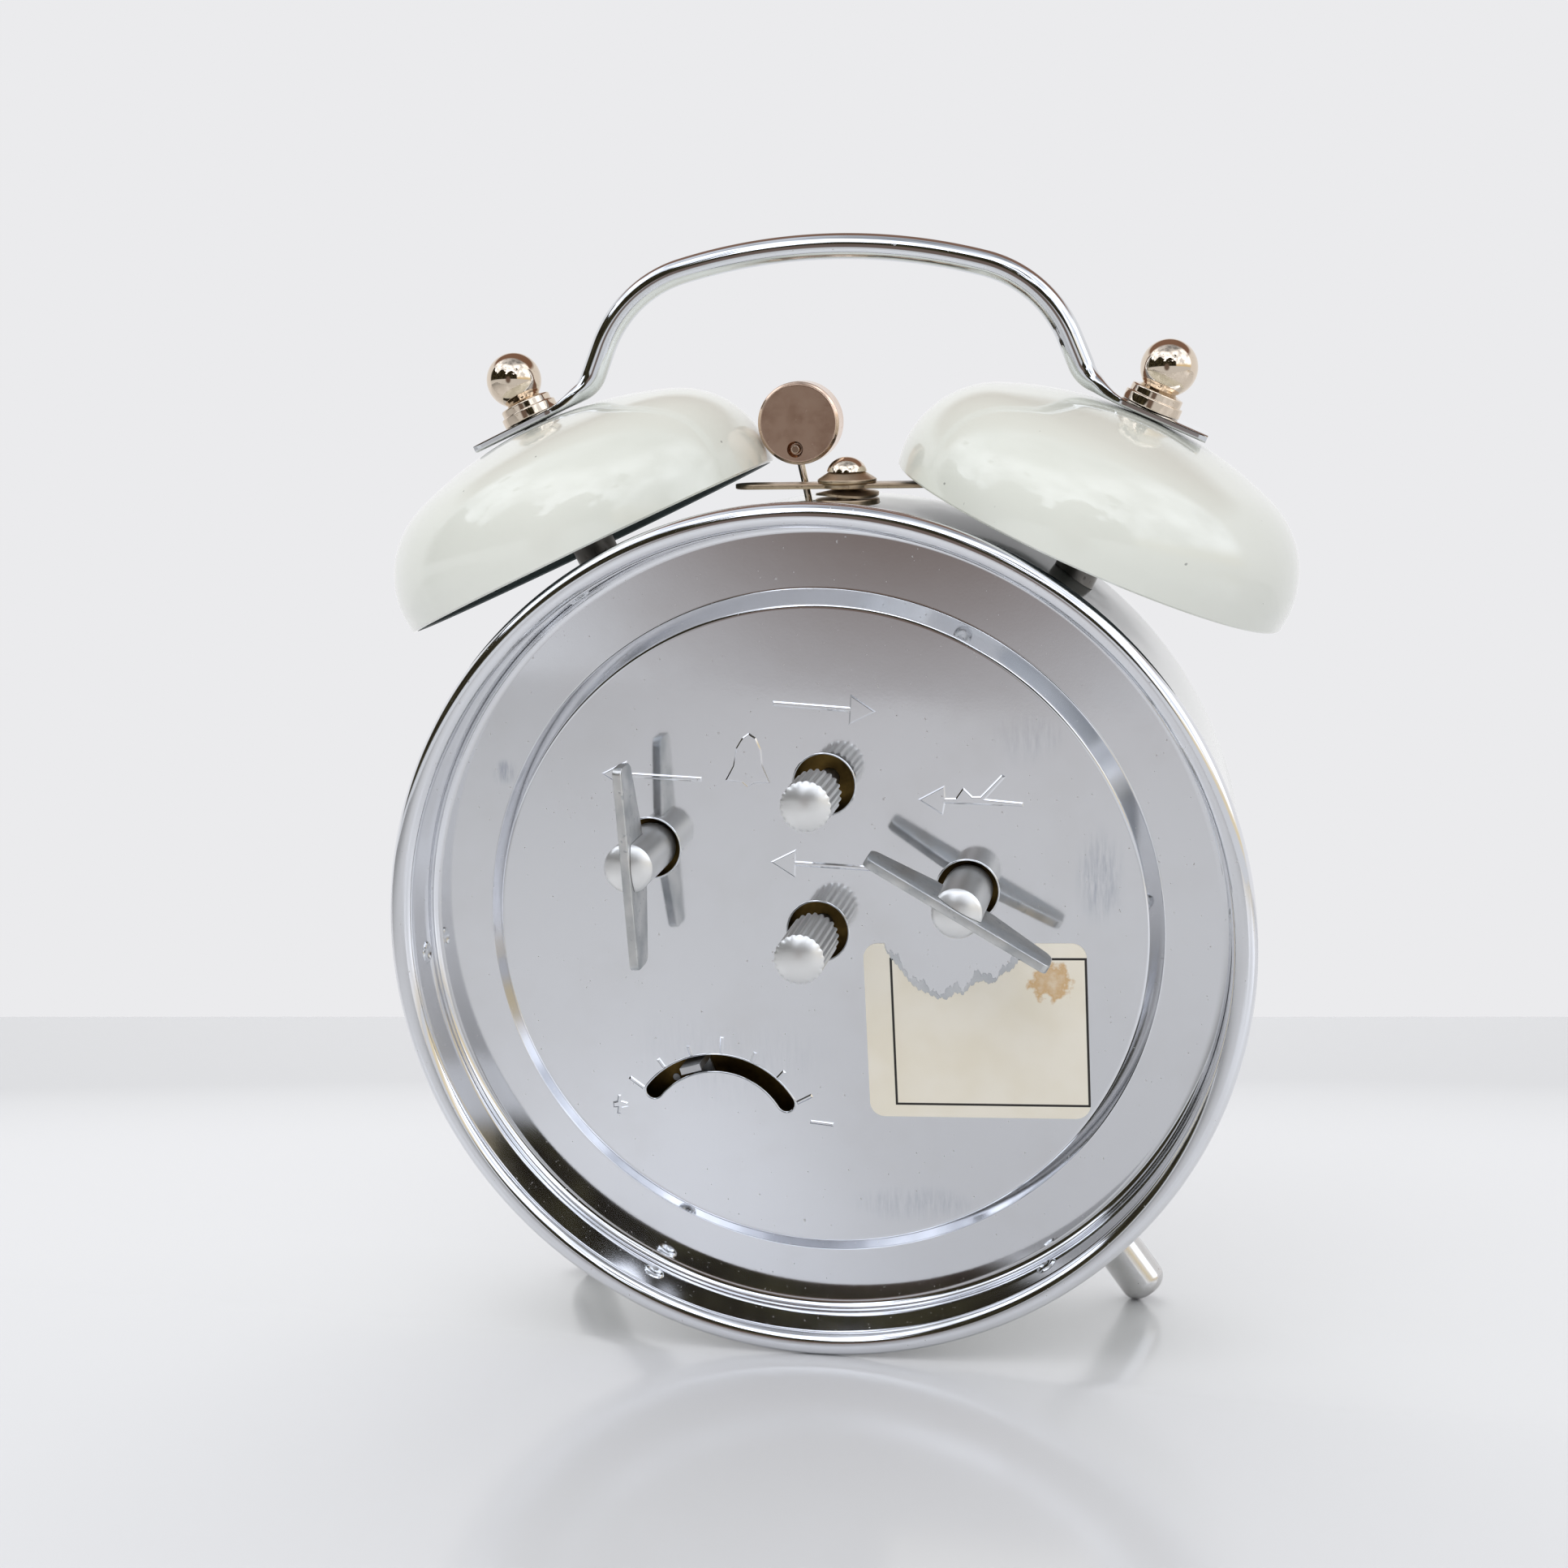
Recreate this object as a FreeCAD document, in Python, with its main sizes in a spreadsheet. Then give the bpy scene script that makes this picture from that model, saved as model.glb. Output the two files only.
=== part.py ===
"""Mechanical twin bell alarm clock, standing on two front feet and the rim of its back cover.

The clock is drawn in its case frame: x to the right as seen from the dial, y up, z from the
rear rim towards the dial. The movement and its cover share that frame, turned a little in the
case. At the end everything is leant back until the feet and the rim touch the floor, and set
down with +Z up, the dial towards -Y and the middle of the floor face at the origin.
"""
import FreeCAD, Part
import math
import os

import Sketcher

Vector = FreeCAD.Vector
Rotation = FreeCAD.Rotation
Placement = FreeCAD.Placement

# Driving dimensions in millimetres and degrees: name, value, what it sizes
SIZES = [
    ("rim_radius", 57.5, "outer radius of the rolled rim of the back cover"),
    ("rim_roll", 1.65, "radius of the roll's section"),
    ("sheet_wall", 0.5, "sheet steel of the case and the back cover"),
    ("case_depth", 44.0, "rear rim to the front face of the case"),
    ("case_round", 3.0, "outside radius of the case's front edge"),
    ("lip_width", 4.55, "case wall to the opening in the front of the case"),
    ("fit_gap", 0.15, "clearance between pressed pieces"),
    ("seat_gap", 0.05, "clearance between pieces that are clamped together"),
    ("recess_depth", 7.6, "rear rim to the sunk ring of the back cover"),
    ("plateau_radius", 43.7, "raised middle of the back cover"),
    ("plateau_slope", 1.8, "width of the slope round the raised middle"),
    ("plateau_rise", 1.9, "height of the raised middle"),
    ("corner_round", 1.3, "inside corner of the back cover"),
    ("stake_radius", 1.1, "stakes that lock the cover in the case"),
    ("stake_depth", 0.3, "depth of each stake"),
    ("stake_count", 6, "stakes round the cover"),
    ("stake_start", 52.3, "angle of the first stake"),
    ("stake_z", 3.8, "rear rim to the stakes"),
    ("movement_turn", 3.7, "turn of the movement in the case"),
    ("key_hole", 3.9, "radius of the key and knob holes in the cover"),
    ("slot_radius", 11.2, "middle radius of the regulator slot"),
    ("slot_width", 2.3, "width of the regulator slot"),
    ("slot_angle", 55.0, "half the angle of the regulator slot"),
    ("label_width", 29.5, "paper label on the cover"),
    ("label_height", 24.0, "paper label on the cover"),
    ("label_round", 2.0, "corners of the paper label"),
    ("label_thick", 0.12, "paper label"),
    ("label_x", -21.9, "middle of the paper label, across"),
    ("label_y", -11.7, "middle of the paper label, up"),
    ("label_turn", -5.2, "lie of the paper label"),
    ("bells_apart", 17.48, "between the bells' rims, across the middle"),
    ("mouth_inset", 0.2, "widest place of a bell to its rim, inwards"),
    ("bell_height", 18.6, "rim plane to the top of a bell"),
    ("bell_belly", 2.5, "height of the widest place above the rim"),
    ("bell_crown", 55.0, "radius of a bell's flat crown"),
    ("bell_wall", 0.9, "sheet of a bell"),
    ("bell_tilt", 24.5, "lean of a bell outwards"),
    ("bell_angle", 35.016, "middle of a bell's rim round the case from straight up"),
    ("bell_gap", 4.6, "case to the middle of a bell's rim"),
    ("bell_front", 17.0, "front face to the plane of bells, handle and hammer"),
    ("post_radius", 3.0, "shoulder of a bell post"),
    ("stud_radius", 1.5, "threaded end of a bell post or a foot"),
    ("stud_fit", 0.2, "clearance of holes over a stud"),
    ("stud_inside", 4.2, "reach of a stud into the case"),
    ("nut_across", 6.4, "hexagon nuts in the case across corners"),
    ("nut_height", 1.9, "hexagon nuts in the case"),
    ("ball_radius", 3.8, "ball of a ball nut"),
    ("ball_height", 5.75, "seat to the middle of the ball"),
    ("ball_neck", 2.6, "neck of a ball nut"),
    ("collar_radius", 4.0, "lower collar of a ball nut"),
    ("collar_height", 1.35, "lower collar of a ball nut"),
    ("ring_radius", 3.6, "upper collar of a ball nut"),
    ("ring_height", 1.0, "upper collar of a ball nut"),
    ("rod_radius", 1.75, "handle rod"),
    ("handle_above", 40.15, "middle of a bell's rim to the middle of the rod's top, upwards"),
    ("handle_crown", 79.0, "radius of the handle's flat top"),
    ("handle_shoulder", 17.0, "radius of the handle's shoulders"),
    ("handle_leg", 22.3, "lean of the handle's legs inwards"),
    ("handle_bend", 4.0, "radius of the bend above the strap"),
    ("handle_corner", 9.8, "bell axis to the corner of that bend"),
    ("strap_width", 8.0, "flattened end of the handle"),
    ("strap_thick", 1.1, "flattened end of the handle"),
    ("strap_in", 5.8, "strap from the bell axis to the rod"),
    ("strap_out", 8.4, "strap from the bell axis to its free end"),
    ("foot_angle", 35.0, "feet from straight down"),
    ("foot_radius", 3.3, "foot"),
    ("foot_length", 19.35, "case to the end of a foot"),
    ("foot_round", 2.2, "rounded end of a foot"),
    ("foot_front", 9.0, "front face to the feet"),
    ("stop_across", -2.8, "stop lever's pivot from the centre plane"),
    ("stop_behind", 7.0, "plane of the bells to the stop lever's pivot, to the rear"),
    ("washer_radius", 4.3, "flat and spring washer under the stop lever"),
    ("washer_thick", 0.8, "flat washer"),
    ("spring_rise", 1.3, "spring washer's height"),
    ("spring_thick", 0.35, "spring washer's sheet"),
    ("lever_thick", 0.65, "stop lever"),
    ("lever_hub", 3.5, "stop lever round its pivot"),
    ("lever_width", 4.6, "stop lever's arms"),
    ("lever_long", 15.2, "stop lever's long arm"),
    ("lever_short", 13.0, "stop lever's short arm"),
    ("cone_radius", 3.95, "foot of the cone washer"),
    ("cone_top", 2.3, "top of the cone washer"),
    ("cone_height", 1.5, "cone washer"),
    ("rivet_radius", 2.8, "rivet head of the stop spindle"),
    ("rivet_height", 1.8, "rivet head of the stop spindle"),
    ("spindle_radius", 1.4, "stop spindle"),
    ("spindle_inside", 3.6, "reach of the stop spindle into the case"),
    ("spindle_collar", 2.3, "clip at the inner end of the stop spindle"),
    ("disc_radius", 5.6, "hammer disc"),
    ("disc_thick", 4.5, "hammer disc"),
    ("disc_over", 11.01, "case to the middle of the disc, along the wire"),
    ("disc_offset", 1.1, "middle of the disc beside the wire"),
    ("stake_below", 3.36, "middle of the disc to the staked end of the wire"),
    ("wire_radius", 0.5, "hammer wire"),
    ("disc_side", 6.8, "hammer arbor to the middle of the disc, across, at rest"),
    ("hammer_hub", 1.8, "hammer's boss on its arbor"),
    ("hammer_pallet", 5.0, "hammer's drive pallet from its arbor"),
    ("plate_thick", 1.2, "movement plates"),
    ("plate_radius", 40.0, "movement plates"),
    ("motion_room", 5.1, "front plate to the dial"),
    ("plate_z", 10.0, "rear rim to the back plate"),
    ("pillar_radius", 1.9, "movement pillars"),
    ("pillar_neck", 1.1, "pillar ends through the plates"),
    ("pillar_edge", 3.6, "edge of the plates to the middle of the pillars"),
    ("dial_pillar_edge", 6.0, "edge of the plates to the middle of the dial's pillars"),
    ("dial_pillar_radius", 1.5, "dial's pillars"),
    ("pivot_radius", 0.5, "pivots of the train"),
    ("arbor_radius", 0.9, "arbors of the train"),
    ("running_fit", 0.06, "clearance of turning pieces"),
    ("end_shake", 0.3, "end play of turning pieces"),
    ("time_key_x", -19.6, "time winding arbor, across"),
    ("time_key_y", 7.3, "time winding arbor, up"),
    ("alarm_key_x", 23.2, "alarm winding arbor, across"),
    ("alarm_key_y", 9.5, "alarm winding arbor, up"),
    ("alarm_set_y", 20.0, "alarm setting arbor above the centre"),
    ("balance_x", 12.5, "balance staff, across"),
    ("balance_y", -30.9, "balance staff, up"),
    ("balance_radius", 8.4, "balance wheel"),
    ("third_x", -5.78, "third arbor, across"),
    ("third_y", -17.05, "third arbor, up"),
    ("fourth_x", 9.5, "fourth arbor, across"),
    ("fourth_y", -16.3, "fourth arbor, up"),
    ("escape_x", 21.2, "escape arbor, across"),
    ("escape_y", -14.9, "escape arbor, up"),
    ("escape_radius", 7.5, "escape wheel"),
    ("pallet_x", 19.6, "pallet arbor, across"),
    ("pallet_y", -23.8, "pallet arbor, up"),
    ("pallet_hub", 1.6, "hub of the pallets"),
    ("pallet_arm", 1.4, "arms of the pallets"),
    ("fork_length", 7.0, "fork of the pallets"),
    ("pin_radius", 0.3, "pallet pins"),
    ("pin_gap", 0.55, "escape wheel's teeth to the middle of a pin"),
    ("buzz_x", 11.5, "alarm escape arbor, across"),
    ("buzz_y", 26.2, "alarm escape arbor, up"),
    ("buzz_radius", 5.2, "alarm escape wheel"),
    ("hammer_x", 0.8, "hammer arbor, across"),
    ("hammer_y", 29.4, "hammer arbor, up"),
    ("window_left", 6.2, "hammer window, left of the middle"),
    ("window_right", 7.4, "hammer window, right of the middle"),
    ("window_width", 3.2, "hammer window"),
    ("motion_x", -11.75, "minute wheel's post, across"),
    ("motion_y", -4.28, "minute wheel's post, up"),
    ("winding_radius", 2.4, "winding arbors"),
    ("key_pin", 1.6, "winding arbor inside the key"),
    ("key_hub_radius", 3.25, "key hub"),
    ("key_tip", 7.3, "rear rim to the domed end of a key, outwards"),
    ("key_length", 14.4, "key hub"),
    ("key_dome", 1.1, "domed end of keys and knobs"),
    ("wing_half", 13.4, "wing from its hub's middle to each tip"),
    ("wing_thick", 1.2, "wing"),
    ("wing_proud", 0.3, "wing beyond the domed end of its key"),
    ("wing_hub_depth", 7.8, "wing in its hub"),
    ("wing_tip_depth", 5.2, "wing at its tips"),
    ("time_wing_angle", 27.0, "lie of the time key's wing at rest"),
    ("alarm_wing_angle", 83.3, "lie of the alarm key's wing at rest"),
    ("knob_radius", 3.3, "knurled knobs"),
    ("knob_tip", 9.2, "rear rim to the domed end of a knob, outwards"),
    ("knob_length", 13.7, "knurled knobs"),
    ("knob_flutes", 22, "flutes of a knob"),
    ("flute_radius", 0.3, "flutes of a knob"),
    ("setting_radius", 1.3, "setting arbors"),
    ("hour_pipe", 2.2, "pipe of the hour wheel"),
    ("spring_radius", 13.3, "let down mainspring"),
    ("spring_turns", 6, "turns of a mainspring"),
    ("spring_sheet", 0.5, "mainspring strip"),
    ("hair_radius", 5.6, "hairspring"),
    ("hair_sheet", 0.15, "hairspring strip"),
    ("regulator_angle", 20.0, "regulator beside the middle of its slot, at rest"),
    ("regulator_tab", 2.9, "regulator tab along the slot"),
    ("regulator_proud", 1.8, "regulator tab beyond the cover"),
    ("regulator_ring", 3.8, "regulator's ring round its boss"),
    ("regulator_thick", 0.6, "regulator lever"),
    ("boss_radius", 2.0, "regulator's boss on the back plate"),
    ("boss_height", 1.3, "regulator's boss on the back plate"),
    ("dial_clear", 2.85, "dial's edge to the case wall"),
    ("dial_thick", 0.4, "dial"),
    ("dial_depth", 7.5, "front face of the case to the back of the dial"),
    ("ring_width", 3.0, "ring between dial and glass"),
    ("glass_clear", 2.55, "glass's edge to the case wall"),
    ("glass_thick", 1.1, "glass"),
    ("glass_flat", 5.2, "flat edge of the glass"),
    ("glass_dome", 1.4, "rise of the glass"),
    ("bezel_width", 3.1, "front bezel"),
    ("bezel_height", 1.9, "front bezel"),
    ("bezel_round", 1.2, "rounded edges of the front bezel"),
    ("hour_length", 25.0, "hour hand"),
    ("minute_length", 37.0, "minute hand"),
    ("alarm_length", 8.0, "alarm hand"),
    ("hand_thick", 0.3, "hands"),
    ("alarm_lift", 0.4, "dial to the alarm hand"),
    ("hour_lift", 1.05, "dial to the hour hand"),
    ("minute_lift", 2.4, "dial to the minute hand"),
]

# Dimensions that the sheet works out from the driving ones: name, formula, what it sizes
FOLLOWING = [
    ("drum_inside", "rim_radius - rim_roll * 2 + sheet_wall + fit_gap", "inner radius of the drum"),
    ("drum_outside", "drum_inside + sheet_wall", "outer radius of the drum"),
    ("lip_radius", "drum_outside - lip_width", "opening in the front of the case"),
    ("dial_radius", "drum_inside - dial_clear", "dial"),
    ("glass_radius", "drum_inside - glass_clear", "glass"),
    ("dial_z", "case_depth - dial_depth", "rear rim to the back of the dial"),
    ("plate_gap", "dial_z - motion_room - plate_z - plate_thick * 2", "between the movement plates"),
    ("bell_plane", "case_depth - bell_front", "rear rim to the plane of the bells"),
    ("foot_plane", "case_depth - foot_front", "rear rim to the feet"),
    ("stop_plane", "bell_plane - stop_behind", "rear rim to the stop lever's pivot"),
    ("bell_out", "drum_outside + bell_gap", "case axis to the middle of a bell's rim"),
    ("bell_across", "bell_out * sin(bell_angle)", "middle of a bell's rim from the centre plane"),
    ("bell_up", "bell_out * cos(bell_angle)", "middle of a bell's rim above the case axis"),
    ("bell_radius", "(bell_across - bells_apart / 2) / cos(bell_tilt)", "widest radius of a bell"),
    ("bell_mouth", "bell_radius - mouth_inset", "rim radius of a bell"),
    ("handle_top", "bell_up + handle_above", "middle of the rod over the case axis"),
    ("foot_reach", "drum_outside + foot_length", "case axis to the end of a foot"),
    ("disc_reach", "drum_outside - hammer_y + disc_over", "hammer arbor to the middle of the disc"),
    ("stake_reach", "disc_reach - stake_below", "hammer arbor to the staked end of the wire"),
    ("pillar_circle", "plate_radius - pillar_edge", "circle of the pillars"),
    ("dial_pillar_circle", "plate_radius - dial_pillar_edge", "circle of the dial's pillars"),
]


class Dim:
    """A length with the formula that binds it to the sheet."""

    def __init__(self, value, formula):
        self.value = float(value)
        self.formula = formula

    def combine(self, other, sign, value):
        """Join two lengths by an arithmetic sign."""
        return Dim(value, f"({self.formula} {sign} {other.formula})")

    def __add__(self, other):
        other = as_dim(other)
        return self.combine(other, "+", self.value + other.value)

    def __sub__(self, other):
        other = as_dim(other)
        return self.combine(other, "-", self.value - other.value)

    def __mul__(self, other):
        other = as_dim(other)
        return self.combine(other, "*", self.value * other.value)

    def __truediv__(self, other):
        other = as_dim(other)
        return self.combine(other, "/", self.value / other.value)

    def __neg__(self):
        return Dim(-self.value, f"(0 - {self.formula})")

    def __float__(self):
        return self.value


def as_dim(number):
    """Give a plain number the form of a Dim."""
    return number if isinstance(number, Dim) else Dim(number, f"{float(number):.6f}")


def root(dim):
    """Square root of a Dim."""
    return Dim(math.sqrt(dim.value), f"sqrt({dim.formula})")


def dome_radius(half, rise):
    """Radius of an arc over a half width with a given rise."""
    return (half * half + rise * rise) / (rise * 2)


class Sizes:
    """The spreadsheet: each dimension is a cell with an alias, typed or worked out."""

    def __init__(self, target):
        self.sheet = target.addObject("Spreadsheet::Sheet", "Sizes")
        typed = [(name, str(value), note) for name, value, note in SIZES]
        worked_out = [(name, f"={formula}", note) for name, formula, note in FOLLOWING]
        cells = typed + worked_out
        for row, (name, content, note) in enumerate(cells, start=1):
            self.sheet.set(f"A{row}", note)
            self.sheet.set(f"B{row}", content)
            self.sheet.setAlias(f"B{row}", name)
        target.recompute()
        self.numbers = {name: float(self.sheet.get(name)) for name, _, _ in cells}

    def __getattr__(self, name):
        return Dim(self.__dict__["numbers"][name], f"Sizes.{name}")


os.makedirs("parts", exist_ok=True)
document = FreeCAD.newDocument("AlarmClock")
size = Sizes(document)
num = size.numbers
pieces = {}

# Seats and levels
drum_inside = size.drum_inside
drum_outside = size.drum_outside
lip_back = size.case_depth - size.sheet_wall
glass_z = lip_back - size.fit_gap - size.glass_thick
bell_seat = size.bell_height - size.bell_wall
strap_seat = size.bell_height + size.seat_gap
nut_seat = strap_seat + size.strap_thick + size.seat_gap
GAP = num["seat_gap"]
FIT = num["running_fit"]
REAR = num["plate_z"] + num["plate_thick"]
FRONT = REAR + num["plate_gap"]
DIAL_SIDE = FRONT + num["plate_thick"]
DIAL_FACE = num["dial_z"] + num["dial_thick"]
COVER_BACK = num["recess_depth"] - num["plateau_rise"]
OVER = 1.0

# Where the arbors stand in the movement
CENTRE = (0.0, 0.0)
ALARM_SET = (0.0, num["alarm_set_y"])
TIME_KEY = (num["time_key_x"], num["time_key_y"])
ALARM_KEY = (num["alarm_key_x"], num["alarm_key_y"])
THIRD = (num["third_x"], num["third_y"])
FOURTH = (num["fourth_x"], num["fourth_y"])
ESCAPE = (num["escape_x"], num["escape_y"])
PALLET = (num["pallet_x"], num["pallet_y"])
BALANCE = (num["balance_x"], num["balance_y"])
BUZZ = (num["buzz_x"], num["buzz_y"])
HAMMER = (num["hammer_x"], num["hammer_y"])
MOTION = (num["motion_x"], num["motion_y"])
PILLAR_ANGLES = (62, 120, 235, 335)
DIAL_PILLAR_ANGLES = (150, 270, 30)


# Frames: the case frame, the movement frame turned in it, and how they stand

def polar(radius, degrees):
    """Point of the given radius and angle, counted from +x."""
    angle = math.radians(degrees)
    return Vector(radius * math.cos(angle), radius * math.sin(angle), 0)


def lean_back():
    """Angle by which the clock leans back until feet and rim both touch the floor."""
    ring = num["rim_radius"] - num["rim_roll"]
    down = math.cos(math.radians(num["foot_angle"]))
    end = num["foot_reach"] - num["foot_round"]
    flat = num["foot_radius"] - num["foot_round"]

    def rim_low(angle):
        return -ring * math.cos(angle) - num["rim_roll"]

    def foot_low(angle):
        along = down * math.cos(angle)
        middle = num["foot_plane"] * math.sin(angle) - end * along
        return middle - flat * math.sqrt(1 - along * along) - num["foot_round"]

    low, high = 0.0, math.radians(40)
    for _ in range(60):
        middle = (low + high) / 2
        if foot_low(middle) < rim_low(middle):
            low = middle
        else:
            high = middle
    return low, -rim_low(low)


LEAN, FLOOR_DROP = lean_back()
UPRIGHT = Placement(Vector(), Rotation(Vector(1, 0, 0), 90))
LEANT = Placement(Vector(0, 0, FLOOR_DROP), Rotation(Vector(1, 0, 0), -math.degrees(LEAN)))
CASE = LEANT.multiply(UPRIGHT)
TURN = Placement(Vector(), Rotation(Vector(0, 0, 1), num["movement_turn"]))
MOVEMENT = CASE.multiply(TURN)


def shifted(frame, x=0.0, y=0.0, z=0.0, turn=0.0):
    """Frame moved along its own axes and turned about its own z axis."""
    return frame.multiply(Placement(Vector(x, y, z), Rotation(Vector(0, 0, 1), turn)))


def bell_frame(side):
    """Frame of a bell in the case: origin in its rim plane, z outwards along its axis."""
    origin = Vector(side * num["bell_across"], num["bell_up"], num["bell_plane"])
    lean = math.radians(num["bell_tilt"])
    outwards = Vector(side * math.cos(lean), -math.sin(lean), 0)
    axis = Vector(side * math.sin(lean), math.cos(lean), 0)
    return Placement(origin, Rotation(outwards, axis.cross(outwards), axis, "ZXY"))


def foot_frame(side):
    """Frame of a foot in the case: origin on the case axis, z outwards along the foot."""
    angle = math.radians(num["foot_angle"])
    axis = Vector(side * math.sin(angle), -math.cos(angle), 0)
    return Placement(Vector(0, 0, num["foot_plane"]), Rotation(Vector(0, 0, 1), axis))


def stop_frame():
    """Frame of the stop lever in the case: z up along its spindle, y to the rear."""
    turn = Rotation(Vector(1, 0, 0), Vector(0, 0, -1), Vector(0, 1, 0), "ZXY")
    return Placement(Vector(num["stop_across"], 0, num["stop_plane"]), turn)


def bell_wall_height(radius, offset):
    """Height in the bell frame at which a line beside the bell axis meets a round wall."""
    lean = math.radians(num["bell_tilt"])
    axis = Vector(math.sin(lean), math.cos(lean), 0)
    start = Vector(num["bell_across"], num["bell_up"], 0)
    start = start + Vector(math.cos(lean), -math.sin(lean), 0) * offset
    along = start.dot(axis)
    return -along + math.sqrt(radius * radius - start.dot(start) + along * along)


# Ways of making a piece

def keep(label, item, frame):
    """Name a piece, place it and keep it for the files."""
    item.Label = label
    item.Placement = frame.multiply(item.Placement)
    pieces[label] = item
    return item


def placed(shape, frame):
    """Copy a shape into a frame."""
    copy = shape.copy()
    copy.Placement = frame.multiply(copy.Placement)
    return copy


def origin_plane(body, role):
    """Return one of the body's own origin planes."""
    for feature in body.Origin.OriginFeatures:
        if feature.Role == role:
            return feature
    raise ValueError(role)


def new_sketch(body, name, role):
    """Start a sketch on one of the body's origin planes."""
    sketch = body.newObject("Sketcher::SketchObject", name)
    sketch.AttachmentSupport = [(origin_plane(body, role), "")]
    sketch.MapMode = "FlatFace"
    return sketch


def bind(sketch, constraint, dim):
    """Add a constraint and tie its value to the sheet."""
    index = sketch.addConstraint(constraint)
    sketch.setExpression(f"Constraints[{index}]", dim.formula)


def pin_vertex(sketch, item, vertex, x, y):
    """Hold one vertex at a place given by two formulas."""
    if abs(x.value) < 1e-9:
        sketch.addConstraint(Sketcher.Constraint("PointOnObject", item, vertex, -2))
    else:
        bind(sketch, Sketcher.Constraint("DistanceX", -1, 1, item, vertex, x.value), x)
    if abs(y.value) < 1e-9:
        sketch.addConstraint(Sketcher.Constraint("PointOnObject", item, vertex, -1))
    else:
        bind(sketch, Sketcher.Constraint("DistanceY", -1, 1, item, vertex, y.value), y)


def arc_between(start, end, radius, side):
    """Short arc between two points, turning left for side 1 and right for side -1."""
    chord = end - start
    half = chord.Length / 2
    rise = math.sqrt(max(radius * radius - half * half, 0.0))
    normal = Vector(-chord.y, chord.x, 0).normalize()
    centre = start + chord * 0.5 + normal * (rise * side)
    first = math.atan2(start.y - centre.y, start.x - centre.x)
    last = math.atan2(end.y - centre.y, end.x - centre.x)
    circle = Part.Circle(centre, Vector(0, 0, 1), max(radius, half))
    if side > 0:
        return Part.ArcOfCircle(circle, first, last)
    return Part.ArcOfCircle(circle, last, first)


def draw_outline(sketch, steps):
    """Draw a closed outline: a step is (x, y) for a line or (x, y, radius, side) for an arc."""
    dims = [[as_dim(part) for part in step[:2]] for step in steps]
    points = [Vector(x.value, y.value, 0) for x, y in dims]
    ends = []
    for index, step in enumerate(steps):
        start = points[index - 1]
        end = points[index]
        if len(step) == 2:
            item = sketch.addGeometry(Part.LineSegment(start, end), False)
            ends.append((item, 1, 2))
            continue
        radius, side = as_dim(step[2]), step[3]
        item = sketch.addGeometry(arc_between(start, end, radius.value, side), False)
        ends.append((item, 1, 2) if side > 0 else (item, 2, 1))
        bind(sketch, Sketcher.Constraint("Radius", item, radius.value), radius)
    for index, (item, _, last) in enumerate(ends):
        after = ends[(index + 1) % len(ends)]
        sketch.addConstraint(Sketcher.Constraint("Coincident", item, last, after[0], after[1]))
        pin_vertex(sketch, item, last, *dims[index])


def draw_circle(sketch, x, y, radius):
    """Draw a circle whose middle and radius are tied to the sheet."""
    x, y, radius = as_dim(x), as_dim(y), as_dim(radius)
    circle = Part.Circle(Vector(x.value, y.value, 0), Vector(0, 0, 1), radius.value)
    item = sketch.addGeometry(circle, False)
    bind(sketch, Sketcher.Constraint("Radius", item, radius.value), radius)
    if abs(x.value) < 1e-9 and abs(y.value) < 1e-9:
        sketch.addConstraint(Sketcher.Constraint("Coincident", item, 3, -1, 1))
    else:
        pin_vertex(sketch, item, 3, x, y)


def turned(label, steps):
    """Turn a closed profile of (radius, height) steps about the body's z axis."""
    body = document.addObject("PartDesign::Body", label)
    sketch = new_sketch(body, f"{label}_profile", "XZ_Plane")
    draw_outline(sketch, steps)
    turn = body.newObject("PartDesign::Revolution", f"{label}_turned")
    turn.Profile = sketch
    turn.ReferenceAxis = (sketch, ["V_Axis"])
    turn.Angle = 360
    return body


def padded(body, name, draw, length, reverse=False):
    """Pad a sketch on the body's floor plane by a length tied to the sheet."""
    sketch = new_sketch(body, f"{name}_sketch", "XY_Plane")
    draw(sketch)
    feature = body.newObject("PartDesign::Pad", name)
    feature.Profile = sketch
    feature.Length = as_dim(length).value
    feature.setExpression("Length", as_dim(length).formula)
    feature.Reversed = reverse
    return feature


def solid_feature(label, shape):
    """Keep a shape worked out with Part's own functions."""
    feature = document.addObject("Part::Feature", label)
    feature.Shape = shape
    return feature


def cut_from(label, base, tools):
    """Cut shapes from a made piece."""
    feature = document.addObject("Part::Cut", label)
    feature.Base = base
    feature.Tool = solid_feature(f"{label}_cuts", Part.makeCompound(tools))
    return feature


def cylinder(radius, low, high, x=0.0, y=0.0):
    """Upright cylinder between two heights."""
    return Part.makeCylinder(radius, high - low, Vector(x, y, low))


def box(x_low, x_high, y_low, y_high, z_low, z_high):
    """Upright box between its limits."""
    corner = Vector(x_low, y_low, z_low)
    return Part.makeBox(x_high - x_low, y_high - y_low, z_high - z_low, corner)


def prism(points, low, high):
    """Upright prism over a closed outline of points."""
    corners = [Vector(point.x, point.y, low) for point in points]
    outline = Part.makePolygon(corners + corners[:1])
    return Part.Face(outline).extrude(Vector(0, 0, high - low))


def joined(first, *others):
    """Fuse solids of one piece."""
    return first.fuse(list(others)).removeSplitter()


def hexagon_nut(across, low, high, bore):
    """Hexagon nut with a bore."""
    corners = [polar(across / 2, 60 * index) for index in range(6)]
    return prism(corners, low, high).cut(cylinder(bore, low - OVER, high + OVER))


def stadium(x_low, x_high, width, low, high):
    """Upright bar with round ends along x."""
    radius = width / 2
    bar = box(x_low + radius, x_high - radius, -radius, radius, low, high)
    ends = [cylinder(radius, low, high, x) for x in (x_low + radius, x_high - radius)]
    return joined(bar, *ends)


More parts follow.
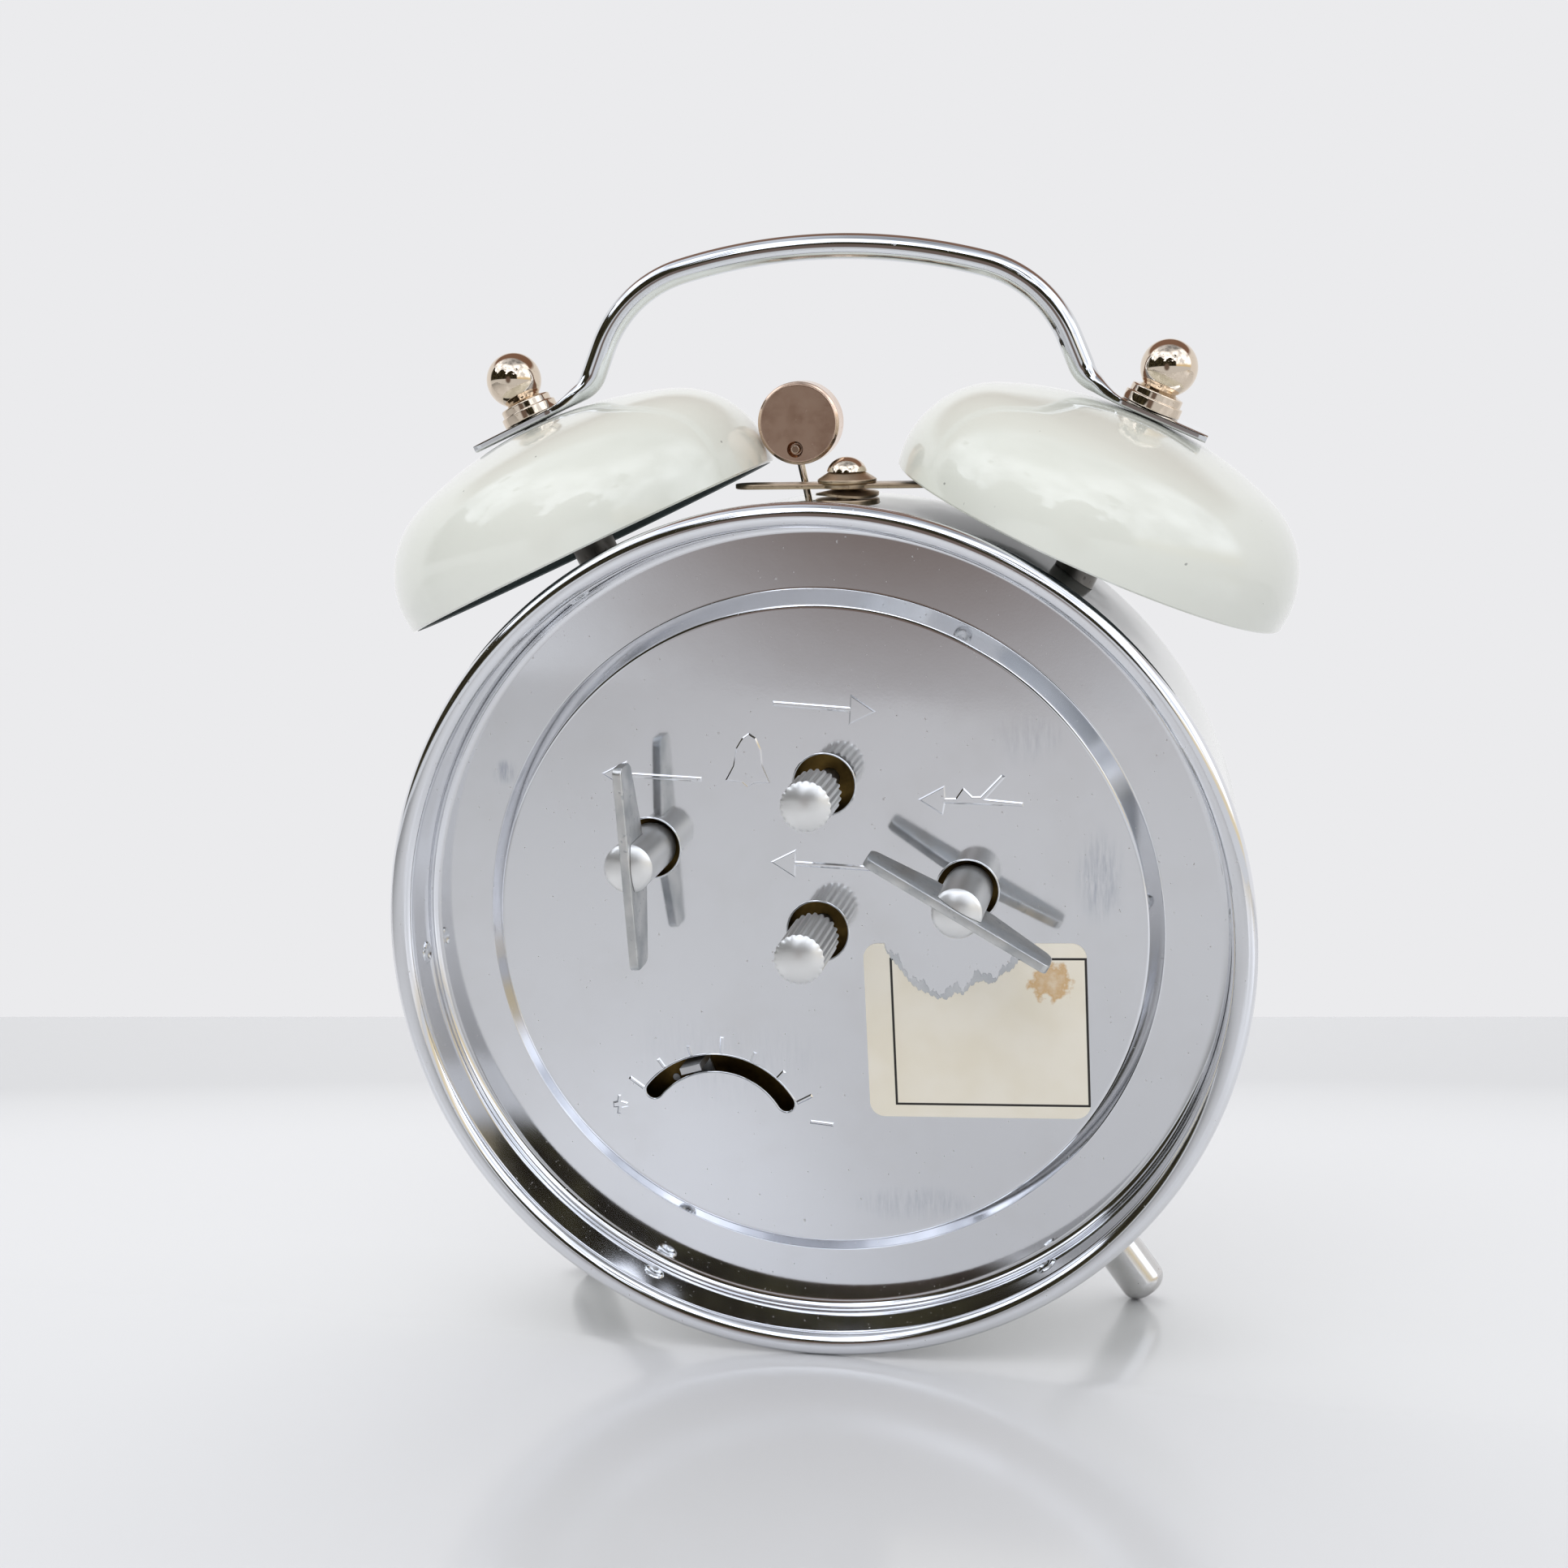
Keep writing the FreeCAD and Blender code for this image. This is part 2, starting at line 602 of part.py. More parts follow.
def ring_slot(radius, width, first, last, low, high):
    """Curved slot round the origin with round ends."""
    inner, outer = radius - width / 2, radius + width / 2
    middle = (first + last) / 2
    edges = [
        Part.Arc(polar(outer, first), polar(outer, middle), polar(outer, last)).toShape(),
        Part.makeLine(polar(outer, last), polar(inner, last)),
        Part.Arc(polar(inner, last), polar(inner, middle), polar(inner, first)).toShape(),
        Part.makeLine(polar(inner, first), polar(outer, first)),
    ]
    face = Part.Face(Part.Wire(edges))
    face.translate(Vector(0, 0, low))
    band = face.extrude(Vector(0, 0, high - low))
    ends = []
    for angle in (first, last):
        centre = polar(radius, angle)
        ends.append(cylinder(width / 2, low, high, centre.x, centre.y))
    return joined(band, *ends)


def spiral(inner, outer, turns, thick, low, high):
    """Wound strip of even thickness."""
    steps = int(turns * 16)
    sides = []
    for offset in (-thick / 2, thick / 2):
        points = []
        for step in range(steps + 1):
            share = step / steps
            point = polar(inner + (outer - inner) * share + offset, 360 * turns * share)
            points.append(Vector(point.x, point.y, low))
        curve = Part.BSplineCurve()
        curve.interpolate(points)
        sides.append((curve.toShape(), points[0], points[-1]))
    start = Part.makeLine(sides[0][1], sides[1][1])
    end = Part.makeLine(sides[0][2], sides[1][2])
    wire = Part.Wire(Part.__sortEdges__([sides[0][0], end, sides[1][0], start]))
    return Part.Face(wire).extrude(Vector(0, 0, high - low))


# Case: drum, back cover, label, dial side and feet

def hammer_window():
    """Slot in the top of the drum in which the hammer wire swings."""
    top = float(drum_outside) + OVER
    wide = num["window_width"]
    shape = stadium(-num["window_left"], num["window_right"], wide, top - 6, top)
    turn = Rotation(Vector(1, 0, 0), Vector(0, 0, -1), Vector(0, 1, 0), "ZXY")
    return placed(shape, Placement(Vector(0, 0, num["bell_plane"]), turn))


def drum_drills():
    """Holes of the drum for posts, feet, stop spindle and hammer wire."""
    bore = num["stud_radius"] + num["stud_fit"]
    reach = num["rim_radius"] * 1.2
    tools = [hammer_window()]
    for side in (-1, 1):
        tools.append(placed(cylinder(bore, -reach / 4, 0), bell_frame(side)))
        tools.append(placed(cylinder(bore, reach / 2, reach), foot_frame(side)))
    spindle = num["spindle_radius"] + FIT
    tools.append(placed(cylinder(spindle, reach / 2, reach), stop_frame()))
    return tools


def make_case_drum():
    """Deep drawn drum: open at the rear, rounded over to a lip at the front."""
    rear = size.rim_roll + size.fit_gap
    bend = size.case_round
    wall = size.sheet_wall
    body = turned("case_drum_wall", [
        (drum_outside, rear),
        (drum_outside, size.case_depth - bend),
        (drum_outside - bend, size.case_depth, bend, 1),
        (size.lip_radius, size.case_depth),
        (size.lip_radius, lip_back),
        (drum_outside - bend, lip_back),
        (drum_inside, size.case_depth - bend, bend - wall, -1),
        (drum_inside, rear),
    ])
    keep("case_drum", cut_from("case_drum", body, drum_drills()), CASE)


def cover_openings():
    """Openings of the cover: four round holes, the regulator slot and the stakes."""
    low, high = num["recess_depth"] - 4, num["recess_depth"] + 4
    hole = num["key_hole"]
    tools = [cylinder(hole, low, high, *at) for at in (CENTRE, ALARM_SET, TIME_KEY, ALARM_KEY)]
    half = num["slot_angle"]
    slot = ring_slot(num["slot_radius"], num["slot_width"], 90 - half, 90 + half, low, high)
    slot.translate(Vector(*BALANCE, 0))
    tools.append(slot)
    deep = num["stake_depth"]
    ball = dome_radius(num["stake_radius"], deep)
    inside = num["rim_radius"] - 2 * num["rim_roll"]
    for index in range(int(num["stake_count"])):
        angle = num["stake_start"] + 360 / num["stake_count"] * index
        centre = polar(inside + deep - ball, angle) + Vector(0, 0, num["stake_z"])
        tools.append(Part.makeSphere(ball, centre))
    return tools


def make_back_cover():
    """Pressed back cover: rolled rim, dished wall, sunk ring and raised middle."""
    wall = size.sheet_wall
    roll = size.rim_roll
    inside = size.rim_radius - roll * 2
    outside = inside + wall
    bend = size.corner_round
    floor = size.recess_depth
    crest = floor - size.plateau_rise
    foot = size.plateau_radius + size.plateau_slope
    ring = size.rim_radius - roll
    meet = root(roll * roll - (ring - outside) * (ring - outside))
    body = turned("back_cover_sheet", [
        (inside, 0, roll, -1),
        (inside, floor - bend),
        (inside - bend, floor, bend, 1),
        (foot, floor),
        (size.plateau_radius, crest),
        (0, crest),
        (0, crest + wall),
        (size.plateau_radius, crest + wall),
        (foot, floor + wall),
        (inside - bend, floor + wall),
        (outside, floor - bend, bend + wall, -1),
        (outside, meet),
        (size.rim_radius, 0, roll, -1),
        (ring, -roll, roll, -1),
    ])
    keep("back_cover", cut_from("back_cover", body, cover_openings()), MOVEMENT)


def make_paper_label():
    """Plain paper label with rounded corners, stuck on the raised middle of the cover."""
    across = size.label_width / 2
    up = size.label_height / 2
    bend = size.label_round
    body = document.addObject("PartDesign::Body", "paper_label")

    def outline(sketch):
        draw_outline(sketch, [
            (across - bend, -up),
            (across, bend - up, bend, 1),
            (across, up - bend),
            (across - bend, up, bend, 1),
            (bend - across, up),
            (-across, up - bend, bend, 1),
            (-across, bend - up),
            (bend - across, -up, bend, 1),
        ])

    padded(body, "paper", outline, size.label_thick)
    face = num["recess_depth"] - num["plateau_rise"]
    height = face - num["label_thick"] - GAP / 5
    turn = num["label_turn"]
    keep("paper_label", body, shifted(MOVEMENT, num["label_x"], num["label_y"], height, turn))


def make_dial_side():
    """Front bezel, domed glass and the ring between glass and dial."""
    outer = size.lip_radius - size.fit_gap
    inner = outer - size.bezel_width
    front = lip_back + size.bezel_height
    bend = size.bezel_round
    keep("front_bezel", turned("front_bezel", [
        (inner, lip_back),
        (outer, lip_back),
        (outer, front - bend),
        (outer - bend, front, bend, 1),
        (inner + bend, front),
        (inner, front - bend, bend, 1),
    ]), CASE)
    flat = size.glass_radius - size.glass_flat
    dome = dome_radius(flat, size.glass_dome)
    front = glass_z + size.glass_thick
    keep("dial_glass", turned("dial_glass", [
        (0, glass_z + size.glass_dome),
        (flat, glass_z, dome, -1),
        (size.glass_radius, glass_z),
        (size.glass_radius, front),
        (flat, front),
        (0, front + size.glass_dome, dome, 1),
    ]), CASE)
    low = size.dial_z + size.dial_thick + size.seat_gap
    inner = size.glass_radius - size.ring_width
    keep("dial_ring", turned("dial_ring", [
        (inner - 1, low),
        (size.glass_radius, low),
        (size.glass_radius, glass_z - size.seat_gap),
        (inner, glass_z - size.seat_gap),
    ]), CASE)


def make_dial():
    """Flat dial with holes for the two pairs of hands."""
    body = document.addObject("PartDesign::Body", "dial")

    def outline(sketch):
        draw_circle(sketch, 0, 0, size.dial_radius)
        draw_circle(sketch, 0, 0, size.hour_pipe + 0.8)
        draw_circle(sketch, 0, size.alarm_set_y, size.setting_radius + size.stud_fit)

    padded(body, "dial_disc", outline, size.dial_thick)
    keep("dial", body, shifted(MOVEMENT, 0, 0, num["dial_z"]))


def make_feet():
    """Two rounded feet screwed radially into the drum."""
    radius, bend = num["foot_radius"], num["foot_round"]
    end, wall = num["foot_reach"], float(drum_outside)
    for side, name in ((-1, "foot_left"), (1, "foot_right")):
        body = turned(f"{name}_turned", [
            (0, drum_outside - 3),
            (size.foot_radius, drum_outside - 3),
            (size.foot_radius, size.foot_reach - size.foot_round),
            (size.foot_radius - size.foot_round, size.foot_reach, size.foot_round, 1),
            (0, size.foot_reach),
        ])
        round_case = placed(cylinder(wall + GAP, -90, 90), foot_frame(side).inverse())
        shank = cut_from(f"{name}_shank", body, [round_case])
        stud = solid_feature(f"{name}_stud", cylinder(num["stud_radius"],
                                                      wall - 1 - num["stud_inside"], wall + 2))
        whole = document.addObject("Part::MultiFuse", name)
        whole.Shapes = [shank, stud]
        whole.Refine = True
        keep(name, whole, CASE.multiply(foot_frame(side)))


def make_case_nuts():
    """Hexagon nuts inside the drum on the studs of the posts and the feet."""
    across, tall = num["nut_across"], num["nut_height"]
    bore = num["stud_radius"] + GAP
    wall = float(drum_inside)
    half = across / 2
    post_top = min(bell_wall_height(wall, offset) for offset in (-half, half)) - 2 * GAP
    foot_top = math.sqrt(wall * wall - half * half) - 2 * GAP
    nuts = []
    for side in (-1, 1):
        nuts.append(placed(hexagon_nut(across, post_top - tall, post_top, bore), bell_frame(side)))
        nuts.append(placed(hexagon_nut(across, foot_top - tall, foot_top, bore), foot_frame(side)))
    keep("case_nuts", solid_feature("case_nuts", Part.makeCompound(nuts)), CASE)


# Bells, their posts and ball nuts, and the handle

def make_bell(side, label):
    """Drawn bell: a flat crown running into a round shoulder and a nearly upright rim."""
    crown, height, wide = size.bell_crown, size.bell_height, size.bell_radius
    belly, wall = size.bell_belly, size.bell_wall
    drop = crown - height
    rise = belly + drop
    shoulder = (crown * crown - wide * wide - rise * rise) / ((crown - wide) * 2)
    across = (wide - shoulder) / (crown - shoulder)
    up = rise / (crown - shoulder)
    inner = crown - wall
    bore = size.stud_radius + size.stud_fit
    keep(label, turned(label, [
        (bore, root(crown * crown - bore * bore) - drop),
        (across * crown, up * crown - drop, crown, -1),
        (wide, belly, shoulder, -1),
        (size.bell_mouth, 0),
        (size.bell_mouth - wall, 0),
        (wide - wall, belly),
        (across * inner, up * inner - drop, shoulder - wall, 1),
        (bore, root(inner * inner - bore * bore) - drop, inner, 1),
    ]), CASE.multiply(bell_frame(side)))


def make_bell_post(side, label):
    """Post from the drum to the bell, with studs through the drum and through the bell."""
    wall = float(drum_outside)
    low = bell_wall_height(wall, 0)
    shoulder = cylinder(num["post_radius"], low - 3, float(bell_seat) - num["fit_gap"])
    drum = placed(cylinder(wall + GAP, -90, 90), bell_frame(side).inverse())
    top = float(nut_seat) + num["ball_height"] - 0.5
    stud = cylinder(num["stud_radius"], low - 1 - num["stud_inside"], top)
    post = joined(shoulder.cut(drum), stud)
    keep(label, solid_feature(label, post), CASE.multiply(bell_frame(side)))


def make_ball_nut(side, label):
    """Ball nut: two stepped collars, a neck and a ball, with a blind thread."""
    bore = size.stud_radius + size.seat_gap
    neck, ball, middle = size.ball_neck, size.ball_radius, size.ball_height
    step = size.collar_height + size.ring_height
    frame = shifted(CASE.multiply(bell_frame(side)), 0, 0, float(nut_seat))
    keep(label, turned(label, [
        (bore, 0),
        (size.collar_radius, 0),
        (size.collar_radius, size.collar_height),
        (size.ring_radius, size.collar_height),
        (size.ring_radius, step),
        (neck, step),
        (neck, middle - root(ball * ball - neck * neck)),
        (0, middle + ball, ball, 1),
        (0, middle),
        (bore, middle),
    ]), frame)


def handle_path():
    """Points of the right half of the rod's middle line, from the strap up to the crown."""
    lean, leg_lean = math.radians(num["bell_tilt"]), math.radians(num["handle_leg"])
    axis = Vector(math.sin(lean), math.cos(lean), 0)
    inwards = Vector(-math.cos(lean), math.sin(lean), 0)
    leg = Vector(-math.sin(leg_lean), math.cos(leg_lean), 0)
    height = float(strap_seat) + num["rod_radius"]
    foot = Vector(num["bell_across"], num["bell_up"], 0) + axis * height
    corner = foot + inwards * num["handle_corner"]
    bend = num["handle_bend"]
    tangent = bend * math.tan(inwards.getAngle(leg) / 2)
    start, leg_start = corner - inwards * tangent, corner + leg * tangent
    bend_centre = start + axis * bend
    bend_middle = bend_centre + (corner - bend_centre).normalize() * bend
    crown, shoulder = num["handle_crown"], num["handle_shoulder"]
    crown_centre = Vector(0, num["handle_top"] - crown, 0)
    base = leg_start + Vector(-leg.y, leg.x, 0) * shoulder - crown_centre
    reach, along = crown - shoulder, base.dot(leg)
    length = -along + math.sqrt(along * along - base.dot(base) + reach * reach)
    leg_end = leg_start + leg * length
    centre = crown_centre + base + leg * length
    joint = crown_centre + (centre - crown_centre).normalize() * crown
    middle = ((leg_end - centre).normalize() + (joint - centre).normalize()).normalize()
    return [start, bend_middle, leg_start, leg_end, centre + middle * shoulder, joint], inwards


def mirrored(point):
    """Mirror a point in the middle plane of the clock."""
    return Vector(-point.x, point.y, point.z)


def handle_strap(side, start):
    """Flattened end of the handle, spread from the round rod, with its hole."""
    frame = bell_frame(side)
    low = float(strap_seat)
    high = low + num["strap_thick"]
    half = num["strap_width"] / 2
    strap = box(-num["strap_in"], num["strap_out"], -half, half, low, high)
    strap = strap.cut(cylinder(num["stud_radius"] + num["stud_fit"], low - OVER, high + OVER))
    corners = [(-half, low), (half, low), (half, high), (-half, high)]
    flat = [Vector(-num["strap_in"], y, z) for y, z in corners]
    middle = low + num["rod_radius"]
    reach = -abs((frame.inverse().multVec(start)).x)
    radius = num["rod_radius"]
    arcs = []
    for index in range(4):
        points = []
        for turn in (0, 45, 90):
            ring = polar(radius, 225 + 90 * index + turn)
            points.append(Vector(reach, ring.x, middle + ring.y))
        arcs.append(Part.Arc(*points).toShape())
    spread = Part.makeLoft([Part.makePolygon(flat + flat[:1]), Part.Wire(arcs)], True, True)
    return placed(joined(strap, spread), frame)


def make_handle():
    """Bent rod over the bells with both ends flattened to straps."""
    points, inwards = handle_path()
    lift = Vector(0, 0, num["bell_plane"])
    right = [point + lift for point in points]
    left = [mirrored(point) for point in right]
    top = Vector(0, num["handle_top"], num["bell_plane"])
    edges = [
        Part.Arc(*right[0:3]).toShape(),
        Part.makeLine(right[2], right[3]),
        Part.Arc(*right[3:6]).toShape(),
        Part.Arc(right[5], top, left[5]).toShape(),
        Part.Arc(left[5], left[4], left[3]).toShape(),
        Part.makeLine(left[3], left[2]),
        Part.Arc(left[2], left[1], left[0]).toShape(),
    ]
    ring = Part.Wire(Part.makeCircle(num["rod_radius"], right[0], inwards))
    rod = Part.Wire(edges).makePipeShell([ring], True, False)
    whole = joined(rod, handle_strap(1, right[0]), handle_strap(-1, left[0]))
    keep("handle", solid_feature("handle", whole), CASE)


# Stop lever and hammer

def make_stop_lever():
    """Stop lever on its riveted spindle, between washers on top of the drum."""
    frame = CASE.multiply(stop_frame())
    hole = size.spindle_radius + size.running_fit
    tight = size.spindle_radius + size.seat_gap
    level = drum_outside + size.seat_gap
    keep("stop_washer", turned("stop_washer", [
        (hole, level),
        (size.washer_radius, level),
        (size.washer_radius, level + size.washer_thick),
        (hole, level + size.washer_thick),
    ]), frame)
    level = level + size.washer_thick + size.seat_gap
    sheet, rise = size.spring_thick, size.spring_rise
    keep("stop_spring", turned("stop_spring", [
        (hole, level + rise - sheet),
        (size.washer_radius - sheet, level),
        (size.washer_radius, level + sheet / 2),
        (hole + sheet, level + rise),
        (hole, level + rise),
    ]), frame)
    level = level + rise + size.seat_gap
    low, high = float(level), float(level) + num["lever_thick"]
    arms = stadium(-num["lever_short"], num["lever_long"], num["lever_width"], low, high)
    lever = joined(arms, cylinder(num["lever_hub"], low, high))
    lever = lever.cut(cylinder(float(tight), low - OVER, high + OVER))
    keep("stop_lever", solid_feature("stop_lever", lever), frame)
    level = level + size.lever_thick + size.seat_gap
    keep("stop_cone", turned("stop_cone", [
        (tight, level),
        (size.cone_radius, level),
        (size.cone_top, level + size.cone_height),
        (tight, level + size.cone_height),
    ]), frame)
    head = level + size.cone_height + size.seat_gap
    clip = drum_inside - 0.5
    pin = size.spindle_radius
    dome = dome_radius(size.rivet_radius, size.rivet_height)
    keep("stop_spindle", turned("stop_spindle", [
        (0, drum_inside - size.spindle_inside),
        (pin, drum_inside - size.spindle_inside),
        (pin, clip - 1),
        (size.spindle_collar, clip - 1),
        (size.spindle_collar, clip),
        (pin, clip),
        (pin, head),
        (size.rivet_radius, head),
        (0, head + size.rivet_height, dome, 1),
    ]), frame)


def hammer_frame():
    """Frame of the hammer: origin on its arbor, y along the wire."""
    lean = math.degrees(math.asin(num["disc_side"] / num["disc_reach"]))
    turn = -lean - num["movement_turn"]
    return shifted(MOVEMENT, *HAMMER, 0, turn)


def make_hammer():
    """Hammer: arbor with its pallets, wire and the disc staked on the wire."""
    frame = hammer_frame()
    middle, half = num["bell_plane"], num["disc_thick"] / 2
    wire, stake = num["wire_radius"], num["stake_reach"]
    disc = cylinder(num["disc_radius"], middle - half, middle + half,
                    -num["disc_offset"], num["disc_reach"])
    along = Rotation(Vector(1, 0, 0), -90)
    bore = cylinder(wire + GAP, 0, stake + 1.4)
    disc = disc.cut(placed(bore, Placement(Vector(0, 0, middle), along)))
    for face, way in ((middle - half, 1), (middle + half, -1)):
        pit = Part.makeCone(1.1, 0.7, 0.5, Vector(0, stake, face), Vector(0, 0, way))
        disc = disc.cut(pit)
    keep("hammer_disc", solid_feature("hammer_disc", disc), frame)
    hub = num["hammer_hub"]
    rod = cylinder(wire, hub + GAP, stake + 1.3)
    rod = placed(rod, Placement(Vector(0, 0, middle), along))
    keep("hammer_wire", solid_feature("hammer_wire", rod), frame)
    pallets = box(0, num["hammer_pallet"], -0.8, 0.8, *between(0.463, 0.526))
    boss = cylinder(hub, middle - 2, middle + 2)
    keep("hammer_arbor", solid_feature("hammer_arbor", joined(train_arbor(), boss, pallets)), frame)


# Movement: teeth, arbors, plates

class Gear:
    """Teeth round an arbor: its place, their count, the module and the angle of one tooth."""

    def __init__(self, place, teeth, module, phase=0.0):
        self.place = place
        self.teeth = teeth
        self.module = module
        self.phase = phase

    def solid(self, low, high):
        """Toothed disc between two heights, about the origin."""
        pitch = 360 / self.teeth
        middle = self.module * self.teeth / 2
        tip, foot = middle + 0.8 * self.module, middle - 1.1 * self.module
        points = []
        for tooth in range(self.teeth):
            for share, radius in ((-0.24, foot), (-0.09, tip), (0.09, tip), (0.24, foot)):
                points.append(polar(radius, self.phase + pitch * (tooth + share)))
        return prism(points, low, high)

    def partner(self, place, teeth):
        """Gear on another arbor that meshes with this one."""
        across, up = place[0] - self.place[0], place[1] - self.place[1]
        pitch, other_pitch = 360 / self.teeth, 360 / teeth
        way = math.degrees(math.atan2(up, across))
        share = ((way - self.phase) / pitch) % 1
        phase = way + 180 - other_pitch * (0.5 - share)
        module = 2 * math.hypot(across, up) / (self.teeth + teeth)
        self.module = module
        return Gear(place, teeth, module, phase)


def train_arbor():
    """Steel arbor between the plates, with a pivot at each end."""
    shake = num["end_shake"]
    body = cylinder(num["arbor_radius"], REAR + shake, FRONT - shake)
    return joined(body, cylinder(num["pivot_radius"], num["plate_z"], DIAL_SIDE))


def crossed(solid, count, circle, radius, low, high):
    """Lighten a wheel by a ring of round openings."""
    holes = []
    for index in range(count):
        centre = polar(circle, 360 / count * index)
        holes.append(cylinder(radius, low - OVER, high + OVER, centre.x, centre.y))
    return solid.cut(Part.makeCompound(holes))


def keep_train(label, place, shape):
    """Keep a piece that stands at an arbor of the movement."""
    keep(label, solid_feature(label, shape), shifted(MOVEMENT, *place))


def plate_holes(sketch, winding):
    """Outline and holes that both movement plates share."""
    fit = size.running_fit
    draw_circle(sketch, 0, 0, size.plate_radius)
    draw_circle(sketch, 0, 0, size.setting_radius + fit)
    draw_circle(sketch, 0, size.alarm_set_y, size.setting_radius + fit)
    draw_circle(sketch, size.time_key_x, size.time_key_y, winding + fit)
    draw_circle(sketch, size.alarm_key_x, size.alarm_key_y, winding + fit)
    for name in ("third", "fourth", "escape", "pallet", "balance", "buzz", "hammer"):
        across, up = getattr(size, f"{name}_x"), getattr(size, f"{name}_y")
        draw_circle(sketch, across, up, size.pivot_radius + fit)
    for angle in PILLAR_ANGLES:
        centre = polar(num["pillar_circle"], angle)
        draw_circle(sketch, centre.x, centre.y, size.pillar_neck + size.seat_gap)


def make_plates():
    """Back plate with the regulator's boss, and front plate with the minute wheel's post."""
    fit = size.running_fit
    back = document.addObject("PartDesign::Body", "back_plate")
    padded(back, "back_disc", lambda sketch: plate_holes(sketch, size.winding_radius),
           size.plate_thick)

    def boss(sketch):
        draw_circle(sketch, size.balance_x, size.balance_y, size.boss_radius)
        draw_circle(sketch, size.balance_x, size.balance_y, size.pivot_radius + fit)

    padded(back, "regulator_boss", boss, size.boss_height, True)
    keep("back_plate", back, shifted(MOVEMENT, 0, 0, num["plate_z"]))
    front = document.addObject("PartDesign::Body", "front_plate")
    padded(front, "front_disc", lambda sketch: plate_holes(sketch, size.pillar_neck),
           size.plate_thick)

    def post(sketch):
        draw_circle(sketch, size.motion_x, size.motion_y, size.arbor_radius)

    padded(front, "minute_post", post, size.plate_thick + size.motion_room - 1)
    keep("front_plate", front, shifted(MOVEMENT, 0, 0, FRONT))


def make_pillars():
    """Pillars between the plates, their tall nuts against the cover, and the dial's posts."""
    pillars, nuts, posts = [], [], []
    neck, thick = num["pillar_neck"], num["pillar_radius"]
    cover = COVER_BACK + num["sheet_wall"]
    for angle in PILLAR_ANGLES:
        centre = polar(num["pillar_circle"], angle)
        spot = (centre.x, centre.y)
        pillar = joined(cylinder(thick, REAR + GAP, FRONT - GAP, *spot),
                        cylinder(neck, cover + 2, DIAL_SIDE, *spot))
        pillars.append(pillar)
        nut = hexagon_nut(num["nut_across"] * 0.95, cover + GAP, num["plate_z"] - GAP, neck + GAP)
        nut.translate(centre)
        nuts.append(nut)
    for angle in DIAL_PILLAR_ANGLES:
        centre = polar(num["dial_pillar_circle"], angle)
        posts.append(cylinder(num["dial_pillar_radius"], DIAL_SIDE + GAP, num["dial_z"] - GAP,
                              centre.x, centre.y))
    keep("plate_pillars", solid_feature("plate_pillars", Part.makeCompound(pillars)), MOVEMENT)
    keep("pillar_nuts", solid_feature("pillar_nuts", Part.makeCompound(nuts)), MOVEMENT)
    keep("dial_pillars", solid_feature("dial_pillars", Part.makeCompound(posts)), MOVEMENT)


# Keys, knobs and their arbors

def make_key(name, place, angle):
    """Winding key: slotted hub, wing and winding arbor."""
    tip, depth = size.key_tip, size.wing_hub_depth - size.wing_proud
    bore = size.key_pin + size.seat_gap
    frame = shifted(MOVEMENT, *place, -num["key_tip"], angle)
    body = turned(f"{name}_key_hub_turned", [
        (0, 0),
        (size.key_hub_radius, size.key_dome, dome_radius(size.key_hub_radius, size.key_dome), 1),
        (size.key_hub_radius, size.key_length),
        (bore, size.key_length),
        (bore, depth + 0.3),
        (0, depth + 0.3),
    ])
    half = num["wing_thick"] / 2 + GAP
    reach = num["key_hub_radius"] + OVER
    slot = box(-reach, reach, -half, half, -OVER, float(depth) + GAP)
    keep(f"{name}_key_hub", cut_from(f"{name}_key_hub", body, [slot]), frame)
    keep(f"{name}_key_wing", solid_feature(f"{name}_key_wing", key_wing()), frame)
    start = depth + 0.5 - tip
    step = size.key_length - tip + size.seat_gap
    front = size.plate_z + size.plate_thick + size.plate_gap
    keep(f"{name}_winding_arbor", turned(f"{name}_winding_arbor", [
        (0, start),
        (size.key_pin, start),
        (size.key_pin, step),
        (size.winding_radius, step),
        (size.winding_radius, front - size.end_shake),
        (size.pillar_neck, front - size.end_shake),
        (size.pillar_neck, front + size.plate_thick),
        (0, front + size.plate_thick),
    ]), shifted(MOVEMENT, *place))


def key_wing():
    """Flat wing of a key, deeper at its hub, with eased corners."""
    half, thick = num["wing_half"], num["wing_thick"]
    top = -num["wing_proud"]
    tip, hub = top + num["wing_tip_depth"], top + num["wing_hub_depth"]
    waist = num["key_hub_radius"] + 0.9
    ease = 0.7
    side = [(waist, hub), (half - ease, tip), (half, tip - ease), (half, top + ease),
            (half - ease, top)]
    outline = side + [(-x, z) for x, z in reversed(side)]
    points = [Vector(x, -thick / 2, z) for x, z in outline]
    face = Part.Face(Part.makePolygon(points + points[:1]))
    return face.extrude(Vector(0, thick, 0))


def make_knob(name, place):
    """Fluted knob with a domed end."""
    bore = size.setting_radius + size.seat_gap
    radius = size.knob_radius
    body = turned(f"{name}_turned", [
        (0, 0),
        (radius, size.key_dome, dome_radius(radius, size.key_dome), 1),
        (radius, size.knob_length),
        (bore, size.knob_length),
        (bore, size.knob_length / 2),
        (0, size.knob_length / 2),
    ])
    flutes = []
    for index in range(int(num["knob_flutes"])):
        centre = polar(num["knob_radius"], 360 / num["knob_flutes"] * index)
        low, high = num["key_dome"] + 0.8, num["knob_length"] - 0.8
        flutes.append(cylinder(num["flute_radius"], low, high, centre.x, centre.y))
    frame = shifted(MOVEMENT, *place, -num["knob_tip"])
    keep(name, cut_from(name, body, flutes), frame)


def setting_arbor(high):
    """Plain setting arbor from inside its knob to a height on the dial side."""
    low = num["knob_length"] / 2 - num["knob_tip"] + 0.3
    return cylinder(num["setting_radius"], low, high)


# Trains, springs and hands

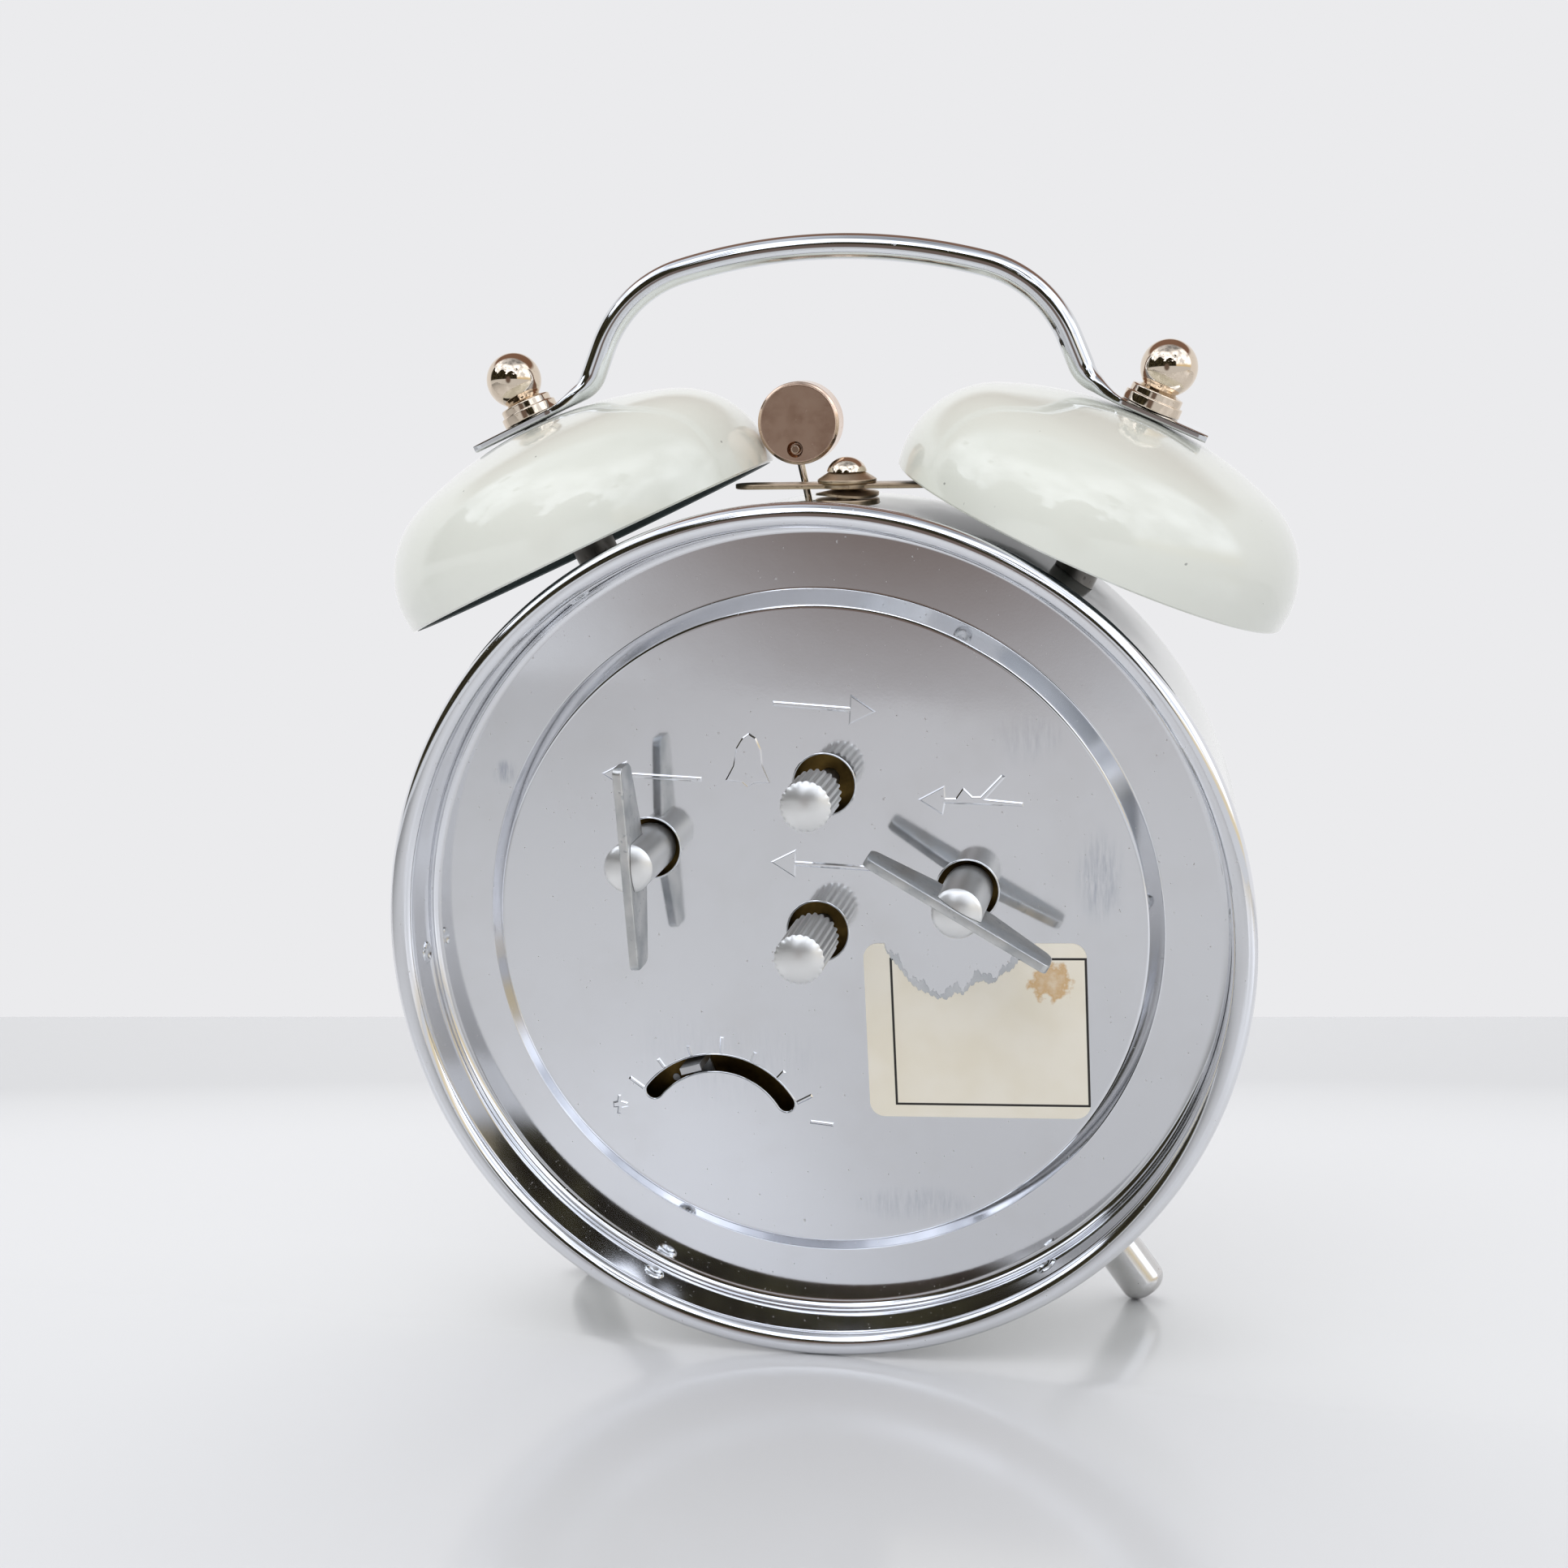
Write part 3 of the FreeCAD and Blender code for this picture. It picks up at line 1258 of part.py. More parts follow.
def between(first, last):
    """Two heights, given as shares of the way from the back plate to the front plate."""
    gap = num["plate_gap"]
    return REAR + gap * first, REAR + gap * last


def make_going_train():
    """Great wheel to escape wheel."""
    great = Gear(TIME_KEY, 60, 1.0)
    centre_pinion = great.partner(CENTRE, 8)
    centre = Gear(CENTRE, 64, 1.0)
    third_pinion = centre.partner(THIRD, 8)
    third = Gear(THIRD, 60, 1.0)
    fourth_pinion = third.partner(FOURTH, 8)
    fourth = Gear(FOURTH, 56, 1.0)
    escape_pinion = fourth.partner(ESCAPE, 7)
    keep_train("great_wheel", TIME_KEY, great_wheel(great))
    shake = num["end_shake"]
    wheel = crossed_gear(centre, 9.5, 3.6, between(0.121, 0.184))
    sleeve = cylinder(centre_pinion.module * 2.9, REAR + shake, FRONT - shake)
    wheel = joined(wheel, centre_pinion.solid(*between(0.7, 0.963)), sleeve)
    bore = cylinder(num["setting_radius"] + FIT, REAR - OVER, FRONT + OVER)
    keep_train("centre_wheel", CENTRE, wheel.cut(bore))
    wheel = crossed_gear(third, 8.0, 3.0, between(0.526, 0.589))
    pinion = third_pinion.solid(*between(0.068, 0.253))
    keep_train("third_wheel", THIRD, joined(wheel, pinion, train_arbor()))
    wheel = crossed_gear(fourth, 6.2, 2.3, between(0.716, 0.779))
    pinion = fourth_pinion.solid(*between(0.411, 0.516))
    keep_train("fourth_wheel", FOURTH, joined(wheel, pinion, train_arbor()))
    low, high = between(0.332, 0.395)
    wheel = crossed(ratchet(15, num["escape_radius"], 1.7, low, high), 4, 3.6, 1.3, low, high)
    pinion = escape_pinion.solid(*between(0.674, 0.884))
    keep_train("escape_wheel", ESCAPE, joined(wheel, pinion, train_arbor()))


def crossed_gear(gear, circle, radius, heights, count=5):
    """Toothed wheel between two heights, lightened by a ring of round openings."""
    return crossed(gear.solid(*heights), count, circle, radius, *heights)


def great_wheel(gear):
    """Great wheel with its hub, running loose on a winding arbor."""
    low, high = between(0.774, 0.963)
    wheel = crossed_gear(gear, 11.0, 3.8, between(0.805, 0.911))
    wheel = joined(wheel, cylinder(4.5, low, high))
    return wheel.cut(cylinder(num["winding_radius"] + FIT, low - OVER, high + OVER))


def ratchet(teeth, radius, deep, low, high):
    """Escape wheel with pointed teeth."""
    pitch = 360 / teeth
    points = []
    for tooth in range(teeth):
        points.append(polar(radius, pitch * tooth))
        points.append(polar(radius - deep, pitch * (tooth + 0.15)))
        points.append(polar(radius - deep, pitch * (tooth + 0.8)))
    return prism(points, low, high)


def make_escapement():
    """Pallets with pins and fork, balance wheel and hairspring."""
    across, up = ESCAPE[0] - PALLET[0], ESCAPE[1] - PALLET[1]
    back = math.degrees(math.atan2(-up, -across))
    reach = num["escape_radius"] + num["pin_gap"]
    low, high = between(0.421, 0.474)
    width = num["pallet_arm"]
    parts = [cylinder(num["pallet_hub"], low, high)]
    pins = []
    for side in (-35, 35):
        pin = polar(reach, back + side) + Vector(across, up, 0)
        parts.append(arm(pin, width, low, high))
        pins.append(cylinder(num["pin_radius"], *between(0.321, 0.432), pin.x, pin.y))
    fork = Vector(BALANCE[0] - PALLET[0], BALANCE[1] - PALLET[1], 0)
    fork = fork.normalize() * num["fork_length"]
    parts.append(arm(fork, width, low, high))
    keep_train("pallet", PALLET, joined(train_arbor(), *parts, *pins))
    outer, inner = num["balance_radius"], num["balance_radius"] - 1.2
    low, high = between(0.147, 0.253)
    rim = cylinder(outer, low, high).cut(cylinder(inner, low - OVER, high + OVER))
    spokes = box(-inner - 0.3, inner + 0.3, -0.7, 0.7, *between(0.174, 0.226))
    keep_train("balance", BALANCE, joined(rim, spokes, cylinder(2, low, high), train_arbor()))
    hair = spiral(1.6, num["hair_radius"], 6, num["hair_sheet"], *between(0.042, 0.084))
    keep_train("hairspring", BALANCE, hair)


def arm(end, width, low, high):
    """Bar from the origin to a point, with round ends."""
    length = math.hypot(end.x, end.y)
    bar = stadium(-width / 2, length + width / 2, width, low, high)
    turn = math.degrees(math.atan2(end.y, end.x))
    return placed(bar, Placement(Vector(), Rotation(Vector(0, 0, 1), turn)))


def make_alarm_train():
    """Alarm great wheel and alarm escape wheel."""
    great = Gear(ALARM_KEY, 60, 1.0)
    pinion = great.partner(BUZZ, 8)
    keep_train("alarm_great_wheel", ALARM_KEY, great_wheel(great))
    wheel = ratchet(12, num["buzz_radius"], 1.5, *between(0.463, 0.526))
    wheel = joined(wheel, pinion.solid(*between(0.753, 0.963)), train_arbor())
    keep_train("alarm_escape_wheel", BUZZ, wheel)


def make_mainsprings():
    """Wound springs of both trains, round the winding arbors."""
    strip = spiral(num["winding_radius"] + 0.7, num["spring_radius"], num["spring_turns"],
                   num["spring_sheet"], *between(0.226, 0.753))
    keep_train("time_mainspring", TIME_KEY, strip)
    keep_train("alarm_mainspring", ALARM_KEY, strip.copy())


def make_motion_work():
    """Cannon pinion on the centre arbor, minute wheel, hour wheel and alarm wheel."""
    cannon = Gear(CENTRE, 12, 1.0)
    minute = cannon.partner(MOTION, 36)
    minute_pinion = Gear(MOTION, 10, 1.0)
    hour = minute_pinion.partner(CENTRE, 40)
    alarm = hour.partner(ALARM_SET, 40)
    face, thin = DIAL_SIDE, num["hand_thick"]
    start, step, room = face + 0.6, face + 1.6, face + num["motion_room"]
    tip = DIAL_FACE + num["minute_lift"] + thin + 0.2
    arbor = joined(setting_arbor(tip), cannon.solid(start, step + 0.2))
    keep_train("centre_arbor", CENTRE, arbor)
    keep_train("alarm_set_arbor", ALARM_SET, setting_arbor(DIAL_FACE + num["alarm_lift"] + thin + GAP))
    post = num["arbor_radius"] + FIT
    wheel = joined(minute.solid(start, step), minute_pinion.solid(step, room - 1.3))
    keep_train("minute_wheel", MOTION, wheel.cut(cylinder(post, face - OVER, room)))
    bore = cylinder(num["setting_radius"] + FIT, face - OVER, tip)
    heights = (step + 0.7, step + 1.7)
    pipe = cylinder(num["hour_pipe"], step + 0.4, DIAL_FACE + num["hour_lift"] + thin + 0.15)
    wheel = crossed_gear(hour, 6.2, 2.2, heights, 4)
    keep_train("hour_wheel", CENTRE, joined(wheel, pipe).cut(bore))
    wheel = crossed_gear(alarm, 6.2, 2.2, heights, 4)
    wheel = joined(wheel, cylinder(num["setting_radius"] * 2, step, room - 0.9)).cut(bore)
    keep_train("alarm_wheel", ALARM_SET, wheel)


def hand(length, width, hub, bore, tail):
    """Tapered hand with a round hub, pointing along +y."""
    thick = num["hand_thick"]
    points = [Vector(-width / 2, -tail), Vector(width / 2, -tail),
              Vector(width / 2, length * 0.7), Vector(0, length), Vector(-width / 2, length * 0.7)]
    blade = joined(prism(points, 0, thick), cylinder(hub, 0, thick))
    return blade.cut(cylinder(bore, -OVER, thick + OVER))


def make_hands():
    """Hour, minute and alarm hands."""
    tight = num["setting_radius"] + GAP
    hour = hand(num["hour_length"], 2.6, num["hour_pipe"] + 1.4, num["hour_pipe"] + GAP, 3)
    minute = hand(num["minute_length"], 2.2, 2.8, tight, 6)
    alarm = hand(num["alarm_length"], 1.2, 2.2, tight, 2)
    for name, shape, place, angle in (("hour", hour, CENTRE, 55), ("minute", minute, CENTRE, -60),
                                      ("alarm", alarm, ALARM_SET, 180)):
        frame = shifted(MOVEMENT, *place, DIAL_FACE + num[f"{name}_lift"], angle)
        keep(f"{name}_hand", solid_feature(f"{name}_hand", shape), frame)


def make_regulator():
    """Regulator lever on the back plate's boss, its tab standing out through the slot."""
    high = num["plate_z"] - 0.2
    low = high - num["regulator_thick"]
    ring, hole = num["regulator_ring"], num["boss_radius"] + FIT
    reach, half = num["slot_radius"], num["regulator_tab"] / 2
    thin = 0.45
    lever = box(-half, half, hole + 0.5, reach + thin, low, high)
    tab = box(-half, half, reach - thin, reach + thin, COVER_BACK - num["regulator_proud"], high)
    shape = joined(cylinder(ring, low, high), lever, tab).cut(cylinder(hole, 5, 12))
    frame = shifted(MOVEMENT, *BALANCE, 0, -num["regulator_angle"])
    keep("regulator_lever", solid_feature("regulator_lever", shape), frame)


def make_all():
    """Make every piece of the clock."""
    make_case_drum()
    make_back_cover()
    make_paper_label()
    make_dial_side()
    make_dial()
    make_feet()
    make_case_nuts()
    for side, name in ((-1, "left"), (1, "right")):
        make_bell(side, f"bell_{name}")
        make_bell_post(side, f"bell_post_{name}")
        make_ball_nut(side, f"ball_nut_{name}")
    make_handle()
    make_stop_lever()
    make_hammer()
    make_key("time", TIME_KEY, num["time_wing_angle"])
    make_key("alarm", ALARM_KEY, num["alarm_wing_angle"])
    make_knob("time_set_knob", CENTRE)
    make_knob("alarm_set_knob", ALARM_SET)
    make_regulator()
    make_plates()
    make_pillars()
    make_going_train()
    make_escapement()
    make_alarm_train()
    make_mainsprings()
    make_motion_work()
    make_hands()


def centre_on_floor():
    """Bring the middle of the bounding box over the origin and its lowest point to the floor."""
    limits = FreeCAD.BoundBox()
    for item in pieces.values():
        limits.add(item.Shape.optimalBoundingBox(False))
    shift = Vector(-limits.Center.x, -limits.Center.y, -limits.ZMin)
    for item in pieces.values():
        item.Placement = Placement(shift, Rotation()).multiply(item.Placement)
    return shift


def check_and_export():
    """Check every object, then write one file for each piece."""
    for item in document.Objects:
        if "Invalid" in item.State or "Error" in item.State:
            raise RuntimeError(f"{item.Label}: {item.State}")
    for label, item in pieces.items():
        shape = item.Shape
        if shape.isNull() or not shape.isValid() or not shape.Solids:
            raise RuntimeError(f"{label}: no valid solid")
        shape.exportStep(os.path.join("parts", f"{label}.step"))
        print(f"{label}: {len(shape.Solids)} solid(s), {len(shape.Faces)} faces")


make_all()
document.recompute()
SHIFT = centre_on_floor()
document.recompute()
check_and_export()
print(f"{len(pieces)} pieces, lean {math.degrees(LEAN):.3f} degrees, shift {SHIFT}")
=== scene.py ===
"""Looks of a twin bell alarm clock: its meshes, finishes, table, light and camera.

Every mesh is worked out in millimetres in one of the clock's own frames (case, movement, bell,
foot, stop lever, hammer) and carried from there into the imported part's frame in metres. The case
frame has x to the right as seen from the dial, y up, and z from the rear rim towards the dial.
"""
import sys
import logging
import math
from collections.abc import Callable, Sequence
from dataclasses import dataclass, field
from enum import Enum
from functools import partial

import bpy
import numpy as np
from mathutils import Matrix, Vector


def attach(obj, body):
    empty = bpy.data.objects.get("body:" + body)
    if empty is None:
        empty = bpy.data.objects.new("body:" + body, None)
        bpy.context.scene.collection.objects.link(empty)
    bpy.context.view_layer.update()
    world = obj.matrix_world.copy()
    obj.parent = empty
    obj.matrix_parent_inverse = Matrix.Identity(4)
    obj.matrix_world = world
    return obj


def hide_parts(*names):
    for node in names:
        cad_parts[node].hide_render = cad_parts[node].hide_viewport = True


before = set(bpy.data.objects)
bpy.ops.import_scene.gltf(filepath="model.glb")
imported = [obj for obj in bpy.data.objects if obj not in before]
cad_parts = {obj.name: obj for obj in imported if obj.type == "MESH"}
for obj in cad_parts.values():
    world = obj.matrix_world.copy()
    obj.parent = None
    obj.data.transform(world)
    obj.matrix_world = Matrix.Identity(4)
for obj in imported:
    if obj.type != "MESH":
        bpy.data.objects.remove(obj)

Array = np.ndarray
Point = tuple[float, ...]
Node = bpy.types.Node
Socket = bpy.types.NodeSocket
Sockets = bpy.types.NodeInputs
AddNode = Callable[..., Node]
log = logging.getLogger("alarm_clock")

MM = 0.001
TINY = 1e-9
# Edges sharper than these stay sharp: on most pieces, and on pieces with cut openings.
CREASE = math.radians(34)
CUT_CREASE = math.radians(28)


class Side(Enum):
    """The side of a bell or foot, left or right as seen from the dial."""

    LEFT = -1
    RIGHT = 1

    @property
    def label(self) -> str:
        """Ending of the names of pieces on this side."""
        return self.name.lower()


# Frames

@dataclass(frozen=True)
class Place:
    """A frame of the clock in the part's own frame: origin in millimetres, axes as rows."""

    origin: tuple[float, ...]
    axes: tuple[tuple[float, ...], ...]

    def world(self, points: Array) -> Array:
        """Points of this frame in millimetres, as points of the part's frame in metres."""
        return (np.asarray(self.origin) + points @ np.asarray(self.axes)) * MM

    def child(self, origin: Sequence[float], axes: Sequence[Sequence[float]]) -> "Place":
        """A frame given in this one.

        Args:
            origin: Its origin, in this frame's millimetres.
            axes: Its x, y and z axes as rows, in this frame.

        Returns:
            The same frame, given in the part's own.
        """
        base = np.asarray(self.axes)
        middle = np.asarray(self.origin) + np.asarray(origin) @ base
        return Place(tuple(middle), tuple(map(tuple, np.asarray(axes) @ base)))

    def moved(self, x: float = 0, y: float = 0, z: float = 0, turn: float = 0) -> "Place":
        """This frame moved along its own axes and turned by degrees about its own z."""
        c, s = math.cos(math.radians(turn)), math.sin(math.radians(turn))
        return self.child((x, y, z), ((c, s, 0), (-s, c, 0), (0, 0, 1)))


# Sine and cosine of the angle by which the clock leans back on its rim and feet.
LEAN_SINE = 0.1342547
LEAN_COSINE = 0.9909469
CASE = Place((0, 19.896373, 56.994),
             ((1, 0, 0), (0, LEAN_SINE, LEAN_COSINE), (0, -LEAN_COSINE, LEAN_SINE)))
MOVEMENT = CASE.moved(turn=3.7)
BELL_PLANE = 27.0
BELL_AT = (34.4, 49.1)
BELL_LEAN = math.radians(24.5)
FOOT_PLANE = 35.0
FOOT_SPREAD = math.radians(35)


def bell_place(side: Side) -> Place:
    """Frame of a bell: origin in its rim plane, z outwards along its axis.

    Args:
        side: Which of the two bells.

    Returns:
        The frame.
    """
    lean, way = BELL_LEAN, side.value
    outwards = (way * math.cos(lean), -math.sin(lean), 0)
    axis = (way * math.sin(lean), math.cos(lean), 0)
    across = tuple(np.cross(axis, outwards))
    return CASE.child((way * BELL_AT[0], BELL_AT[1], BELL_PLANE), (outwards, across, axis))


def foot_place(side: Side) -> Place:
    """Frame of a foot: origin on the case axis, z outwards along the foot.

    Args:
        side: Which of the two feet.

    Returns:
        The frame.
    """
    axis = (side.value * math.sin(FOOT_SPREAD), -math.cos(FOOT_SPREAD), 0)
    across = tuple(np.cross((0, 0, 1), axis))
    return CASE.child((0, 0, FOOT_PLANE), (across, (0, 0, 1), axis))


# The stop lever turns about z, which points up. The hammer's y goes from its arbor to its disc.
STOP = CASE.child((-2.8, 0, 20), ((1, 0, 0), (0, 0, -1), (0, 1, 0)))
HAMMER = MOVEMENT.moved(0.8, 29.4, 0, -14.3)


# Outlines and surfaces

@dataclass
class Shell:
    """A surface in a frame's millimetres.

    Each block of faces is an array with one row of point numbers for each face, and paints holds
    the material number of each block.
    """

    points: Array
    blocks: list[Array]
    paints: list[int] = field(default_factory=list)

    def volume(self) -> float:
        """Signed volume: the sum of corner . (next x last) over a fan of each face, over six.

        Returns:
            The volume in cubic millimetres, negative where the faces point inwards.
        """
        total = 0.0
        for block in self.blocks:
            corners = self.points[block]
            for k in range(1, block.shape[1] - 1):
                cross = np.cross(corners[:, k], corners[:, k + 1])
                total += float(np.einsum("ij,ij->", corners[:, 0], cross))
        return total / 6

    def outward(self) -> "Shell":
        """Turns the faces outwards where they point inwards.

        Returns:
            This shell.
        """
        if self.volume() < 0:
            self.blocks = [block[:, ::-1] for block in self.blocks]
        return self

    def placed(self, place: Place, base: Place) -> "Shell":
        """The shell with its points given in the base frame instead of its own place."""
        world = place.world(self.points) / MM - np.asarray(base.origin)
        return Shell(world @ np.asarray(base.axes).T, self.blocks, self.paints)


def merged(shells: Sequence[Shell]) -> Shell:
    """Joins shells of one frame.

    Args:
        shells: The shells, each closed.

    Returns:
        One shell, with all faces pointing outwards.
    """
    points, blocks, paints, start = [], [], [], 0
    for shell in shells:
        shell.outward()
        points.append(shell.points)
        blocks += [block + start for block in shell.blocks]
        paints += shell.paints or [0] * len(shell.blocks)
        start += len(shell.points)
    return Shell(np.concatenate(points), blocks, paints)


def polar(radius: float | Array, degrees: float | Array) -> Array:
    """Points at a radius and an angle counted from +x."""
    angle = np.radians(degrees)
    return np.stack(np.broadcast_arrays(radius * np.cos(angle), radius * np.sin(angle)), -1)


def arc(centre: Sequence[float], radius: float, first: float, last: float,
        step: float = 6) -> Array:
    """Points on an arc from the first angle to the last, at most step degrees apart."""
    count = max(3, math.ceil(abs(last - first) / step) + 1)
    return np.asarray(centre) + polar(radius, np.linspace(first, last, count))


def arc_between(centre: Array, start: Array, end: Array, count: int) -> Array:
    """Points on the shorter arc about a centre, from one point to another at the same radius.

    Args:
        centre: The arc's centre.
        start: The first point.
        end: The last point.
        count: How many points.

    Returns:
        The points.
    """
    first = math.degrees(math.atan2(*(start - centre)[::-1]))
    last = math.degrees(math.atan2(*(end - centre)[::-1]))
    last -= 360 * round((last - first) / 360)
    return centre + polar(np.linalg.norm(start - centre), np.linspace(first, last, count))


def eased(corners: Sequence[Point], closed: bool = True, step: float = 11,
          hold: float = 0.08) -> Array:
    """Outline through corners (x, y) or (x, y, radius).

    A radius turns its corner into an arc that touches both runs: the arc starts at
    radius / tan(half the corner's angle) from the corner, and its centre lies on the bisector.
    A point at the hold distance beyond each arc keeps the shading of the flat run flat.

    Args:
        corners: The corners, in order.
        closed: Whether the last corner joins the first.
        step: Largest angle between two points of an arc, in degrees.
        hold: Distance of the holding points, in millimetres.

    Returns:
        The points of the outline.
    """
    places = np.array([corner[:2] for corner in corners], float)
    rows: list[Array] = []
    for index, corner in enumerate(corners):
        here = places[index]
        inner = closed or 0 < index < len(corners) - 1
        if len(corner) < 3 or not inner:
            rows.append(here[None])
            continue
        back = places[index - 1] - here
        ahead = places[(index + 1) % len(corners)] - here
        room = min(np.linalg.norm(back), np.linalg.norm(ahead))
        back, ahead = back / np.linalg.norm(back), ahead / np.linalg.norm(ahead)
        angle = math.acos(float(np.clip(back @ ahead, -1, 1)))
        reach = corner[2] / math.tan(angle / 2)
        bisector = (back + ahead) / np.linalg.norm(back + ahead)
        centre = here + bisector * corner[2] / math.sin(angle / 2)
        start = here + back * reach - centre
        sweep = math.copysign(math.pi - angle, float(ahead[0] * back[1] - ahead[1] * back[0]))
        count = max(3, math.ceil(math.degrees(math.pi - angle) / step) + 1)
        turns = np.linspace(0, sweep, count)
        c, s = np.cos(turns), np.sin(turns)
        curve = np.stack([start[0] * c - start[1] * s, start[0] * s + start[1] * c], 1) + centre
        if 0 < hold and reach + hold < room * 0.49:
            edges = here + np.stack([back, ahead]) * (reach + hold)
            curve = np.concatenate([edges[:1], curve, edges[1:]])
        rows.append(curve)
    return np.concatenate(rows)


def inset(outline: Array, distance: float) -> Array:
    """Closed outline moved to its own left by a distance, with mitred corners.

    Each point moves along the mean of its two edge normals, further where the corner is sharp.

    Args:
        outline: The outline.
        distance: How far it moves, in millimetres.

    Returns:
        The moved outline, with as many points.
    """
    ahead = np.roll(outline, -1, 0) - outline
    ahead /= np.linalg.norm(ahead, axis=1, keepdims=True)
    normal = np.stack([-ahead[:, 1], ahead[:, 0]], 1)
    mean = normal + np.roll(normal, 1, 0)
    mean /= np.linalg.norm(mean, axis=1, keepdims=True)
    stretch = np.maximum(np.einsum("ij,ij->i", mean, normal), 0.35)
    return outline + mean * (distance / stretch)[:, None]


def grid_faces(rows: int, columns: int, loop_rows: bool, loop_columns: bool) -> Array:
    """Four corners of each cell of a grid of points.

    Args:
        rows: Number of rows.
        columns: Points in a row.
        loop_rows: Whether the last row joins the first.
        loop_columns: Whether each row closes.

    Returns:
        The cells, as (cell, corner).
    """
    i = np.arange(rows if loop_rows else rows - 1)
    j = np.arange(columns if loop_columns else columns - 1)
    a, b = (axis.ravel() for axis in np.meshgrid(i, j, indexing="ij"))
    c, d = (a + 1) % rows, (b + 1) % columns
    return np.stack([a * columns + b, c * columns + b, c * columns + d, a * columns + d], 1)


def lathe(profile: Array, count: int = 128) -> Shell:
    """Profile (radius, height) carried round the z axis.

    A point at angle a is (r cos a, r sin a, z). An end of the profile on the axis becomes one
    pole point, and a profile with no end on the axis closes on itself.

    Args:
        profile: The profile's points.
        count: Points round the axis.

    Returns:
        The turned shell.
    """
    first, last = profile[0, 0] < TINY, profile[-1, 0] < TINY
    body = profile[int(first):len(profile) - int(last)]
    ring = polar(1.0, np.arange(count) * 360 / count)
    flat = body[:, None, :1] * ring[None]
    tall = np.broadcast_to(body[:, None, 1:], flat.shape[:2] + (1,))
    points = [np.concatenate([flat, tall], 2).reshape(-1, 3)]
    rows = len(body)
    blocks = [grid_faces(rows, count, not (first or last), True)]
    j = np.arange(count)
    for pole, row, end in ((first, 0, 0), (last, rows - 1, -1)):
        if pole:
            tip = rows * count + len(points) - 1
            points.append(np.array([[0, 0, profile[end, 1]]]))
            pair = (row * count + (j + 1) % count, row * count + j)
            pair = pair if row else pair[::-1]
            blocks.append(np.stack([*pair, np.full(count, tip)], 1))
    return Shell(np.concatenate(points), blocks)


def loft(rings: Array, closed: bool = False) -> Shell:
    """Skin over a row of closed rings.

    Args:
        rings: The rings, as (ring, point, 3).
        closed: Whether the last ring joins the first; otherwise each end is one flat face.

    Returns:
        The closed shell.
    """
    rows, count = rings.shape[:2]
    blocks = [grid_faces(rows, count, closed, True)]
    if not closed:
        blocks += [np.arange(count)[None], np.arange(count)[None, ::-1] + (rows - 1) * count]
    return Shell(rings.reshape(-1, 3), blocks)


def capped(rings: Array, first: Sequence[float], last: Sequence[float]) -> Shell:
    """Skin over a row of rings, with each end closed by a fan round a pole point.

    Args:
        rings: The rings, as (ring, point, 3).
        first: The pole before the first ring.
        last: The pole after the last ring.

    Returns:
        The closed shell.
    """
    rows, count = rings.shape[:2]
    near, after = np.arange(count), (np.arange(count) + 1) % count
    end = (rows - 1) * count
    fans = [np.stack([near, after, np.full(count, end + count)], 1),
            np.stack([end + after, end + near, np.full(count, end + count + 1)], 1)]
    points = np.concatenate([rings.reshape(-1, 3), [first, last]])
    return Shell(points, [grid_faces(rows, count, False, True), *fans])


def plate(outline: Array, low: float, high: float, ease: float = 0.0) -> Shell:
    """Flat plate between two heights, with its edges eased by three rings each.

    The rings of an eased edge lie on a quarter circle: at angle a the outline is inset by
    ease (1 - cos a) at ease (1 - sin a) from the face.

    Args:
        outline: The plate's outline.
        low: Height of its lower face.
        high: Height of its upper face.
        ease: Radius of its eased edges, or none.

    Returns:
        The closed shell.
    """
    inwards = ease if area(outline) > 0 else -ease
    if not ease:
        levels = [(0.0, low), (0.0, high)]
    else:
        turns = np.radians([90, 60, 30, 0])
        bottom = [(1 - math.cos(t), low + ease * (1 - math.sin(t))) for t in turns]
        top = [(way, low + high - tall) for way, tall in reversed(bottom)]
        levels = bottom + top
    rings = []
    for way, tall in levels:
        edge = inset(outline, inwards * way) if way else outline
        rings.append(np.column_stack([edge, np.full(len(edge), tall)]))
    return loft(np.stack(rings))


def area(outline: Array) -> float:
    """Signed area of a closed outline, positive where it runs counter-clockwise."""
    x, y = outline.T
    return float(x @ np.roll(y, -1) - y @ np.roll(x, -1)) / 2


def tube(path: Array, radius: float, count: int = 20) -> Shell:
    """Round rod of one radius along a path, with flat ends.

    Each ring lies square to the path, in a frame carried along it without twist.

    Args:
        path: Points of the rod's middle line.
        radius: The rod's radius.
        count: Points in a ring.

    Returns:
        The closed shell.
    """
    ahead = np.gradient(path, axis=0)
    ahead /= np.linalg.norm(ahead, axis=1, keepdims=True)
    side = np.cross(ahead[0], (0.3, 0.5, 0.8))
    sides = []
    for way in ahead:
        side = side - way * (side @ way)
        side = side / np.linalg.norm(side)
        sides.append(side)
    across = np.array(sides)
    up = np.cross(ahead, across)
    ring = polar(radius, np.arange(count) * 360 / count)
    around = ring[None, :, :1] * across[:, None] + ring[None, :, 1:] * up[:, None]
    return loft(path[:, None] + around)


# Finishes

def tint(code: str) -> tuple[float, float, float, float]:
    """Linear colour of an sRGB hex code: s / 12.92 in the dark, else ((s + 0.055) / 1.055)^2.4.

    Args:
        code: The code, with its leading sign.

    Returns:
        Red, green, blue and an alpha of one.
    """
    parts = [int(code[i:i + 2], 16) / 255 for i in (1, 3, 5)]
    linear = [p / 12.92 if p <= 0.04045 else ((p + 0.055) / 1.055) ** 2.4 for p in parts]
    return (*linear, 1.0)


def per(size_mm: float) -> float:
    """Scale of a noise whose blotches are about size_mm across."""
    return 1 / (size_mm * MM)


def live_output(node: Node) -> Socket:
    """A node's first output that is in use."""
    return next(socket for socket in node.outputs if socket.enabled)


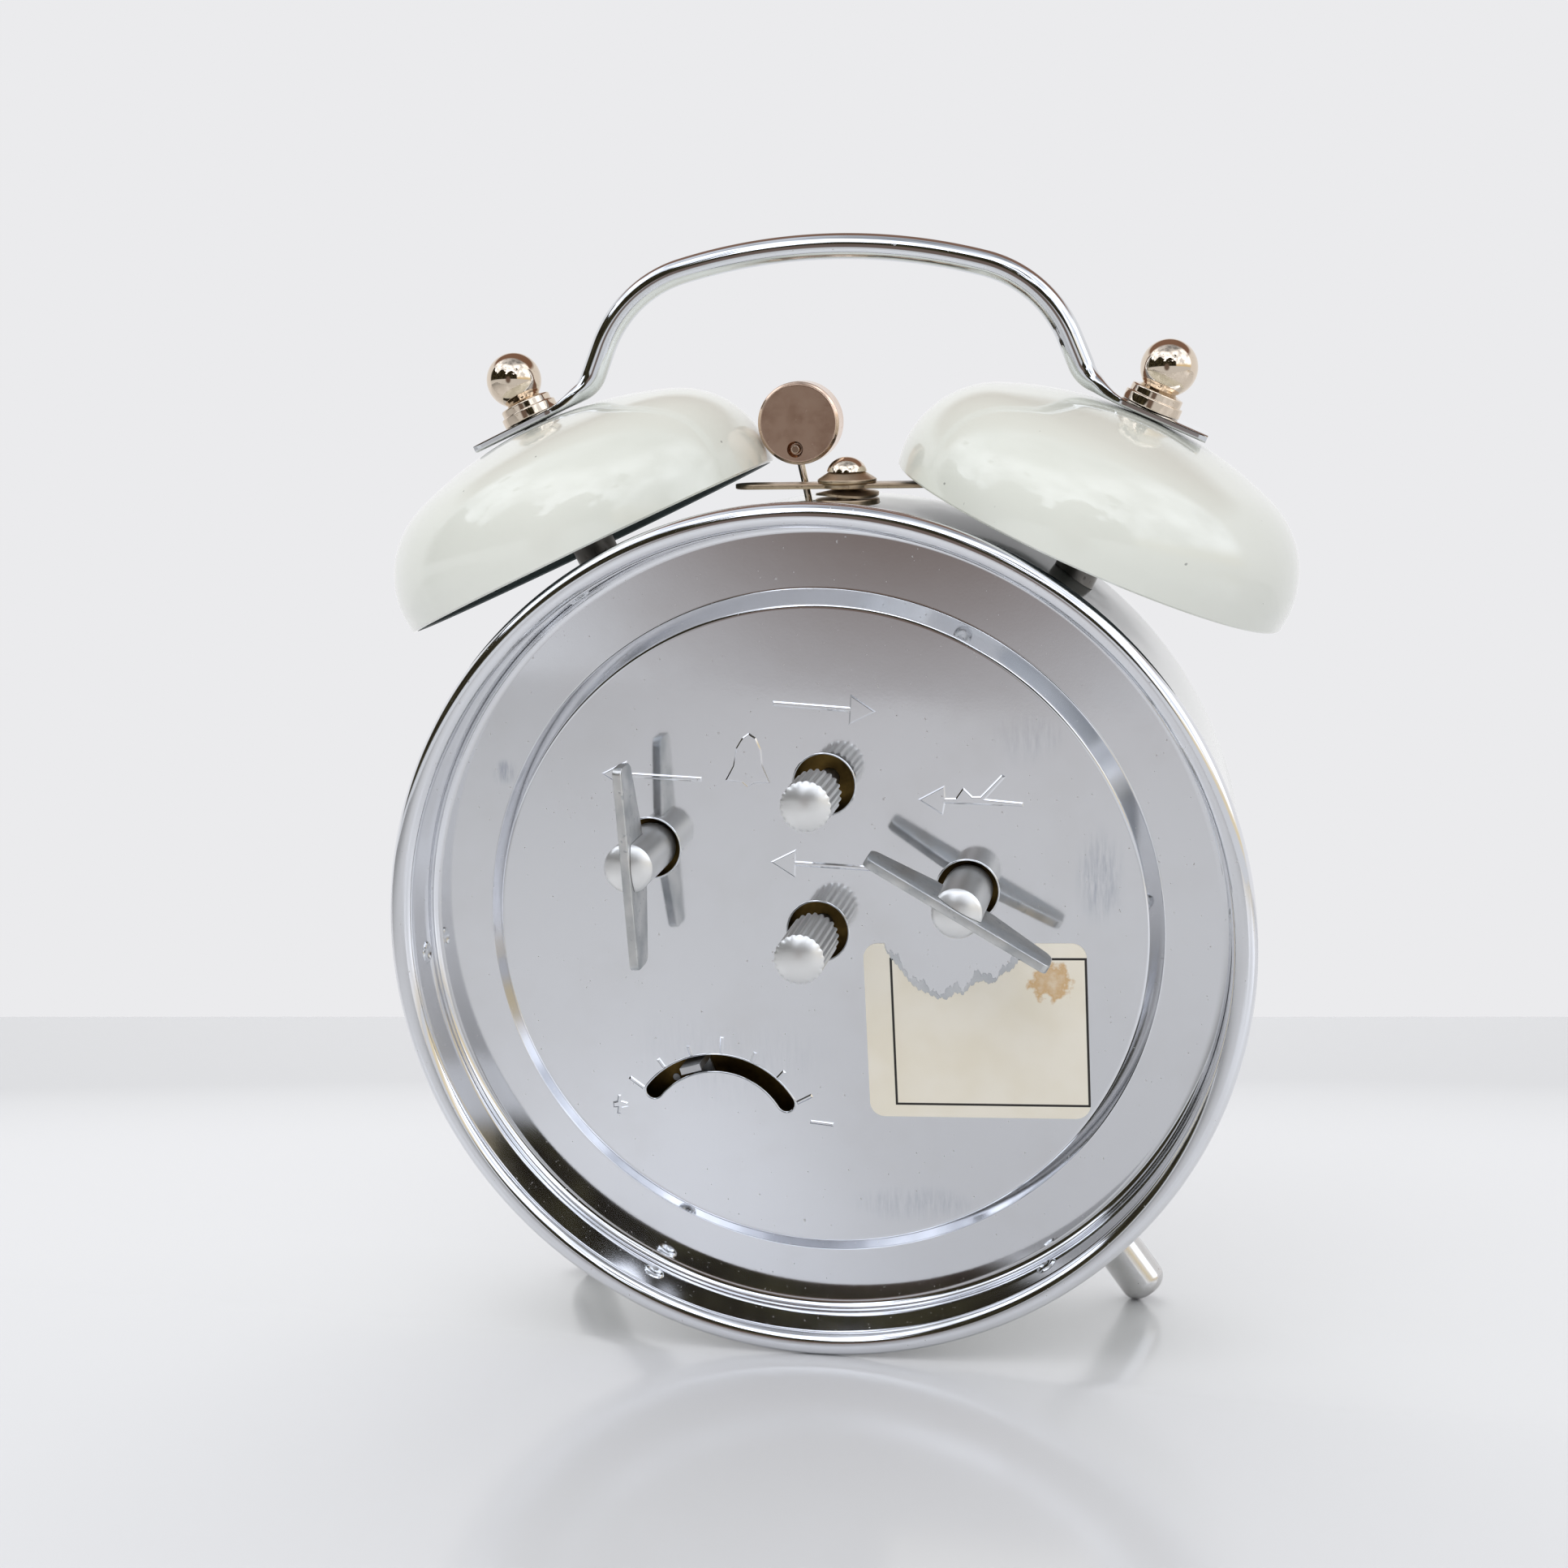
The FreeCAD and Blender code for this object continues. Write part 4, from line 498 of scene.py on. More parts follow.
def join(source: Node, target: Socket) -> None:
    """Links a node's first live output to a socket."""
    target.id_data.links.new(live_output(source), target)


def add_node(tree: bpy.types.NodeTree, kind: str, inputs: dict | None = None,
             **settings: object) -> Node:
    """Adds a node with its settings and links.

    Args:
        tree: The node tree.
        kind: The node's type, after its leading ShaderNode.
        inputs: What goes into each input, by its name or number: a socket, a node, whose first
            live output it is, or a value.
        **settings: The node's own properties.

    Returns:
        The node.
    """
    node = tree.nodes.new("ShaderNode" + kind)
    for name, value in settings.items():
        setattr(node, name, value)
    for key, value in (inputs or {}).items():
        if isinstance(value, Node):
            value = live_output(value)
        if isinstance(value, Socket):
            tree.links.new(value, node.inputs[key])
        else:
            node.inputs[key].default_value = value
    return node


@dataclass(frozen=True)
class Finish:
    """What every finish shares: its name, and a shader that its own nodes dress."""

    name: str

    def material(self) -> bpy.types.Material:
        """Makes the material, once.

        Returns:
            The material.
        """
        if self.name not in bpy.data.materials:
            made = bpy.data.materials.new(self.name)
            made.use_nodes = True
            tree = made.node_tree
            tree.nodes.clear()
            shader = add_node(tree, "BsdfPrincipled")
            add_node(tree, "OutputMaterial", {"Surface": shader})
            at = add_node(tree, "TexCoord").outputs["Object"]
            join(self.dress(partial(add_node, tree), shader.inputs, at),
                 shader.inputs["Normal"])
        return bpy.data.materials[self.name]

    def dress(self, add: AddNode, shader: Sockets, at: Socket) -> Node:
        """Makes the nodes of the finish.

        Args:
            add: Adds a node to the tree.
            shader: The shader's inputs.
            at: Object coordinates, in metres.

        Returns:
            The normal's node.
        """
        raise NotImplementedError


@dataclass(frozen=True)
class PlatedMetal(Finish):
    """Bright plating: a mirror with a faint haze, pinholes and a slow wave.

    The haze is a slow change of roughness and tint. Pinholes are drawn twice as large as real
    ones. The grain is the fine orange peel of a plate that was not buffed. A smudge is its
    middle (x, z), its half sizes and its share, in the part's own millimetres.
    """

    colour: str
    tarnish: str
    clear: float = 0.06
    hazy: float = 0.14
    haze_mm: float = 9.0
    speck_mm: float = 0.5
    speck_share: float = 0.75
    wave_mm: float = 7.0
    wave_depth_mm: float = 0.004
    grain_mm: float = 0.4
    grain_depth_mm: float = 0.0
    smudges: tuple[Point, ...] = ()
    smudge: str = "#A4ABB8"

    def dress(self, add: AddNode, shader: Sockets, at: Socket) -> Node:
        """Roughness and tarnish follow two noises; smudges are wiped, streaky patches.

        Args:
            add: Adds a node to the tree.
            shader: The shader's inputs.
            at: Object coordinates, in metres.

        Returns:
            The normal's node.
        """
        haze = add("TexNoise", {"Vector": at, "Scale": per(self.haze_mm), "Detail": 4.0,
                                "Roughness": 0.6})
        dots = add("TexNoise", {"Vector": at, "Scale": per(self.speck_mm), "Detail": 1.0})
        pits = add("MapRange", {"Value": dots, "From Min": self.speck_share,
                                "From Max": self.speck_share + 0.04})
        stain = add("MapRange", {"Value": haze, "From Min": 0.5, "From Max": 0.8,
                                 "To Max": 0.4})
        level = add("MapRange", {"Value": haze, "From Min": 0.3, "From Max": 0.75,
                                 "To Min": self.clear, "To Max": self.hazy})
        rough = add("Math", {0: pits, 1: 0.3, 2: level}, operation="MULTIPLY_ADD")
        colour = add("Mix", {0: stain, 6: tint(self.colour), 7: tint(self.tarnish)},
                     data_type="RGBA")
        if self.smudges:
            wiped = add("Mapping", {"Vector": at, "Rotation": (0, math.radians(24), 0),
                                    "Scale": (per(0.5), per(1), per(5.0))})
            streak = add("TexNoise", {"Vector": wiped, "Scale": 1.0, "Detail": 5.0,
                                      "Roughness": 0.7})
            rubbed = add("MapRange", {"Value": streak, "From Min": 0.38, "From Max": 0.68})
        for x, z, half_x, half_z, share in self.smudges:
            middle = add("VectorMath", {0: at, 1: (x * MM, 0, z * MM)}, operation="SUBTRACT")
            flat = add("VectorMath", {0: middle, 1: (per(half_x), 0, per(half_z))},
                       operation="MULTIPLY")
            away = add("VectorMath", {0: flat}, operation="LENGTH")
            torn = add("Math", {0: haze, 1: 1.2, 2: away.outputs["Value"]},
                       operation="MULTIPLY_ADD")
            patch = add("MapRange", {"Value": torn, "From Min": 0.8, "From Max": 1.6,
                                     "To Min": share, "To Max": 0.0},
                        interpolation_type="SMOOTHSTEP")
            patch = add("Math", {0: patch, 1: rubbed}, operation="MULTIPLY")
            colour = add("Mix", {0: patch, 6: colour, 7: tint(self.smudge)}, data_type="RGBA")
            rough = add("Math", {0: patch, 1: 0.2, 2: rough}, operation="MULTIPLY_ADD")
        join(add("Mix", {0: pits, 6: colour, 7: tint(self.tarnish)}, data_type="RGBA"),
             shader["Base Color"])
        join(rough, shader["Roughness"])
        shader["Metallic"].default_value = 1.0
        wave = add("TexNoise", {"Vector": at, "Scale": per(self.wave_mm)})
        bent = add("Bump", {"Height": wave, "Distance": self.wave_depth_mm * MM})
        if not self.grain_depth_mm:
            return bent
        grain = add("TexNoise", {"Vector": at, "Scale": per(self.grain_mm)})
        return add("Bump", {"Height": grain, "Distance": self.grain_depth_mm * MM,
                            "Normal": bent})


@dataclass(frozen=True)
class Enamel(Finish):
    """Stoved enamel on steel: a creamy coat under a gloss with a slight orange peel.

    Dust dots are drawn a little coarser than real ones so that they show. Painted shade is a dull
    grey film with ragged edges, painted under the bells where they shade the drum. A patch of it
    is its middle, its radius and its share, in the part's own millimetres.
    """

    colour: str
    shade: str
    gloss: float = 0.07
    peel_mm: float = 3.2
    peel_depth_mm: float = 0.0022
    dust: str = "#8F918C"
    film: str = "#5E5F5B"
    grime: tuple[Point, ...] = ()

    def dress(self, add: AddNode, shader: Sockets, at: Socket) -> Node:
        """Coloured coat with a clear gloss over it, darkened and dulled where the painted shade
        lies under the bells.

        Args:
            add: Adds a node to the tree.
            shader: The shader's inputs.
            at: Object coordinates, in metres.

        Returns:
            The normal's node.
        """
        cloud = add("TexNoise", {"Vector": at, "Scale": per(30), "Detail": 3.0})
        share = add("MapRange", {"Value": cloud, "From Min": 0.35, "From Max": 0.7})
        dots = add("TexNoise", {"Vector": at, "Scale": per(0.8), "Detail": 0.0})
        dust = add("MapRange", {"Value": dots, "From Min": 0.885, "From Max": 0.9,
                                "To Max": 0.8})
        colour = add("Mix", {0: share, 6: tint(self.colour), 7: tint(self.shade)},
                     data_type="RGBA")
        colour = add("Mix", {0: dust, 6: colour, 7: tint(self.dust)}, data_type="RGBA")
        shader["Coat Weight"].default_value = 1.0
        # Painted shade: ragged dull grey patches under the bells, with the gloss coat taken away
        # there.
        if self.grime:
            rags = add("TexNoise", {"Vector": at, "Scale": per(7), "Detail": 6.0,
                                    "Roughness": 0.65})
            layers = []
            for x, y, z, radius, share in self.grime:
                away = add("VectorMath", {0: at, 1: (x * MM, y * MM, z * MM)},
                           operation="DISTANCE")
                ragged = add("Math", {0: rags, 1: -radius * MM, 2: away.outputs["Value"]},
                             operation="MULTIPLY_ADD")
                layers.append(add("MapRange", {
                    "Value": ragged, "From Min": -0.1 * radius * MM,
                    "From Max": 0.75 * radius * MM, "To Min": share, "To Max": 0.0},
                    interpolation_type="SMOOTHSTEP"))
            film = layers[0]
            for layer in layers[1:]:
                film = add("Math", {0: film, 1: layer}, operation="MAXIMUM")
            colour = add("Mix", {0: film, 6: colour, 7: tint(self.film)}, data_type="RGBA")
            join(add("Math", {0: 1.0, 1: film}, operation="SUBTRACT"), shader["Coat Weight"])
        join(colour, shader["Base Color"])
        shader["Roughness"].default_value = 0.35
        shader["Coat Roughness"].default_value = self.gloss
        peel = add("TexNoise", {"Vector": at, "Scale": per(self.peel_mm)})
        return add("Bump", {"Height": peel, "Distance": self.peel_depth_mm * MM})


@dataclass(frozen=True)
class BareMetal(Finish):
    """Cut or stamped metal: satin, with dings and tool marks drawn a little coarse."""

    colour: str
    dull: str
    smooth: float = 0.2
    rough: float = 0.38
    mark_mm: float = 0.35
    ding_mm: float = 0.8
    depth_mm: float = 0.012

    def dress(self, add: AddNode, shader: Sockets, at: Socket) -> Node:
        """Metal with tool marks in its bump and dings in its colour.

        Args:
            add: Adds a node to the tree.
            shader: The shader's inputs.
            at: Object coordinates, in metres.

        Returns:
            The normal's node.
        """
        marks = add("TexNoise", {"Vector": at, "Scale": per(self.mark_mm), "Detail": 3.0,
                                 "Roughness": 0.6})
        dots = add("TexNoise", {"Vector": at, "Scale": per(self.ding_mm), "Detail": 1.0})
        dings = add("MapRange", {"Value": dots, "From Min": 0.66, "From Max": 0.72})
        slow = add("TexNoise", {"Vector": at, "Scale": per(4), "Detail": 3.0})
        cloud = add("MapRange", {"Value": slow, "From Min": 0.35, "From Max": 0.7})
        colour = add("Mix", {0: cloud, 6: tint(self.colour), 7: tint(self.dull)},
                     data_type="RGBA")
        join(add("Mix", {0: dings, 6: colour, 7: tint(self.dull)}, data_type="RGBA"),
             shader["Base Color"])
        join(add("MapRange", {"Value": cloud, "To Min": self.smooth, "To Max": self.rough}),
             shader["Roughness"])
        shader["Metallic"].default_value = 1.0
        height = add("Math", {0: dings, 1: -1.6, 2: marks}, operation="MULTIPLY_ADD")
        return add("Bump", {"Height": height, "Distance": self.depth_mm * MM})


@dataclass(frozen=True)
class Lacquer(Finish):
    """Paint or primer: one colour with a slight unevenness and a grain in its bump."""

    colour: str
    patch: str
    rough: float
    grain_mm: float = 0.4
    depth_mm: float = 0.006

    def dress(self, add: AddNode, shader: Sockets, at: Socket) -> Node:
        """Paint with patches of a second tone.

        Args:
            add: Adds a node to the tree.
            shader: The shader's inputs.
            at: Object coordinates, in metres.

        Returns:
            The normal's node.
        """
        slow = add("TexNoise", {"Vector": at, "Scale": per(5), "Detail": 4.0,
                                "Roughness": 0.6})
        share = add("MapRange", {"Value": slow, "From Min": 0.4, "From Max": 0.7})
        join(add("Mix", {0: share, 6: tint(self.colour), 7: tint(self.patch)},
                 data_type="RGBA"), shader["Base Color"])
        shader["Roughness"].default_value = self.rough
        grain = add("TexNoise", {"Vector": at, "Scale": per(self.grain_mm)})
        return add("Bump", {"Height": grain, "Distance": self.depth_mm * MM})


@dataclass(frozen=True)
class Paper(Finish):
    """Cream label paper with a printed frame line and a tan ring of a stain.

    The pattern follows the label's own map, whose unit is a millimetre from its middle.
    """

    colour: str
    aged: str
    stain: str
    ink: str
    frame_half: Point = (12.85, 10.05)
    frame_middle: Point = (-1.75, -0.15)
    line_mm: float = 0.26
    stain_at: Point = (-9.9, 6.9)
    stain_mm: float = 3.1

    def dress(self, add: AddNode, shader: Sockets, at: Socket) -> Node:
        """Paper whose line is where the distance to the frame's outline is near zero.

        Args:
            add: Adds a node to the tree.
            shader: The shader's inputs.
            at: Object coordinates, in metres.

        Returns:
            The normal's node.
        """
        chart = add("UVMap", uv_map="label")
        parts = add("SeparateXYZ", {"Vector": chart})
        gaps = []
        for axis, half, middle in zip("XY", self.frame_half, self.frame_middle):
            off = add("Math", {0: parts.outputs[axis], 1: middle}, operation="SUBTRACT")
            size = add("Math", {0: off}, operation="ABSOLUTE")
            gaps.append(add("Math", {0: size, 1: half}, operation="SUBTRACT"))
        edge = add("Math", {0: gaps[0], 1: gaps[1]}, operation="MAXIMUM")
        away = add("Math", {0: edge}, operation="ABSOLUTE")
        line = add("MapRange", {"Value": away, "From Min": self.line_mm / 2,
                                "From Max": self.line_mm / 2 + 0.06, "To Min": 1.0,
                                "To Max": 0.0})
        spot = add("VectorMath", {0: chart, 1: (*self.stain_at, 0)}, operation="DISTANCE")
        cloud = add("TexNoise", {"Vector": chart, "Scale": 0.9, "Detail": 4.0})
        wobble = add("Math", {0: cloud, 1: 5.0, 2: spot.outputs["Value"]},
                     operation="MULTIPLY_ADD")
        inner = add("MapRange", {"Value": wobble, "From Min": self.stain_mm - 1.0,
                                 "From Max": self.stain_mm + 1.3, "To Min": 0.25,
                                 "To Max": 0.75})
        outer = add("MapRange", {"Value": wobble, "From Min": self.stain_mm + 1.4,
                                 "From Max": self.stain_mm + 2.3, "To Min": 1.0,
                                 "To Max": 0.0})
        stain = add("Math", {0: inner, 1: outer}, operation="MULTIPLY")
        slow = add("TexNoise", {"Vector": chart, "Scale": 0.12})
        age = add("MapRange", {"Value": slow, "From Min": 0.4, "From Max": 0.65,
                               "To Max": 0.7})
        colour = add("Mix", {0: age, 6: tint(self.colour), 7: tint(self.aged)},
                     data_type="RGBA")
        colour = add("Mix", {0: stain, 6: colour, 7: tint(self.stain)}, data_type="RGBA")
        join(add("Mix", {0: line, 6: colour, 7: tint(self.ink)}, data_type="RGBA"),
             shader["Base Color"])
        shader["Roughness"].default_value = 0.75
        fibre = add("TexNoise", {"Vector": chart, "Scale": 6.0, "Detail": 3.0})
        return add("Bump", {"Height": fibre, "Distance": 0.01 * MM})


@dataclass(frozen=True)
class ClearGlass(Finish):
    """Pressed clear glass of the dial window, with a hardly visible waviness."""

    colour: str

    def dress(self, add: AddNode, shader: Sockets, at: Socket) -> Node:
        """Full transmission at the glass's own index, and no shadow on the dial behind it.

        Args:
            add: Adds a node to the tree.
            shader: The shader's inputs.
            at: Object coordinates, in metres.

        Returns:
            The normal's node.
        """
        shader["Base Color"].default_value = tint(self.colour)
        shader["Roughness"].default_value = 0.02
        shader["Transmission Weight"].default_value = 1.0
        shader["IOR"].default_value = 1.45
        shaded = add("LightPath").outputs["Is Shadow Ray"]
        join(add("Math", {0: 1.0, 1: shaded}, operation="SUBTRACT"), shader["Alpha"])
        wave = add("TexNoise", {"Vector": at, "Scale": per(18), "Detail": 1.0})
        return add("Bump", {"Height": wave, "Distance": 0.003 * MM})


@dataclass(frozen=True)
class Brass(Finish):
    """Rolled clock brass, browned by age: yellow where handled, olive in the corners."""

    colour: str
    aged: str
    rough: float = 0.32

    def dress(self, add: AddNode, shader: Sockets, at: Socket) -> Node:
        """Metal whose tone and roughness follow the age.

        Args:
            add: Adds a node to the tree.
            shader: The shader's inputs.
            at: Object coordinates, in metres.

        Returns:
            The normal's node.
        """
        slow = add("TexNoise", {"Vector": at, "Scale": per(6), "Detail": 4.0,
                                "Roughness": 0.6})
        age = add("MapRange", {"Value": slow, "From Min": 0.35, "From Max": 0.65})
        join(add("Mix", {0: age, 6: tint(self.colour), 7: tint(self.aged)},
                 data_type="RGBA"), shader["Base Color"])
        join(add("MapRange", {"Value": age, "To Min": self.rough,
                              "To Max": self.rough + 0.15}), shader["Roughness"])
        shader["Metallic"].default_value = 1.0
        roll = add("TexNoise", {"Vector": at, "Scale": per(0.5)})
        return add("Bump", {"Height": roll, "Distance": 0.004 * MM})


@dataclass(frozen=True)
class GlossyBoard(Finish):
    """Sheet of glossy white board that the clock stands on, very slightly wavy."""

    colour: str
    rough: float = 0.16

    def dress(self, add: AddNode, shader: Sockets, at: Socket) -> Node:
        """Even pale board under its own gloss.

        Args:
            add: Adds a node to the tree.
            shader: The shader's inputs.
            at: Object coordinates, in metres.

        Returns:
            The normal's node.
        """
        shader["Base Color"].default_value = tint(self.colour)
        shader["Roughness"].default_value = self.rough
        shader["Specular IOR Level"].default_value = 0.45
        wave = add("TexNoise", {"Vector": at, "Scale": per(60)})
        return add("Bump", {"Height": wave, "Distance": 0.02 * MM})


# Chrome on polished steel: the cleanest mirror, a little blue. On the cover it is hazier, with
# dull wiped smudges; on the feet it is worn and warmer.
CHROME = PlatedMetal("chrome_plated_steel", "#DCDEE0", "#C0BEBC", 0.03, 0.07)
COVER_CHROME = PlatedMetal("chrome_plated_cover", "#E3E4E7", "#D6D5D5", 0.06, 0.1, 14.0,
                           grain_depth_mm=0.0006, smudges=(
                               (-37.0, 66.0, 4.0, 8.0, 0.6), (-28.0, 84.0, 7.0, 5.0, 0.25),
                               (43.0, 78.5, 2.2, 2.2, 0.7), (-13.0, 20.5, 10.0, 3.0, 0.4),
                               (12.0, 40.0, 16.0, 8.0, 0.15)))
FOOT_CHROME = PlatedMetal("chrome_plated_foot", "#D3D2D1", "#B2ACA4", 0.1, 0.2, 6.0)
# Nickel on brass: warm and softer than chrome; the hammer's disc is dulled by its blows.
NICKEL = PlatedMetal("nickel_plated_brass", "#DCCDBA", "#A9957D", 0.05, 0.1, 5.0)
DISC_NICKEL = PlatedMetal("nickel_plated_hammer", "#DEC4AF", "#B89A83", 0.14, 0.24, 3.0)
# Stoved enamel: creamy white under a wet gloss, with painted shade under the bells on the drum.
WHITE_ENAMEL = Enamel("stoved_white_enamel", "#E3E5DD", "#DEE1D8")
# The drum's patches are painted shade where the bells shade it: middle (x, y, z), radius and
# share.
DRUM_ENAMEL = Enamel("stoved_white_enamel_drum", "#E3E5DD", "#DEE1D8", grime=(
    (-9.0, 3.0, 114.5, 13.0, 0.6), (-18.5, 2.0, 112.0, 15.0, 0.7),
    (-27.5, 1.5, 108.0, 15.0, 0.65), (-36.0, 1.0, 102.0, 12.0, 0.35)))
# Aluminium: pale and satin where turned, greyer and duller where stamped.
ALUMINIUM = BareMetal("turned_aluminium", "#E8E7E5", "#D6D5D3", 0.26, 0.36, depth_mm=0.006)
STAMPED = BareMetal("stamped_aluminium", "#D6D6D4", "#B7BABB", 0.34, 0.5, 0.5, depth_mm=0.008)
# Steel: brownish with handling, yellowish under a flash of nickel, and bluish where it is a
# hardened spring. The bell posts' dull zinc plate is painted dark grey as painted shade, for the
# bells' shade that they stand in.
STEEL = BareMetal("plain_steel", "#BBAE9F", "#8F8070", 0.2, 0.34, 0.3, 0.6, 0.003)
STOP_STEEL = BareMetal("nickel_flashed_steel", "#D6C3A8", "#AD9880", 0.3, 0.42, 0.3, 0.6,
                       0.003)
SHADED_POST_STEEL = BareMetal("post_steel_painted_shade", "#7E7B76", "#5F5C57", 0.3, 0.45)
SPRING_STEEL = BareMetal("spring_steel", "#6E7480", "#4B5058", 0.2, 0.35)
# Paints and prints: matt grey primer in the bells, ivory card, black ink and glossy black hands.
BELL_PRIMER = Lacquer("bell_primer", "#4A5657", "#3A4546", 0.5)
DIAL_CARD = Lacquer("dial_card", "#F3F1E9", "#EFECE2", 0.5, 0.6, 0.002)
DIAL_INK = Lacquer("dial_ink", "#181818", "#222222", 0.45)
HAND_LACQUER = Lacquer("black_hand_lacquer", "#101010", "#1B1B1B", 0.22, 0.8, 0.001)
# Aged paper, and the matt pale fibres that its tear left on the metal.
LABEL_PAPER = Paper("label_paper", "#EEE8DA", "#E8E0CD", "#C89A55", "#2A2725")
PAPER_FIBRE = Lacquer("torn_paper_fibre", "#C9CBCE", "#B9BCC0", 0.8, 0.3, 0.05)
GLASS = ClearGlass("window_glass", "#F7FAF9")
CLOCK_BRASS = Brass("clock_brass", "#806838", "#4B3B20", 0.4)
TABLE_BOARD = GlossyBoard("glossy_white_board", "#E1E2E5")


# Pieces

def new_mesh(name: str, shell: Shell, points: Array) -> bpy.types.Mesh:
    """Mesh of a shell's faces, turned outwards.

    Args:
        name: The mesh's name.
        shell: The shell whose faces it takes.
        points: Where the shell's points go.

    Returns:
        The mesh.
    """
    shell.outward()
    mesh = bpy.data.meshes.new(name)
    faces = [face for block in shell.blocks for face in block.tolist()]
    mesh.from_pydata(points.tolist(), [], faces)
    return mesh


def new_object(name: str, data: bpy.types.ID) -> bpy.types.Object:
    """Object of a mesh, lamp, camera or text, in the scene.

    Args:
        name: The object's name.
        data: What it holds.

    Returns:
        The object, at the origin.
    """
    made = bpy.data.objects.new(name, data)
    bpy.context.scene.collection.objects.link(made)
    return made


def shell_of(mesh: bpy.types.Mesh) -> Shell:
    """Shell of a mesh, with one block of faces for each number of corners.

    Args:
        mesh: The mesh.

    Returns:
        The shell, in the mesh's own units.
    """
    points = np.zeros(len(mesh.vertices) * 3)
    mesh.vertices.foreach_get("co", points)
    rows: dict[int, list[list[int]]] = {}
    for polygon in mesh.polygons:
        rows.setdefault(len(polygon.vertices), []).append(list(polygon.vertices))
    return Shell(points.reshape(-1, 3), [np.array(block) for block in rows.values()])


@dataclass
class Assembly:
    """What the sub-assemblies share: how each puts its pieces into the scene."""

    def put(self, name: str, shell: Shell, place: Place, finishes: Finish | Sequence[Finish],
            body: str, replaces: Sequence[str] = (), slot: str | None = None,
            crease: float = CREASE) -> bpy.types.Object:
        """Makes a piece of a shell.

        Args:
            name: The piece's name.
            shell: Its surface, in the millimetres of its place.
            place: The frame that the surface is given in.
            finishes: Its finish, or one for each of the shell's paint numbers.
            body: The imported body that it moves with.
            replaces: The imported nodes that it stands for.
            slot: The record's material slot of its finish. It is not used.
            crease: Edges sharper than this angle stay sharp.

        Returns:
            The piece's object, at the origin, with its place in its mesh.
        """
        mesh = new_mesh(name, shell, place.world(shell.points))
        mesh.validate()
        mesh.shade_smooth()
        mesh.set_sharp_from_angle(angle=crease)
        several = [finishes] if isinstance(finishes, Finish) else list(finishes)
        for finish in several:
            mesh.materials.append(finish.material())
        if shell.paints and len(several) > 1:
            counts = [len(block) for block in shell.blocks]
            mesh.polygons.foreach_set("material_index", np.repeat(shell.paints, counts))
        piece = new_object(name, mesh)
        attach(piece, body)
        if replaces:
            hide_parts(*replaces)
        log.info("%s on %s: %d faces", piece.name, body, len(mesh.polygons))
        return piece


def cut(shell: Shell, place: Place, tools: Sequence[tuple[Shell, Place]]) -> Shell:
    """Shell with the tools' shapes cut out of it by exact booleans.

    Args:
        shell: The shell to cut.
        place: Its frame.
        tools: The cutting shells and their frames.

    Returns:
        The cut shell, in the same frame.
    """
    objects = []
    for item, where in ((shell, place), *tools):
        mesh = new_mesh("cutting", item, item.placed(where, place).points)
        objects.append(new_object("cutting", mesh))
    for tool in objects[1:]:
        modifier = objects[0].modifiers.new("cut", "BOOLEAN")
        modifier.operation, modifier.solver, modifier.object = "DIFFERENCE", "EXACT", tool
    graph = bpy.context.evaluated_depsgraph_get()
    done = shell_of(objects[0].evaluated_get(graph).to_mesh())
    for item in objects:
        bpy.data.objects.remove(item)
    return done


def stadium(low: float, high: float, width: float) -> Array:
    """Outline of a long hole with round ends.

    Args:
        low: Its lowest x.
        high: Its highest x.
        width: Its width.

    Returns:
        The outline, anticlockwise.
    """
    half = width / 2
    ends = (arc((high - half, 0), half, -90, 90, 15), arc((low + half, 0), half, 90, 270, 15))
    return np.concatenate(ends)


def drill(radius: float, low: float, high: float, x: float = 0, y: float = 0) -> Shell:
    """Round cutting tool along z, turned a little so that no point of it lies on an axis."""
    return plate(arc((x, y), radius, 1.3, 361.3, 5)[:-1], low, high)


def arrow(tip: Point, tail: Point, width: float, head: float, half: float) -> Array:
    """Outline of an arrow.

    Args:
        tip: Its point.
        tail: The other end of its shaft.
        width: Half the width of its shaft.
        head: Length of its head.
        half: Half the width of its head.

    Returns:
        The outline, anticlockwise.
    """
    start, end = np.array(tail), np.array(tip)
    way = (end - start) / np.linalg.norm(end - start)
    side = np.array([-way[1], way[0]])
    neck = end - way * head
    return np.array([start - side * width, neck - side * width, neck - side * half, end,
                     neck + side * half, neck + side * width, start + side * width])


def bar(x: float, y: float, length: float, width: float, turn: float) -> Array:
    """Outline of a bar.

    Args:
        x: Its middle, across.
        y: Its middle, up.
        length: Its length.
        width: Its width.
        turn: Angle of its length, in degrees from +x.

    Returns:
        The outline, anticlockwise.
    """
    along, across = polar(length / 2, turn), polar(width / 2, turn + 90)
    return np.array([x, y]) + np.array([-along - across, along - across, along + across,
                                        -along + across])


